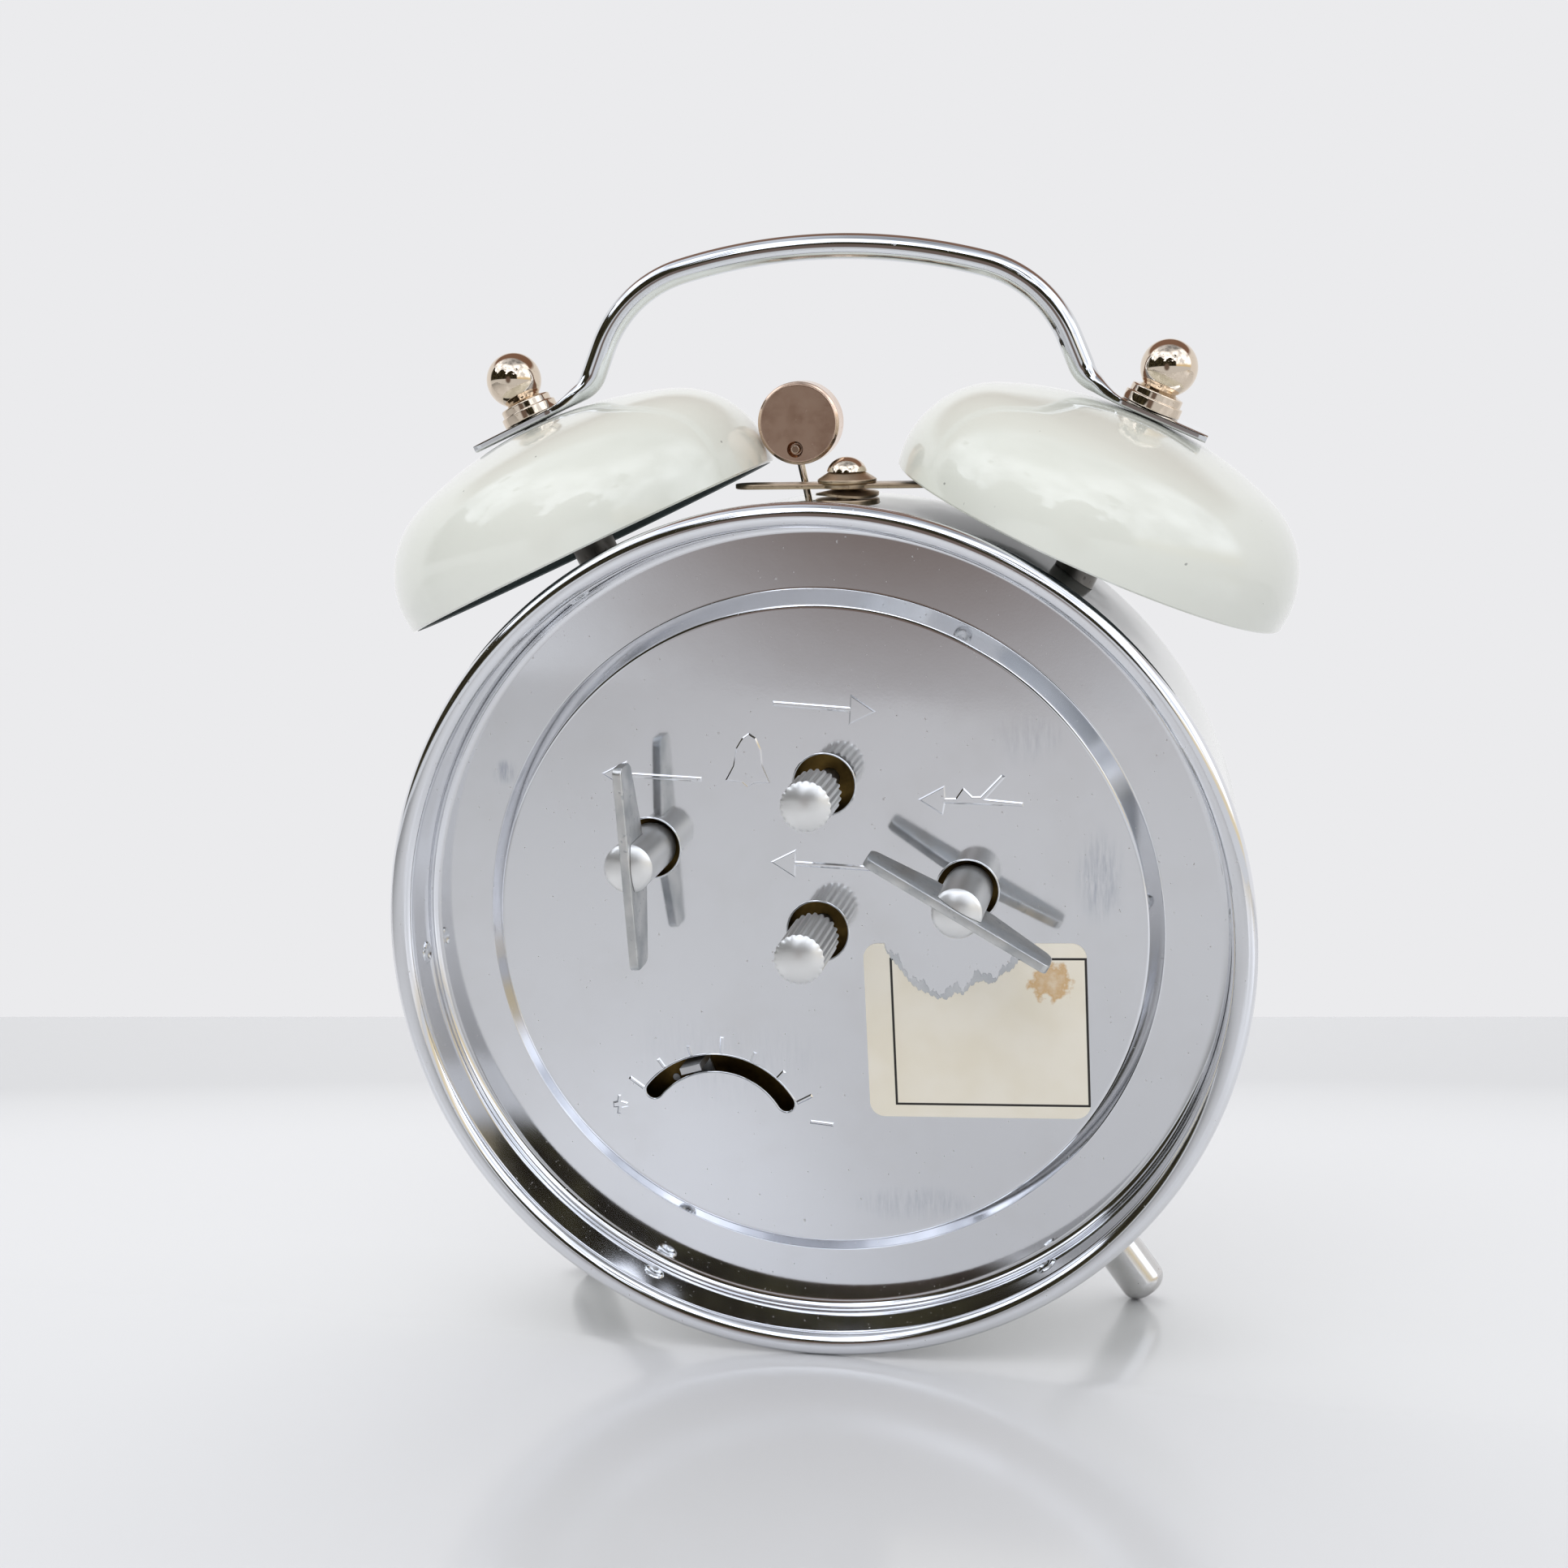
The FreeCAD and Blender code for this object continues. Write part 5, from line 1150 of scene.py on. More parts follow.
@dataclass
class BackCover(Assembly):
    """Pressed back cover: rolled rim, dished wall, sunk ring and raised middle.

    Depths are counted from the rear rim. The holes and the slot lie as the movement does.
    """

    rim: float = 57.5
    roll: float = 1.65
    wall: float = 0.5
    sunk: float = 7.6
    crest: float = 5.7
    middle: float = 43.6
    slope: float = 2.0
    hole: float = 4.05
    holes: tuple[Point, ...] = ((0, 0), (0, 20), (-19.6, 7.3), (23.2, 9.5))
    slot_centre: Point = (12.5, -30.9)
    slot_radius: float = 11.2
    slot_width: float = 2.3
    slot_half: float = 55.0
    stakes: int = 6
    first_stake: float = 52.3
    stake_depth: float = 3.8
    mark_height: float = 0.135

    def profile(self) -> Array:
        """Section of the cover: along the rear face, round the roll and back inside.

        The floor and the wall are straight runs with eased corners; the roll is a circle that
        meets the outside of the wall.

        Returns:
            The closed section, as (radius, height).
        """
        inside = self.rim - 2 * self.roll
        outside = inside + self.wall
        foot = self.middle + self.slope
        ring = self.rim - self.roll
        rear = eased([(0, self.crest), (self.middle, self.crest, 0.8), (foot, self.sunk, 0.45),
                      (inside, self.sunk, 1.3), (inside, 0)], closed=False, step=8)
        meet = 180 - math.degrees(math.acos((ring - outside) / self.roll))
        roll = arc((ring, 0), self.roll, 180, 360 + meet, 7)
        front = eased([(outside, 1.3), (outside, self.sunk + self.wall, 1.8),
                       (foot, self.sunk + self.wall, 0.7),
                       (self.middle, self.crest + self.wall, 0.7),
                       (0, self.crest + self.wall)], closed=False, step=12)
        return np.concatenate([rear, roll[1:], front])

    def tools(self) -> list[tuple[Shell, Place]]:
        """Cutting tools of the four round holes and the regulator slot.

        Returns:
            Each tool with its frame.
        """
        low, high = self.crest - 3, self.crest + 4
        made = [drill(self.hole, low, high, *at) for at in self.holes]
        made.append(plate(self.slot_outline(), low, high))
        return [(shell, MOVEMENT) for shell in made]

    def slot_outline(self) -> Array:
        """Outline of the regulator's curved slot: two arcs about one centre, with round ends.

        Returns:
            The outline, anticlockwise.
        """
        turn = np.linspace(90 - self.slot_half, 90 + self.slot_half, 33)
        half = self.slot_width / 2
        outline = [polar(self.slot_radius - half, turn)]
        for way, start in ((1, 180 + 90 + self.slot_half), (-1, 90 - self.slot_half)):
            middle = polar(self.slot_radius, 90 + way * self.slot_half)
            outline.append(arc(middle, half, start, start - 180, 15)[1:-1])
            if way == 1:
                outline.append(polar(self.slot_radius + half, turn[::-1]))
        return (np.concatenate(outline) + np.asarray(self.slot_centre))[::-1]

    def lips(self) -> Shell:
        """Drawn edges of the openings: a low rounded lip carried round each outline.

        The lip's section goes from inside the sheet over a crest 0.07 mm proud of it and back
        to the sheet 0.26 mm away.

        Returns:
            The five lips.
        """
        section = ((0.0, 0.42), (0.0, 0.0), (-0.05, -0.05), (-0.13, -0.07), (-0.21, -0.04),
                   (-0.26, 0.03), (-0.2, 0.42))
        outlines = [self.slot_outline()]
        outlines += [arc(at, self.hole, 0, 360, 5)[:-1] for at in self.holes]
        shells = []
        for outline in outlines:
            rings = [np.column_stack([inset(outline, way),
                                      np.full(len(outline), self.crest + deep)])
                     for way, deep in section]
            shells.append(loft(np.stack(rings), closed=True))
        return merged(shells)

    def mark_outlines(self) -> list[Array]:
        """Outlines of the signs stamped beside keys, knobs and slot.

        The seven ticks stand off the slot's outer edge, with a longer one at each end and in
        the middle.

        Returns:
            Each outline, in the order of the signs.
        """
        bell = [(13.3, 19.5), (12.3, 21.6), (12.0, 24.0), (11.2, 25.5), (10.3, 26.2),
                (9.3, 25.6), (8.5, 24.0), (8.2, 21.8), (7.1, 19.6), (9.3, 19.4), (10.2, 18.8),
                (11.0, 19.4)]
        wind = [(-26.2, 19.7), (-26.3, 19.1), (-16.1, 18.7), (-15.9, 17.1), (-12.4, 19.0),
                (-15.9, 21.2), (-16.1, 19.5), (-17.4, 19.6), (-18.3, 21.1), (-19.6, 20.0),
                (-20.6, 20.1), (-23.2, 23.2), (-23.8, 22.9), (-21.4, 19.8)]
        plus = [(27.4, -27.6), (27.5, -26.7), (26.9, -26.5), (26.8, -25.6), (26.3, -25.6),
                (26.2, -26.4), (25.3, -26.6), (25.2, -27.2), (26.1, -27.5), (26.2, -28.4),
                (26.9, -28.4), (26.8, -27.5)]
        ticks = []
        for index in range(7):
            turn = 148 - index * 19.33
            inner = self.slot_radius + self.slot_width / 2 + 0.15
            long = 2.5 if index in (0, 3, 6) else 1.6
            at = polar(inner + long / 2, turn) + np.asarray(self.slot_centre)
            ticks.append(bar(*at, long, 0.62, turn))
        alarm_set = arrow((-6.5, 30.2), (7.3, 30.3), 0.37, 3.6, 2.1)
        time_set = arrow((6.8, 9.0), (-6.8, 9.2), 0.37, 3.5, 2.0)
        alarm_wind = arrow((30.2, 19.2), (16.4, 19.4), 0.37, 3.6, 2.0)
        minus = bar(-1.7, -26.75, 3.3, 0.6, 1.5)
        return [alarm_set, time_set, alarm_wind, np.array(bell), np.array(wind),
                np.array(plus), minus, *ticks]

    def marks(self) -> Shell:
        """Stamped signs: each a low step with sloping sides that catch the light.

        An outline is laid on the cover, again 0.2 mm further in and nearly mark_height
        higher, and once more where the slope eases into the flat top.

        Returns:
            The signs.
        """
        levels = ((0.0, self.crest + 0.02), (0.2, self.crest - self.mark_height * 0.9),
                  (0.25, self.crest - self.mark_height))
        shells = []
        for outline in self.mark_outlines():
            edge = outline if area(outline) > 0 else outline[::-1]
            rings = [np.column_stack([inset(edge, way), np.full(len(edge), tall)])
                     for way, tall in levels]
            shells.append(loft(np.stack(rings)))
        return merged(shells)

    def stake_marks(self) -> Shell:
        """Stakes in the wall: a small crater ring with a dimpled middle each.

        A crater is turned from a profile whose height over the wall is a low ring between 0.7
        and 1.45 mm from its middle.

        Returns:
            The craters.
        """
        radius = np.array([0, 0.35, 0.7, 0.95, 1.2, 1.45, 1.6])
        height = np.array([-0.02, 0.02, 0.16, 0.3, 0.26, 0.1, -0.1])
        crater = lathe(np.concatenate([np.column_stack([radius, height]), [[0, -0.1]]]), 28)
        shells = []
        inside = self.rim - 2 * self.roll
        for index in range(self.stakes):
            angle = self.first_stake + 360 / self.stakes * index
            c, s = math.cos(math.radians(angle)), math.sin(math.radians(angle))
            place = MOVEMENT.child((inside * c, inside * s, self.stake_depth),
                                   ((0, 0, 1), (s, -c, 0), (-c, -s, 0)))
            shells.append(Shell(crater.points.copy(), crater.blocks).placed(place, MOVEMENT))
        return merged(shells)

    def build(self) -> None:
        """The pressing with its openings, then the signs, lips and stakes on it."""
        sheet = cut(lathe(self.profile(), 256), MOVEMENT, self.tools())
        self.put("back_cover_pressing", sheet, MOVEMENT, COVER_CHROME, "case", ["back_cover"],
                 "chrome_plate", CUT_CREASE)
        for name, shell, finish, crease in (
                ("cover_signs", self.marks(), COVER_CHROME, math.radians(12)),
                ("cover_hole_edges", self.lips(), CHROME, CREASE),
                ("cover_stakes", self.stake_marks(), CHROME, CREASE)):
            self.put(name, shell, MOVEMENT, finish, "case", slot="chrome_plate", crease=crease)


@dataclass
class PaperLabel(Assembly):
    """Plain paper label with a frame line; its upper edge is torn away in the middle."""

    width: float = 29.5
    height: float = 24.0
    corner: float = 2.0
    thick: float = 0.12
    tear: tuple[Point, ...] = (
        (-8.0, 12.0), (-7.4, 11.0), (-6.2, 10.4), (-5.6, 9.3), (-4.9, 8.4), (-3.6, 7.9),
        (-2.4, 6.5), (-0.6, 6.9), (0.6, 6.2), (1.6, 5.0), (2.6, 5.3), (3.7, 4.4), (5.2, 4.5),
        (6.4, 5.2), (7.6, 5.7), (8.6, 6.6), (9.3, 7.6), (10.2, 8.9), (11.0, 9.9), (11.7, 11.0),
        (11.9, 12.0))
    place: Place = MOVEMENT.moved(-21.9, -11.7, 5.57, -5.2)

    def outline(self) -> Array:
        """Rounded rectangle whose upper edge follows the tear, with a fine fray on it.

        The fray adds two sine waves, of 0.14 and 0.09 mm, to the torn run.

        Returns:
            The outline, anticlockwise.
        """
        x, y = self.width / 2, self.height / 2
        start = eased([(-x, y, self.corner), (-x, -y, self.corner), (x, -y, self.corner),
                       (x, y, self.corner)], hold=0)
        torn = np.array(self.tear[::-1])
        along = np.linspace(0, len(torn) - 1, 180)
        run = np.stack([np.interp(along, np.arange(len(torn)), torn[:, k]) for k in (0, 1)], 1)
        run[1:-1, 1] += 0.14 * np.sin(along[1:-1] * 9.1) + 0.09 * np.sin(along[1:-1] * 23.7 + 1)
        return np.concatenate([start, run])

    def residue(self) -> Shell:
        """Fibres left on the metal beyond the tear: a thin band carried along it.

        The band goes from 0.3 mm under the paper to 1 mm beyond the tear, give or take a sum
        of sine waves, and runs out at both ends of the tear.

        Returns:
            The band.
        """
        torn = np.array(self.tear)
        along = np.linspace(0.4, len(torn) - 1.4, 300)
        run = np.stack([np.interp(along, np.arange(len(torn)), torn[:, k]) for k in (0, 1)], 1)
        reach = (1.0 + 0.45 * np.sin(along * 1.9 + 0.6) + 0.3 * np.sin(along * 5.3)
                 + 0.16 * np.sin(along * 14.1 + 2) + 0.09 * np.sin(along * 31.0))
        reach *= np.clip(np.minimum(along - 0.4, len(torn) - 1.4 - along) / 1.5, 0.03, 1)
        beyond, under = run + (0, 1) * reach[:, None], run - (0, 0.3)
        low, high = 0.07, self.thick - 0.01
        rings = np.stack([np.column_stack([edge, np.full(len(run), level)]) for edge, level in
                          ((under, low), (beyond, low), (beyond, high), (under, high))], 1)
        return loft(rings)

    def build(self) -> None:
        """The label's sheet with its own map in millimetres, and the fibres."""
        shell = plate(self.outline(), 0, self.thick)
        piece = self.put("torn_label", shell, self.place, LABEL_PAPER, "case", ["paper_label"],
                         "cream_paper")
        chart = piece.data.uv_layers.new(name="label")
        index = np.zeros(len(piece.data.loops), np.int64)
        piece.data.loops.foreach_get("vertex_index", index)
        flat = shell.points[index, :2]
        chart.data.foreach_set("uv", flat.astype(np.float32).ravel())
        self.put("torn_fibres", self.residue(), self.place, PAPER_FIBRE, "case",
                 slot="cream_paper")


@dataclass
class CaseDrum(Assembly):
    """Deep drawn steel case: rounded over at the front, with a slot for the hammer wire."""

    outside: float = 55.35
    wall: float = 0.5
    rear: float = 1.8
    depth: float = 44.0
    bend: float = 3.0
    lip: float = 50.8
    window: tuple[float, float, float] = (-6.2, 7.4, 3.2)

    def build(self) -> None:
        """Turned wall with the window for the hammer's wire, given as its ends and width."""
        out, wall = self.outside, self.wall
        profile = eased([(out, self.rear), (out, self.depth, self.bend), (self.lip, self.depth),
                         (self.lip, self.depth - wall),
                         (out - wall, self.depth - wall, self.bend - wall),
                         (out - wall, self.rear)], step=7)
        window = plate(stadium(*self.window), out - 6, out + 2)
        place = CASE.child((0, 0, BELL_PLANE), ((1, 0, 0), (0, 0, -1), (0, 1, 0)))
        shell = cut(lathe(profile, 256), CASE, [(window, place)])
        self.put("case_shell", shell, CASE, DRUM_ENAMEL, "case", ["case_drum"], "white_enamel",
                 CUT_CREASE)


@dataclass
class Bell(Assembly):
    """Drawn bell with a flat crown, a round shoulder and an upright rim, and its ball nut."""

    side: Side = Side.LEFT
    crown: float = 55.0
    height: float = 18.6
    wide: float = 28.2
    mouth: float = 28.0
    belly: float = 2.5
    wall: float = 0.9
    bore: float = 1.7
    nut_seat: float = 19.8
    ball: float = 3.8
    ball_height: float = 5.75
    neck_drop: float = 3.0

    def profile(self) -> tuple[Array, Array]:
        """Outer and inner section of the bell.

        The crown is an arc of its own large radius about a centre on the axis; the shoulder is
        the one arc that touches it and stands upright at the belly.

        Returns:
            Both sections, from the bore to the rim.
        """
        drop = self.crown - self.height
        rise = self.belly + drop
        shoulder = ((self.crown ** 2 - self.wide ** 2 - rise ** 2)
                    / ((self.crown - self.wide) * 2))
        turn = math.degrees(math.atan2(rise, self.wide - shoulder))
        rows = []
        for less in (0.0, self.wall):
            radius = self.crown - less
            start = math.degrees(math.acos(self.bore / radius))
            top = arc((0, -drop), radius, start, turn, 2.2)
            side = arc((self.wide - shoulder, self.belly), shoulder - less, turn, 0, 5)[1:]
            rows.append(np.concatenate([top, side, [[self.mouth - less, 0.25]]]))
        return rows[0], rows[1]

    def build(self) -> None:
        """Enamelled outside, primed inside, and a nickel plated ball nut."""
        outer, inner = self.profile()
        lip = np.array([[self.mouth - 0.2, 0.03], [self.mouth - self.wall + 0.2, 0.03]])
        profile = np.concatenate([outer, lip, inner[::-1]])
        shell = lathe(profile, 192)
        cells = shell.blocks[0].reshape(len(profile), 192, 4)
        split = len(outer) + 1
        shell.blocks = [cells[:split].reshape(-1, 4), cells[split:].reshape(-1, 4)]
        shell.paints = [0, 1]
        name = self.side.label
        self.put(f"bell_gong_{name}", shell, bell_place(self.side), [WHITE_ENAMEL, BELL_PRIMER],
                 "case", [f"bell_{name}"], "white_enamel")
        self.put(f"ball_cap_{name}", lathe(self.nut_profile(), 96),
                 bell_place(self.side).moved(z=self.nut_seat), NICKEL, "case",
                 [f"ball_nut_{name}"], "nickel_plate")

    def nut_profile(self) -> Array:
        """Turned ball nut: two stepped collars, a hollow neck and a ball.

        The neck is an eased run between the upper collar and the ball's lower circle.

        Returns:
            The profile, as (radius, height).
        """
        low = math.degrees(math.asin(-self.neck_drop / self.ball))
        foot = eased([(0, 0), (4.0, 0, 0.15), (4.0, 1.35, 0.2), (3.6, 1.35, 0.08),
                      (3.6, 2.35, 0.25), (2.75, 2.55, 0.3), (2.35, 2.75)], closed=False,
                     hold=0.04)
        ball = arc((0, self.ball_height), self.ball, low, 90, 5)
        return np.concatenate([foot, ball[1:-1], [[0, self.ball_height + self.ball]]])


@dataclass
class Handle(Assembly):
    """Bent round rod over the bells, hammered flat at both ends."""

    top: float = 89.25
    crown: float = 79.0
    shoulder: float = 17.0
    leg_lean: float = 22.3
    bend: float = 4.0
    corner: float = 9.8
    rod: float = 1.75
    strap_width: float = 8.0
    strap_thick: float = 1.1
    strap_seat: float = 18.65
    strap_out: float = 8.4

    def half_path(self) -> Array:
        """Middle line of the right half, from the strap's free end to the crown's middle.

        The strap lies square to the bell's axis; a small arc leads into the leg, and the
        shoulder is the arc that touches both the leg and the crown's large arc.

        Returns:
            The points, as (x, y) of the case frame.
        """
        leg_lean = math.radians(self.leg_lean)
        axis = np.array([math.sin(BELL_LEAN), math.cos(BELL_LEAN)])
        inwards = np.array([-math.cos(BELL_LEAN), math.sin(BELL_LEAN)])
        leg = np.array([-math.sin(leg_lean), math.cos(leg_lean)])
        foot = np.array(BELL_AT) + axis * (self.strap_seat + self.rod)
        corner = foot + inwards * self.corner
        turn = math.acos(float(inwards @ leg))
        tangent = self.bend * math.tan(turn / 2)
        start, leg_start = corner - inwards * tangent, corner + leg * tangent
        middle = np.array([0, self.top - self.crown])
        base = leg_start + np.array([-leg[1], leg[0]]) * self.shoulder - middle
        reach, along = self.crown - self.shoulder, float(base @ leg)
        length = -along + math.sqrt(along ** 2 - float(base @ base) + reach ** 2)
        leg_end, centre = leg_start + leg * length, middle + base + leg * length
        joint = middle + (centre - middle) / np.linalg.norm(centre - middle) * self.crown
        bend_centre = start + axis * self.bend
        return np.concatenate([
            foot - inwards * np.linspace(self.strap_out, 0, 14, endpoint=False)[:, None],
            foot + inwards * np.linspace(0, self.corner - tangent, 14, endpoint=False)[:, None],
            arc_between(bend_centre, start, leg_start, 18)[:-1],
            leg_start + leg * np.linspace(0, length, 18, endpoint=False)[:, None],
            arc_between(centre, leg_end, joint, 26)[:-1],
            arc_between(middle, joint, np.array([0, self.top]), 24),
        ])

    def build(self) -> None:
        """Rod whose section goes smoothly from a flat strap to a circle.

        The section is |x/a|^n + |y/b|^n = 1. Along the rod a shrinks from half the strap's
        width to the rod's radius, b grows from half its thickness, and n falls from 7 to 2.
        A section flatter than the rod is moved by the difference, which keeps one side level.
        """
        half = self.half_path()
        path = np.concatenate([half, (half * (-1, 1))[-2::-1]])
        step = np.linalg.norm(np.diff(path, axis=0), axis=1)
        along = np.concatenate([[0], np.cumsum(step)])
        from_end = np.minimum(along, along[-1] - along)
        share = np.clip((from_end - self.strap_out - 3.6) / 7.5, 0, 1)
        share = share * share * (3 - 2 * share)
        wide = self.strap_width / 2 + (self.rod - self.strap_width / 2) * share ** 0.7
        tall = self.strap_thick / 2 + (self.rod - self.strap_thick / 2) * share
        power = 7 - 5 * np.clip(share * 1.6, 0, 1)
        wide = wide * np.clip((from_end + 0.12) / 0.3, 0.8, 1) ** 0.2
        turn = np.radians(np.arange(48) * 7.5 + 3.75)
        c, s = np.cos(turn), np.sin(turn)
        scale = (np.abs(c)[None] ** power[:, None] + np.abs(s)[None] ** power[:, None])
        scale = scale ** (-1 / power[:, None])
        ahead = np.gradient(path, axis=0)
        ahead /= np.linalg.norm(ahead, axis=1, keepdims=True)
        normal = np.stack([-ahead[:, 1], ahead[:, 0]], 1)
        off = tall[:, None] * s * scale + (self.rod - tall)[:, None]
        flat = path[:, None] + normal[:, None] * off[..., None]
        deep = BELL_PLANE + wide[:, None] * c * scale
        rings = np.concatenate([flat, deep[..., None]], 2)
        self.put("handle_rod", loft(rings), CASE, CHROME, "case", ["handle"], "chrome_plate")


@dataclass
class StopLever(Assembly):
    """Alarm stop lever between its washers, under a riveted spindle head.

    Levels are the undersides of the pieces, counted from the case axis.
    """

    washer_level: float = 55.4
    spring_level: float = 56.25
    lever_level: float = 57.6
    cone_level: float = 58.3
    head_level: float = 59.85
    hole: float = 1.46
    fit: float = 1.45
    washer: float = 4.3
    washer_thick: float = 0.8
    spring: float = 4.2
    spring_rise: float = 0.62
    spring_wave: float = 0.2
    spring_thick: float = 0.3
    lever_thick: float = 0.65
    lever_ease: float = 0.14
    arms: tuple[float, float] = (-13.0, 15.2)
    arm_half: float = 2.3
    hub: float = 3.5
    cone: float = 3.95
    cone_top: float = 2.3
    cone_tall: float = 1.5
    head: float = 2.46

    def build(self) -> None:
        """Flat washer, sprung washer, lever, cone washer and rivet."""
        low, high = self.washer_level, self.washer_level + self.washer_thick
        self.put("stop_flat_washer", lathe(eased([
            (self.hole, low), (self.washer, low, 0.15), (self.washer, high, 0.25),
            (self.hole, high)])), STOP, STOP_STEEL, "case", ["stop_washer"], "nickel_plate")
        self.put("stop_spring_washer", self.sprung(), STOP, STOP_STEEL, "case", ["stop_spring"],
                 "nickel_plate")
        low = self.lever_level
        lever = plate(self.lever_outline(), low, low + self.lever_thick, self.lever_ease)
        self.put("stop_lever_arm", cut(lever, STOP, [(drill(self.fit, low - 1, low + 2), STOP)]),
                 STOP, STOP_STEEL, "stop_lever", ["stop_lever"], "nickel_plate")
        low, high = self.cone_level, self.cone_level + self.cone_tall
        self.put("stop_cone_washer", lathe(eased([
            (self.fit, low), (self.cone, low, 0.2), (self.cone, low + 0.45, 0.2),
            (self.cone_top, high, 0.25), (self.fit, high)])), STOP, STOP_STEEL, "stop_lever",
            ["stop_cone"], "nickel_plate")
        low = self.head_level
        dome = arc((0, low - 0.6), self.head, 13, 90, 6)
        head = np.concatenate([[[0, low], [2.2, low]], dome[:-1] * (1.13, 1.0), [[0, low + 1.8]]])
        pin = eased([(0, 51.3), (1.4, 51.3), (1.4, low + 0.2), (0, low + 0.2)], closed=False)
        collar = eased([(1.3, 53.35), (2.3, 53.35), (2.3, 54.35), (1.3, 54.35)], hold=0)
        shells = merged([lathe(head, 72), lathe(pin, 48), lathe(collar, 48)])
        self.put("stop_rivet", shells, STOP, NICKEL, "stop_lever", ["stop_spindle"],
                 "nickel_plate")

    def sprung(self) -> Shell:
        """Waved spring washer, whose height is rise (2 - r') plus a wave of r' sin 2a.

        The share r' goes from 0 at its bore to 1 at its edge.

        Returns:
            The closed washer.
        """
        turn = np.radians(np.arange(72) * 5)
        across = np.linspace(0, 1, 6)
        radius = self.hole + 0.05 + (self.spring - self.hole) * across
        rise = self.spring_rise * (1 - across[:, None])
        wave = self.spring_wave * across[:, None] * np.sin(2 * turn)
        tall = self.spring_level + self.spring_rise + rise + wave
        top = np.stack([radius[:, None] * np.cos(turn), radius[:, None] * np.sin(turn), tall], 2)
        under = top - (0, 0, self.spring_thick)
        rings = np.concatenate([top, under[::-1]])
        return Shell(rings.reshape(-1, 3), [grid_faces(len(rings), 72, True, True)])

    def lever_outline(self) -> Array:
        """Lever seen from above: two arms with round ends and a round hub.

        Returns:
            The outline, anticlockwise.
        """
        half, hub, (left, right) = self.arm_half, self.hub, self.arms
        meet = math.degrees(math.asin(half / hub))
        return np.concatenate([
            arc((right - half, 0), half, -90, 90, 12), arc((0, 0), hub, meet, 180 - meet, 8),
            arc((left + half, 0), half, 90, 270, 12),
            arc((0, 0), hub, 180 + meet, 360 - meet, 8)])


@dataclass
class Hammer(Assembly):
    """Hammer disc staked on its wire. The pit is the section of the staking punch."""

    radius: float = 5.6
    thick: float = 4.5
    reach: float = 36.96
    beside: float = -1.1
    stake: float = 33.6
    wire: float = 0.5
    wire_start: float = 1.85
    pit: tuple[Point, ...] = ((0, -0.5), (0.8, -0.5), (1.1, 0.5), (1.4, 1.0), (0, 1.0))

    def build(self) -> None:
        """Disc with eased edges and staking pits, and the wire up to it."""
        low, high = BELL_PLANE - self.thick / 2, BELL_PLANE + self.thick / 2
        rim = self.radius
        profile = eased([(0, low), (rim - 0.6, low), (rim - 0.35, low, 0.12),
                         (rim - 0.3, low + 0.2, 0.1), (rim, low + 0.45, 0.2),
                         (rim, high - 0.2, 0.2), (rim - 0.2, high, 0.1), (rim - 0.5, high),
                         (0, high)], closed=False, hold=0.04)
        at = HAMMER.moved(self.beside, self.reach)
        pit = eased(self.pit, closed=False)
        tools = []
        for face, way in ((low, 1), (high, -1)):
            where = HAMMER.child((0, self.stake, face), ((1, 0, 0), (0, way, 0), (0, 0, way)))
            where = where.child((0, 0, 0.5), ((1, 0, 0), (0, -1, 0), (0, 0, -1)))
            tools.append((lathe(pit, 40), where))
        disc = cut(lathe(profile, 128), at, tools)
        self.put("hammer_head", disc, at, DISC_NICKEL, "hammer", ["hammer_disc"], "nickel_plate",
                 CUT_CREASE)
        run = np.linspace(self.wire_start, self.stake - 1.0, 24)
        path = np.column_stack([0.06 * np.sin(run / 5), run, np.full(24, BELL_PLANE)])
        rod = tube(path, self.wire)
        stud = lathe(eased([(0, 0), (0.55, 0, 0.1), (0.62, 0.35), (0, 0.35)], closed=False), 28)
        stud = stud.placed(HAMMER.moved(0, self.stake, low + 0.12), HAMMER)
        self.put("hammer_rod", merged([rod, stud]), HAMMER, NICKEL, "hammer", ["hammer_wire"],
                 "nickel_plate")


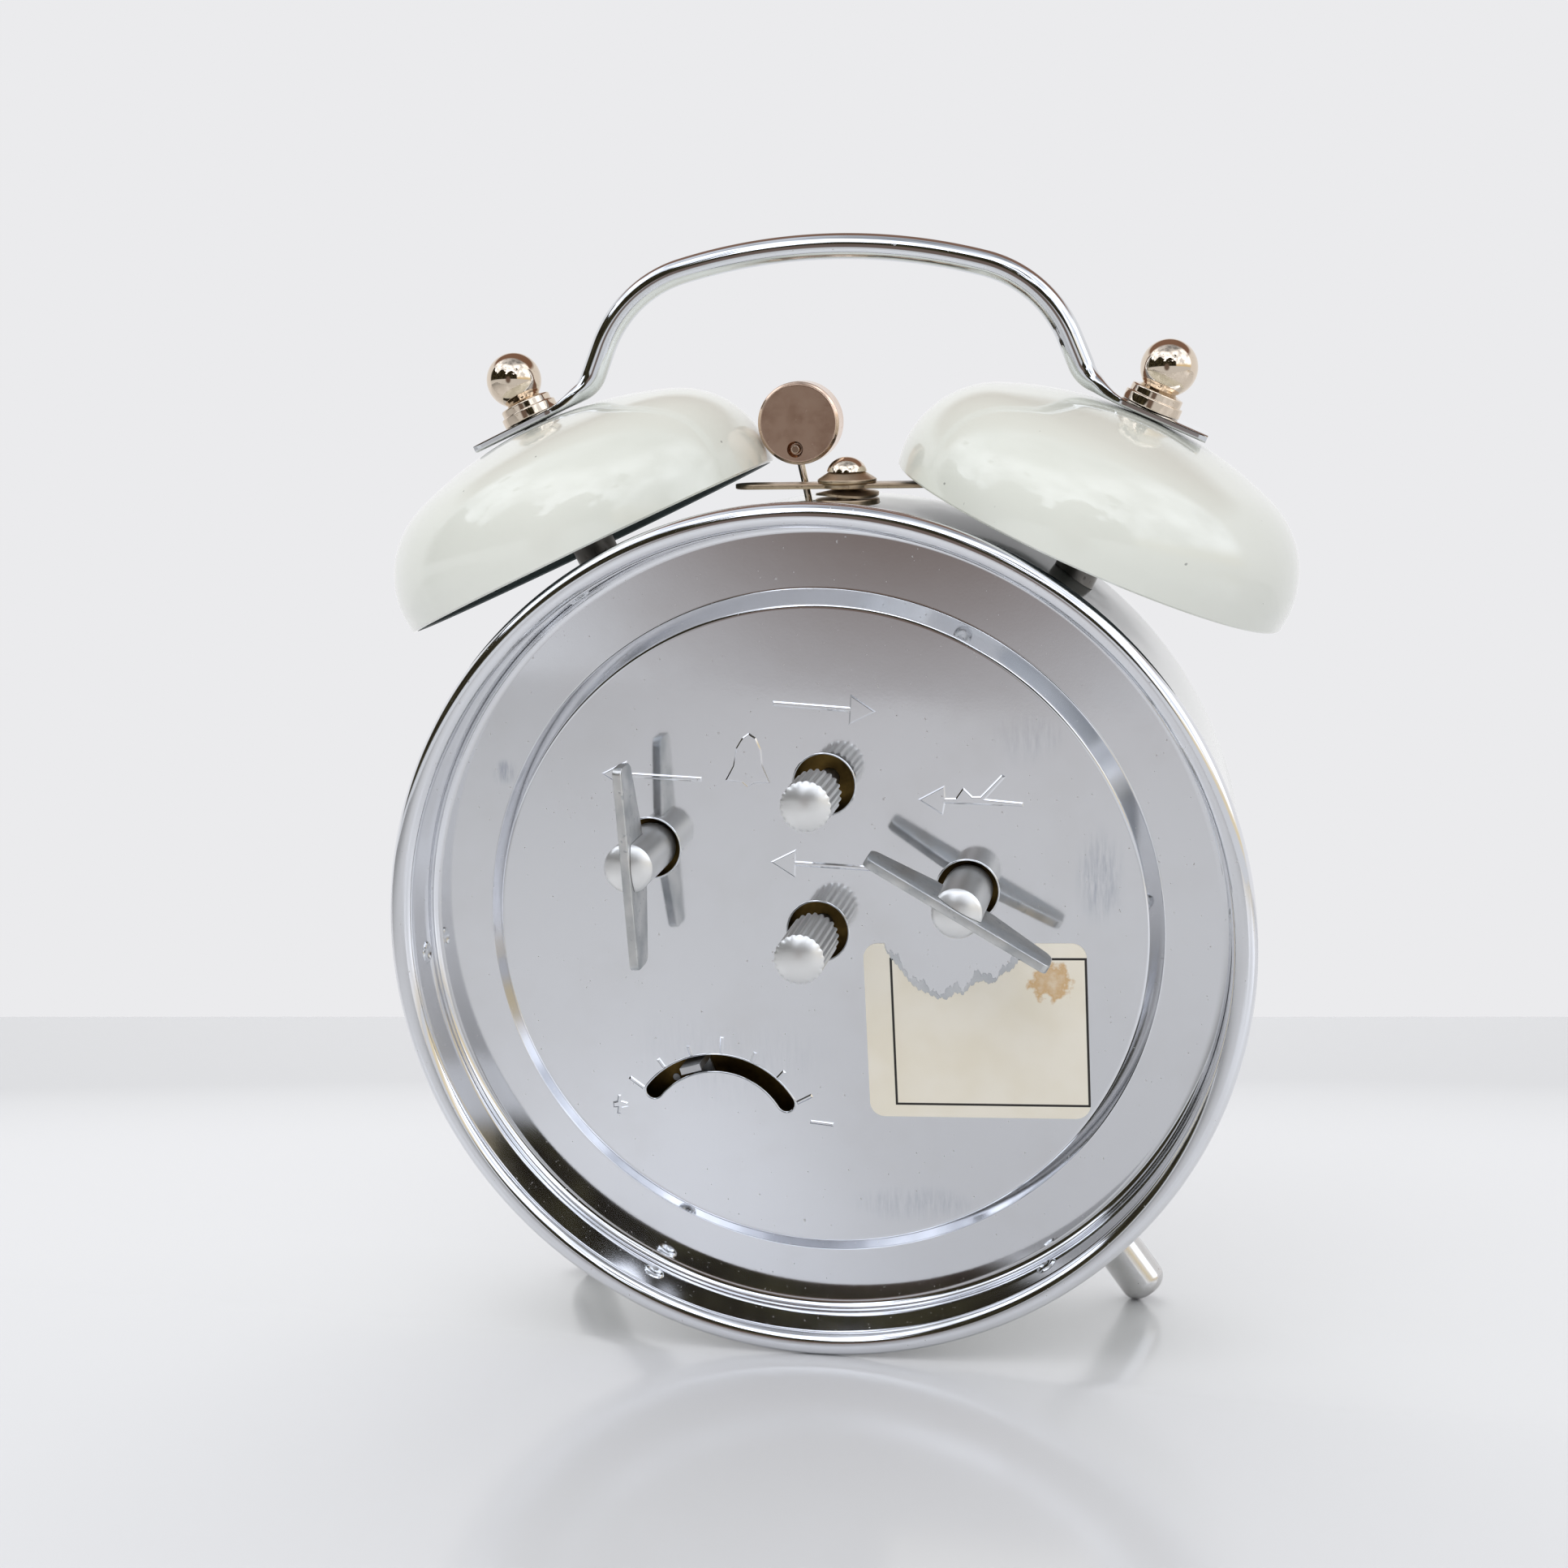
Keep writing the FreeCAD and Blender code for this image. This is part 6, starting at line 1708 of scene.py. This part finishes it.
@dataclass
class WindingKey(Assembly):
    """Winding key: a domed round hub with a stamped wing in its slot.

    Depths are counted from the hub's domed tip along the arbor, lie in degrees from +x.
    """

    name: str = "time"
    at: Point = (-19.6, 7.3)
    lie: float = 27.0
    radius: float = 3.25
    tip: float = 7.3
    length: float = 14.4
    dome: float = 1.1
    half: float = 13.4
    thick: float = 1.2
    proud: float = 0.3
    tip_depth: float = 5.2
    hub_depth: float = 7.8
    bore: float = 1.65
    play: float = 0.06

    def build(self) -> None:
        """Hub, then wing, in the key's own frame."""
        place = MOVEMENT.moved(*self.at, -self.tip, self.lie)
        radius, dome = self.radius, self.dome
        ball = (radius * radius + dome * dome) / (2 * dome)
        edge = math.degrees(math.asin(radius / ball))
        cap = arc((0, ball), ball, 270, 270 + edge - 3, 3)
        cap[0, 0] = 0
        sides = eased([(radius, dome + 0.12, 0.1), (radius, self.length, 0.2),
                       (self.bore, self.length), (self.bore, self.hub_depth + 0.5),
                       (0, self.hub_depth + 0.5)], closed=False)
        hub = lathe(np.concatenate([cap, sides]), 96)
        gap = self.thick / 2 + self.play
        depth = self.hub_depth - self.proud + 0.05
        slot = plate(np.array([(-6, -gap), (6, -gap), (6, gap), (-6, gap)], float), -1, depth)
        self.put(f"{self.name}_key_barrel", cut(hub, place, [(slot, place)]), place, ALUMINIUM,
                 f"{self.name}_key", [f"{self.name}_key_hub"], "turned_aluminium", CUT_CREASE)
        self.put(f"{self.name}_key_plate", self.wing(), place, STAMPED, f"{self.name}_key",
                 [f"{self.name}_key_wing"], "turned_aluminium", math.radians(40))

    def wing(self) -> Shell:
        """Stamped wing: an outline in the plane of the key's axis, with eased edges.

        Returns:
            The wing, in the key's frame.
        """
        low, tip = -self.proud, self.tip_depth - self.proud
        deep, waist = self.hub_depth - self.proud, self.radius + 0.9
        right = [(waist, deep, 0.8), (self.half - 0.6, tip, 1.4), (self.half, tip - 1.0, 1.0),
                 (self.half, low, 0.9)]
        corners = right + [(-x, *rest) for x, *rest in reversed(right)]
        flat = plate(eased(corners, hold=0.05), -self.thick / 2, self.thick / 2, 0.16)
        return Shell(flat.points[:, (0, 2, 1)], flat.blocks)


@dataclass
class SettingKnob(Assembly):
    """Fluted setting knob with a domed end and a plain neck."""

    name: str = "time_set"
    at: Point = (0.0, 0.0)
    radius: float = 3.3
    tip: float = 9.2
    length: float = 13.7
    sleeve: float = 12.2
    neck: float = 1.7
    bore: float = 1.3
    dome: float = 1.1
    flutes: int = 22
    flute_depth: float = 0.3

    def build(self) -> None:
        """Knob as a grid over angle a and length z.

        The radius is R - d |cos(n a / 2)|^3 on the fluted sleeve of n flutes, with the depth d
        running out towards its ends; the tip is the cap of a sphere, and the neck turns in to
        a blind bore.
        """
        ball = (self.radius ** 2 + self.dome ** 2) / (2 * self.dome)
        cap = arc((0, ball), ball, 270, 270 + math.degrees(math.asin(self.radius / ball)), 3)[1:]
        side = np.concatenate([[self.dome + d for d in (0.1, 0.25, 0.4, 0.6, 0.9, 1.3)],
                               np.linspace(self.dome + 2, self.sleeve - 0.9, 12),
                               [self.sleeve - 0.5, self.sleeve - 0.25, self.sleeve]])
        neck = [(self.neck, self.sleeve), (self.neck, self.length), (self.bore, self.length),
                (self.bore, self.length / 2)]
        tall = np.concatenate([cap[:, 1], side, [z for _, z in neck]])
        base = np.concatenate([cap[:, 0], np.full(len(side), self.radius),
                               [r for r, _ in neck]])
        fade = np.clip((tall - self.dome * 0.75) / 0.7, 0, 1)
        fade *= np.clip((self.sleeve + 0.3 - tall) / 0.3, 0, 1)
        fade[-len(neck):] = 0
        turn = np.linspace(0, 2 * np.pi, self.flutes * 14, endpoint=False)
        groove = np.abs(np.cos(self.flutes * turn / 2)) ** 3
        radius = base[:, None] - self.flute_depth * fade[:, None] * groove[None]
        grid = np.stack([radius * np.cos(turn), radius * np.sin(turn),
                         np.broadcast_to(tall[:, None], radius.shape)], 2)
        shell = capped(grid, (0, 0, 0), (0, 0, self.length / 2))
        self.put(f"{self.name}_fluted_knob", shell, MOVEMENT.moved(*self.at, -self.tip),
                 ALUMINIUM, self.name, [f"{self.name}_knob"], "turned_aluminium",
                 math.radians(50))


@dataclass
class Foot(Assembly):
    """Turned foot with a rounded end; its stud is given as its radius and its two ends."""

    side: Side = Side.LEFT
    radius: float = 3.3
    reach: float = 74.7
    ease: float = 2.2
    seat: float = 55.41
    stud: tuple[float, float, float] = (1.5, 50.2, 57.0)

    def build(self) -> None:
        """Shank whose upper end follows the drum, and its stud.

        The seat on the drum is the saddle z = sqrt(R^2 - x^2), with x across the case axis.
        """
        place = foot_place(self.side)
        turn = np.radians(np.arange(96) * 3.75)
        across = np.cos(turn) * self.radius
        seat = np.sqrt(self.seat ** 2 - across ** 2)
        end = eased([(self.radius, 60.0), (self.radius, self.reach, self.ease), (0, self.reach)],
                    closed=False, step=7)
        rows = [np.column_stack([polar(self.radius, np.degrees(turn)), seat + up])
                for up in (0.0, 0.4)]
        rows += [np.column_stack([polar(r, np.degrees(turn)), np.full(len(turn), z)])
                 for r, z in end[1:-1]]
        shank = capped(np.stack(rows), (0, 0, self.seat), (0, 0, self.reach))
        thin, low, high = self.stud
        stud = lathe(eased([(0, low), (thin, low, 0.3), (thin, high), (0, high)],
                           closed=False), 32)
        name = self.side.label
        self.put(f"foot_peg_{name}", merged([shank, stud]), place, FOOT_CHROME, "case",
                 [f"foot_{name}"], "chrome_plate")


@dataclass
class DialSide(Assembly):
    """Front of the clock: bezel, domed glass and the print on the dial.

    The bezel's ring is given as its inner and outer radius, its rear and its front.
    """

    ring: tuple[float, float, float, float] = (47.55, 50.65, 43.5, 45.4)
    glass_flat: float = 47.1
    glass_rise: float = 1.4
    glass_level: float = 42.25
    glass_edge: float = 52.3
    glass_thick: float = 1.1
    dial_face: float = 36.9
    numeral_radius: float = 38.6
    numeral_size: float = 8.4
    track: float = 46.4
    alarm_at: Point = (0, 20)
    alarm_track: float = 8.6
    alarm_radius: float = 6.4
    alarm_size: float = 2.3

    def build(self) -> None:
        """Bezel, glass whose two faces are caps of one sphere, and the print."""
        near, far, low, high = self.ring
        self.put("front_ring", lathe(eased([
            (near, low), (far, low), (far, high, 1.2), (near, high, 1.2)], step=6), 256),
            CASE, CHROME, "case", ["front_bezel"], "chrome_plate")
        flat, rise, low = self.glass_flat, self.glass_rise, self.glass_level
        ball = (flat * flat + rise * rise) / (2 * rise)
        edge = math.degrees(math.asin(flat / ball))
        rows = []
        for front in (0.0, self.glass_thick):
            cap = arc((0, low + front + rise - ball), ball, 90, 90 - edge, 0.4)
            rim = [[flat + 0.4, low + front], [self.glass_edge, low + front]]
            rows.append(np.concatenate([cap, rim]))
        rows[0][0, 0] = rows[1][0, 0] = 0
        self.put("domed_glass", lathe(np.concatenate([rows[1], rows[0][::-1]]), 192), CASE,
                 GLASS, "case", ["dial_glass"], "clear_glass")
        self.put("dial_print", self.track_marks(), MOVEMENT, DIAL_INK, "case",
                 slot="black_hands")
        self.numerals()

    def track_marks(self) -> Shell:
        """Minute track: sixty bars, every fifth longer and wider, between two fine rings.

        A bar is a thin plate laid on the dial; the alarm ring round its arbor has twelve.

        Returns:
            The bars and rings.
        """
        low, high = self.dial_face + 0.01, self.dial_face + 0.035
        shells = []
        for index in range(60):
            long, wide = (2.8, 1.1) if index % 5 == 0 else (1.9, 0.34)
            shells.append(self.stroke((0, 0), self.track, long, wide, 6 * index))
        for index in range(12):
            long, wide = (1.4, 0.5) if index % 3 == 0 else (0.9, 0.25)
            shells.append(self.stroke(self.alarm_at, self.alarm_track, long, wide, 30 * index))
        for centre, radius in (((0, 0), self.track), ((0, 0), self.track + 2.9),
                               (self.alarm_at, self.alarm_track + 1.5)):
            ring = lathe(np.array([(radius, low), (radius + 0.2, low), (radius + 0.2, high),
                                   (radius, high)]), 240)
            ring.points[:, :2] += centre
            shells.append(ring)
        return merged(shells)

    def stroke(self, centre: Point, start: float, long: float, wide: float,
               turn: float) -> Shell:
        """One bar of a track, pointing away from the centre.

        Args:
            centre: The track's centre.
            start: The track's radius.
            long: The bar's length.
            wide: The bar's width.
            turn: Its angle, in degrees from +x.

        Returns:
            The bar.
        """
        along, across = polar(1, turn), polar(wide / 2, turn + 90)
        near, far = along * (start + 0.1), along * (start + 0.1 + long)
        outline = np.asarray(centre) + np.array([near - across, far - across, far + across,
                                                 near + across])
        return plate(outline, self.dial_face + 0.01, self.dial_face + 0.04)

    def numerals(self) -> None:
        """Plain numerals one to twelve and the alarm ring's, as thin raised print."""
        shells = []
        jobs = [(str(n), (0, 0), self.numeral_radius, self.numeral_size, 90 - 30 * n)
                for n in range(1, 13)]
        jobs += [(str(n), self.alarm_at, self.alarm_radius, self.alarm_size, 90 + 30 * n)
                 for n in (3, 6, 9, 12)]
        for text, centre, radius, tall, turn in jobs:
            letter = bpy.data.curves.new("numeral", "FONT")
            letter.body, letter.size, letter.extrude = text, tall, 0.012
            letter.align_x, letter.align_y = "CENTER", "CENTER"
            letter.resolution_u = 6
            holder = new_object("numeral", letter)
            graph = bpy.context.evaluated_depsgraph_get()
            raw = shell_of(bpy.data.meshes.new_from_object(holder.evaluated_get(graph)))
            points, welded = np.unique(raw.points.round(5), axis=0, return_inverse=True)
            points[:, :2] -= (points[:, :2].min(0) + points[:, :2].max(0)) / 2
            points += (*(np.asarray(centre) + polar(radius, turn)), self.dial_face + 0.022)
            shells.append(Shell(points, [welded.ravel()[block] for block in raw.blocks]))
            bpy.data.objects.remove(holder)
        self.put("dial_numerals", merged(shells), MOVEMENT, DIAL_INK, "case",
                 slot="black_hands")


@dataclass
class Movement(Assembly):
    """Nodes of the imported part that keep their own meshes, each with its finish."""

    finishes: dict[str, Finish] = field(default_factory=lambda: {
        **dict.fromkeys(("back_plate", "front_plate", "great_wheel", "centre_wheel",
                         "third_wheel", "fourth_wheel", "escape_wheel", "alarm_great_wheel",
                         "alarm_escape_wheel", "minute_wheel", "hour_wheel", "alarm_wheel",
                         "balance", "plate_pillars", "dial_pillars"), CLOCK_BRASS),
        **dict.fromkeys(("pillar_nuts", "case_nuts", "pallet", "hammer_arbor", "centre_arbor",
                         "alarm_set_arbor", "time_winding_arbor", "alarm_winding_arbor",
                         "regulator_lever"), STEEL),
        **dict.fromkeys(("hairspring", "time_mainspring", "alarm_mainspring"), SPRING_STEEL),
        # The bell posts take steel darkened as painted shade, for the bells' shade over them.
        **dict.fromkeys(("bell_post_left", "bell_post_right"), SHADED_POST_STEEL),
        **dict.fromkeys(("hour_hand", "minute_hand", "alarm_hand"), HAND_LACQUER),
        "dial": DIAL_CARD, "dial_ring": WHITE_ENAMEL,
    })

    def build(self) -> None:
        """Gives each node that still shows its finish."""
        for name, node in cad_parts.items():
            if node.hide_render:
                continue
            finish = self.finishes.get(name, STEEL)
            if name not in self.finishes:
                log.warning("no finish named for %s", name)
            node.data.materials.clear()
            node.data.materials.append(finish.material())
            log.info("%s keeps its packed mesh, in %s", name, finish.name)


@dataclass
class Studio:
    """Glossy pale table, plain backdrop, soft light and the camera.

    A fill is a lamp's name, power in watts, place and direction; places are in metres.
    """

    camera_at: Point = (-0.0557, 0.3270, 0.09945)
    camera_way: Point = (0.1888, -0.9796, -0.0692)
    view_degrees: float = 36.12
    far_edge: float = 0.5956
    near_edge: float = 0.04
    half_width: float = 0.9
    table_thick_mm: float = 25.0
    table_round_mm: float = 8.0
    table_ease_mm: float = 1.2
    backdrop: str = "#EBEBED"
    soft: str = "#FFFFFF"
    soft_level: float = 0.77
    sun_power: float = 0.45
    sun_spread: float = 60.0
    sun_way: Point = (-0.30, -0.70, -0.65)
    sun_tint: str = "#FBFCFF"
    fill_size: float = 0.35
    fills: tuple[tuple[str, float, Point, Point], ...] = (
        ("front_fill", 0.6, (-0.02, 0.42, 0.5), (0, -0.35, -0.94)),
        ("back_fill", 0.8, (0.05, -0.38, 0.45), (0, 0.2, -0.98)))
    sky: str = "#F0F5FF"
    sky_low: float = 1.1
    sky_high: float = 3.2
    zenith: float = 0.3
    backdrop_level: float = 1.1
    low_sky: str = "#F3E2BE"
    shade: str = "#1B1511"
    leaves: str = "#4A4632"
    ground: str = "#E0E2E6"
    brown: str = "#75665F"
    shape_at: Point = (0.13, -0.06)
    shape_width: float = 0.20
    shape_height: float = 0.26
    tree_line: float = -0.26
    wall: str = "#8C6F60"

    def build(self) -> None:
        """Camera, table, lamps and world."""
        self.make_camera()
        self.make_table()
        self.make_lights()
        self.make_world()
        bpy.context.scene.view_settings.view_transform = "Standard"

    def aim(self, item: bpy.types.Object, way: Point) -> None:
        """Turns a lamp or the camera towards a direction."""
        item.rotation_mode = "QUATERNION"
        item.rotation_quaternion = Vector(way).to_track_quat("-Z", "Y")

    def make_camera(self) -> None:
        """Camera at the viewing angle of the photograph, with no shift."""
        data = bpy.data.cameras.new("camera")
        data.sensor_width = 36
        data.lens = 18 / math.tan(math.radians(self.view_degrees / 2))
        data.clip_start, data.clip_end = 0.01, 20
        camera = new_object("camera", data)
        camera.location = self.camera_at
        self.aim(camera, self.camera_way)
        bpy.context.scene.camera = camera

    def make_table(self) -> None:
        """Table top with a straight far edge square to the view and rounded borders.

        It ends a little in front of the camera, where the room behind it starts.
        """
        way = np.array(self.camera_way[:2])
        way /= np.linalg.norm(way)
        side = np.array([-way[1], way[0]])
        eye = np.array(self.camera_at[:2])
        reach = ((self.far_edge, -1), (self.far_edge, 1), (self.near_edge, 1),
                 (self.near_edge, -1))
        outline = [(eye + way * far + side * end * self.half_width) / MM for far, end in reach]
        corners = [(*corner, self.table_round_mm) for corner in outline]
        shell = plate(eased(corners, hold=0), -self.table_thick_mm, 0, self.table_ease_mm)
        mesh = new_mesh("table_top", shell, shell.points * MM)
        mesh.shade_smooth()
        mesh.set_sharp_from_angle(angle=CREASE)
        mesh.materials.append(TABLE_BOARD.material())
        new_object("table_top", mesh)

    def make_lights(self) -> None:
        """Soft light from a wide patch of sky, and a weak fill over each end of the table."""
        data = bpy.data.lights.new("open_sky", "SUN")
        data.energy, data.angle = self.sun_power, math.radians(self.sun_spread)
        data.color = tint(self.sun_tint)[:3]
        lamp = new_object("open_sky", data)
        self.aim(lamp, self.sun_way)
        lamp.visible_glossy = False
        for name, power, at, way in self.fills:
            data = bpy.data.lights.new(name, "AREA")
            data.energy, data.size = power, self.fill_size
            lamp = new_object(name, data)
            lamp.location = at
            self.aim(lamp, way)
            lamp.visible_glossy = False

    def make_world(self) -> None:
        """Even pale light; bright metal sees the open place that the clock was seen in.

        A direction (x, y, z) shows, in this order: a cloudy sky; a warm low band near the
        horizon; trees where x is positive and z under a ragged line; a dark shape behind the
        camera, an ellipse in x and z; the table's tone below the horizon; and towards -y the
        backdrop, with a brown wall over it.
        """
        world = bpy.data.worlds.new("open_place")
        bpy.context.scene.world = world
        world.use_nodes = True
        world.node_tree.nodes.clear()
        add = partial(add_node, world.node_tree)
        way = add("TexCoord").outputs["Generated"]
        parts = add("SeparateXYZ", {"Vector": way})
        x, y, z = (parts.outputs[axis] for axis in "XYZ")
        cloud = add("TexNoise", {"Vector": way, "Scale": 2.6, "Detail": 6.0,
                                 "Roughness": 0.6})
        leaf = add("TexNoise", {"Vector": way, "Scale": 9.0, "Detail": 5.0, "Roughness": 0.7})
        crowns = add("TexNoise", {"Vector": way, "Scale": 3.6, "Detail": 2.0})
        white = add("MapRange", {"Value": cloud, "From Min": 0.4, "From Max": 0.62,
                                 "To Min": self.sky_low, "To Max": self.sky_high})
        dim = add("MapRange", {"Value": z, "From Min": 0.78, "From Max": 0.93,
                               "To Min": 1.0, "To Max": self.zenith},
                  interpolation_type="SMOOTHSTEP")
        white = add("Math", {0: white, 1: dim}, operation="MULTIPLY")
        sky = add("VectorMath", {0: tint(self.sky)[:3], "Scale": white}, operation="SCALE")
        near = add("MapRange", {"Value": z, "From Min": 0.06, "From Max": 0.26,
                                "To Min": 1.0, "To Max": 0.0},
                   interpolation_type="SMOOTHSTEP")
        room = add("Mix", {0: near, 6: sky, 7: tint(self.low_sky)}, data_type="RGBA")
        top = add("Math", {0: crowns, 1: 1.5, 2: self.tree_line}, operation="MULTIPLY_ADD")
        over = add("Math", {0: top, 1: z}, operation="SUBTRACT")
        ragged = add("Math", {0: leaf, 1: 0.24, 2: over}, operation="MULTIPLY_ADD")
        high = add("MapRange", {"Value": ragged, "From Min": 0.1, "From Max": 0.14})
        aside = add("Math", {0: leaf, 1: 0.3, 2: x}, operation="MULTIPLY_ADD")
        side = add("MapRange", {"Value": aside, "From Min": -0.37, "From Max": -0.30})
        tree = add("Math", {0: high, 1: side}, operation="MULTIPLY")
        tone = add("MapRange", {"Value": leaf, "From Min": 0.4, "From Max": 0.65})
        leaves = add("Mix", {0: tone, 6: tint(self.shade), 7: tint(self.leaves)},
                     data_type="RGBA")
        room = add("Mix", {0: tree, 6: room, 7: leaves}, data_type="RGBA")
        below = add("MapRange", {"Value": z, "From Min": -0.02, "From Max": 0.03,
                                 "To Min": 1.0, "To Max": 0.0})
        room = add("Mix", {0: below, 6: room, 7: tint(self.ground)}, data_type="RGBA")
        wide = add("Math", {0: x, 1: self.shape_at[0]}, operation="SUBTRACT")
        wide = add("Math", {0: wide, 1: self.shape_width}, operation="DIVIDE")
        tall = add("Math", {0: z, 1: self.shape_at[1]}, operation="SUBTRACT")
        tall = add("Math", {0: tall, 1: self.shape_height}, operation="DIVIDE")
        reach = add("CombineXYZ", {"X": wide, "Y": tall})
        reach = add("VectorMath", {0: reach}, operation="LENGTH")
        shape = add("MapRange", {"Value": reach.outputs["Value"], "From Min": 0.55,
                                 "From Max": 1.25, "To Min": 1.0, "To Max": 0.0},
                    interpolation_type="SMOOTHSTEP")
        room = add("Mix", {0: shape, 6: room, 7: tint(self.brown)}, data_type="RGBA")
        high = add("MapRange", {"Value": z, "From Min": 0.5, "From Max": 0.62})
        lit_back = [channel * self.backdrop_level for channel in tint(self.backdrop)[:3]]
        back = add("Mix", {0: high, 6: (*lit_back, 1.0), 7: tint(self.wall)},
                   data_type="RGBA")
        front = add("MapRange", {"Value": y, "From Min": -0.2, "From Max": -0.05})
        mirror = add("Mix", {0: front, 6: back, 7: room}, data_type="RGBA")
        light = add("LightPath")
        seen = add("Background", {"Color": tint(self.backdrop)})
        glossy = add("Background", {"Color": mirror})
        soft = add("Background", {"Color": tint(self.soft), "Strength": self.soft_level})
        sees = add("Math", {0: light.outputs["Is Glossy Ray"],
                            1: light.outputs["Is Transmission Ray"]}, operation="MAXIMUM")
        lit = add("MixShader", {0: sees, 1: soft, 2: glossy})
        add("OutputWorld", {"Surface": add("MixShader", {0: light.outputs["Is Camera Ray"],
                                                         1: lit, 2: seen})})


def main() -> None:
    """Builds the clock's sub-assemblies in order, then the studio."""
    logging.basicConfig(level=logging.INFO, format="%(name)s: %(message)s", stream=sys.stdout)
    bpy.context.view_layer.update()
    parts: list[Assembly | Studio] = [
        CaseDrum(), BackCover(), PaperLabel(), DialSide(), Bell(Side.LEFT), Bell(Side.RIGHT),
        Handle(), StopLever(), Hammer(), WindingKey("time"),
        WindingKey("alarm", (23.2, 9.5), 83.3), SettingKnob("time_set"),
        SettingKnob("alarm_set", (0.0, 20.0), sleeve=9.1), Foot(Side.LEFT), Foot(Side.RIGHT),
        Movement(), Studio(),
    ]
    for part in parts:
        part.build()


if __name__ == "__main__":
    main()
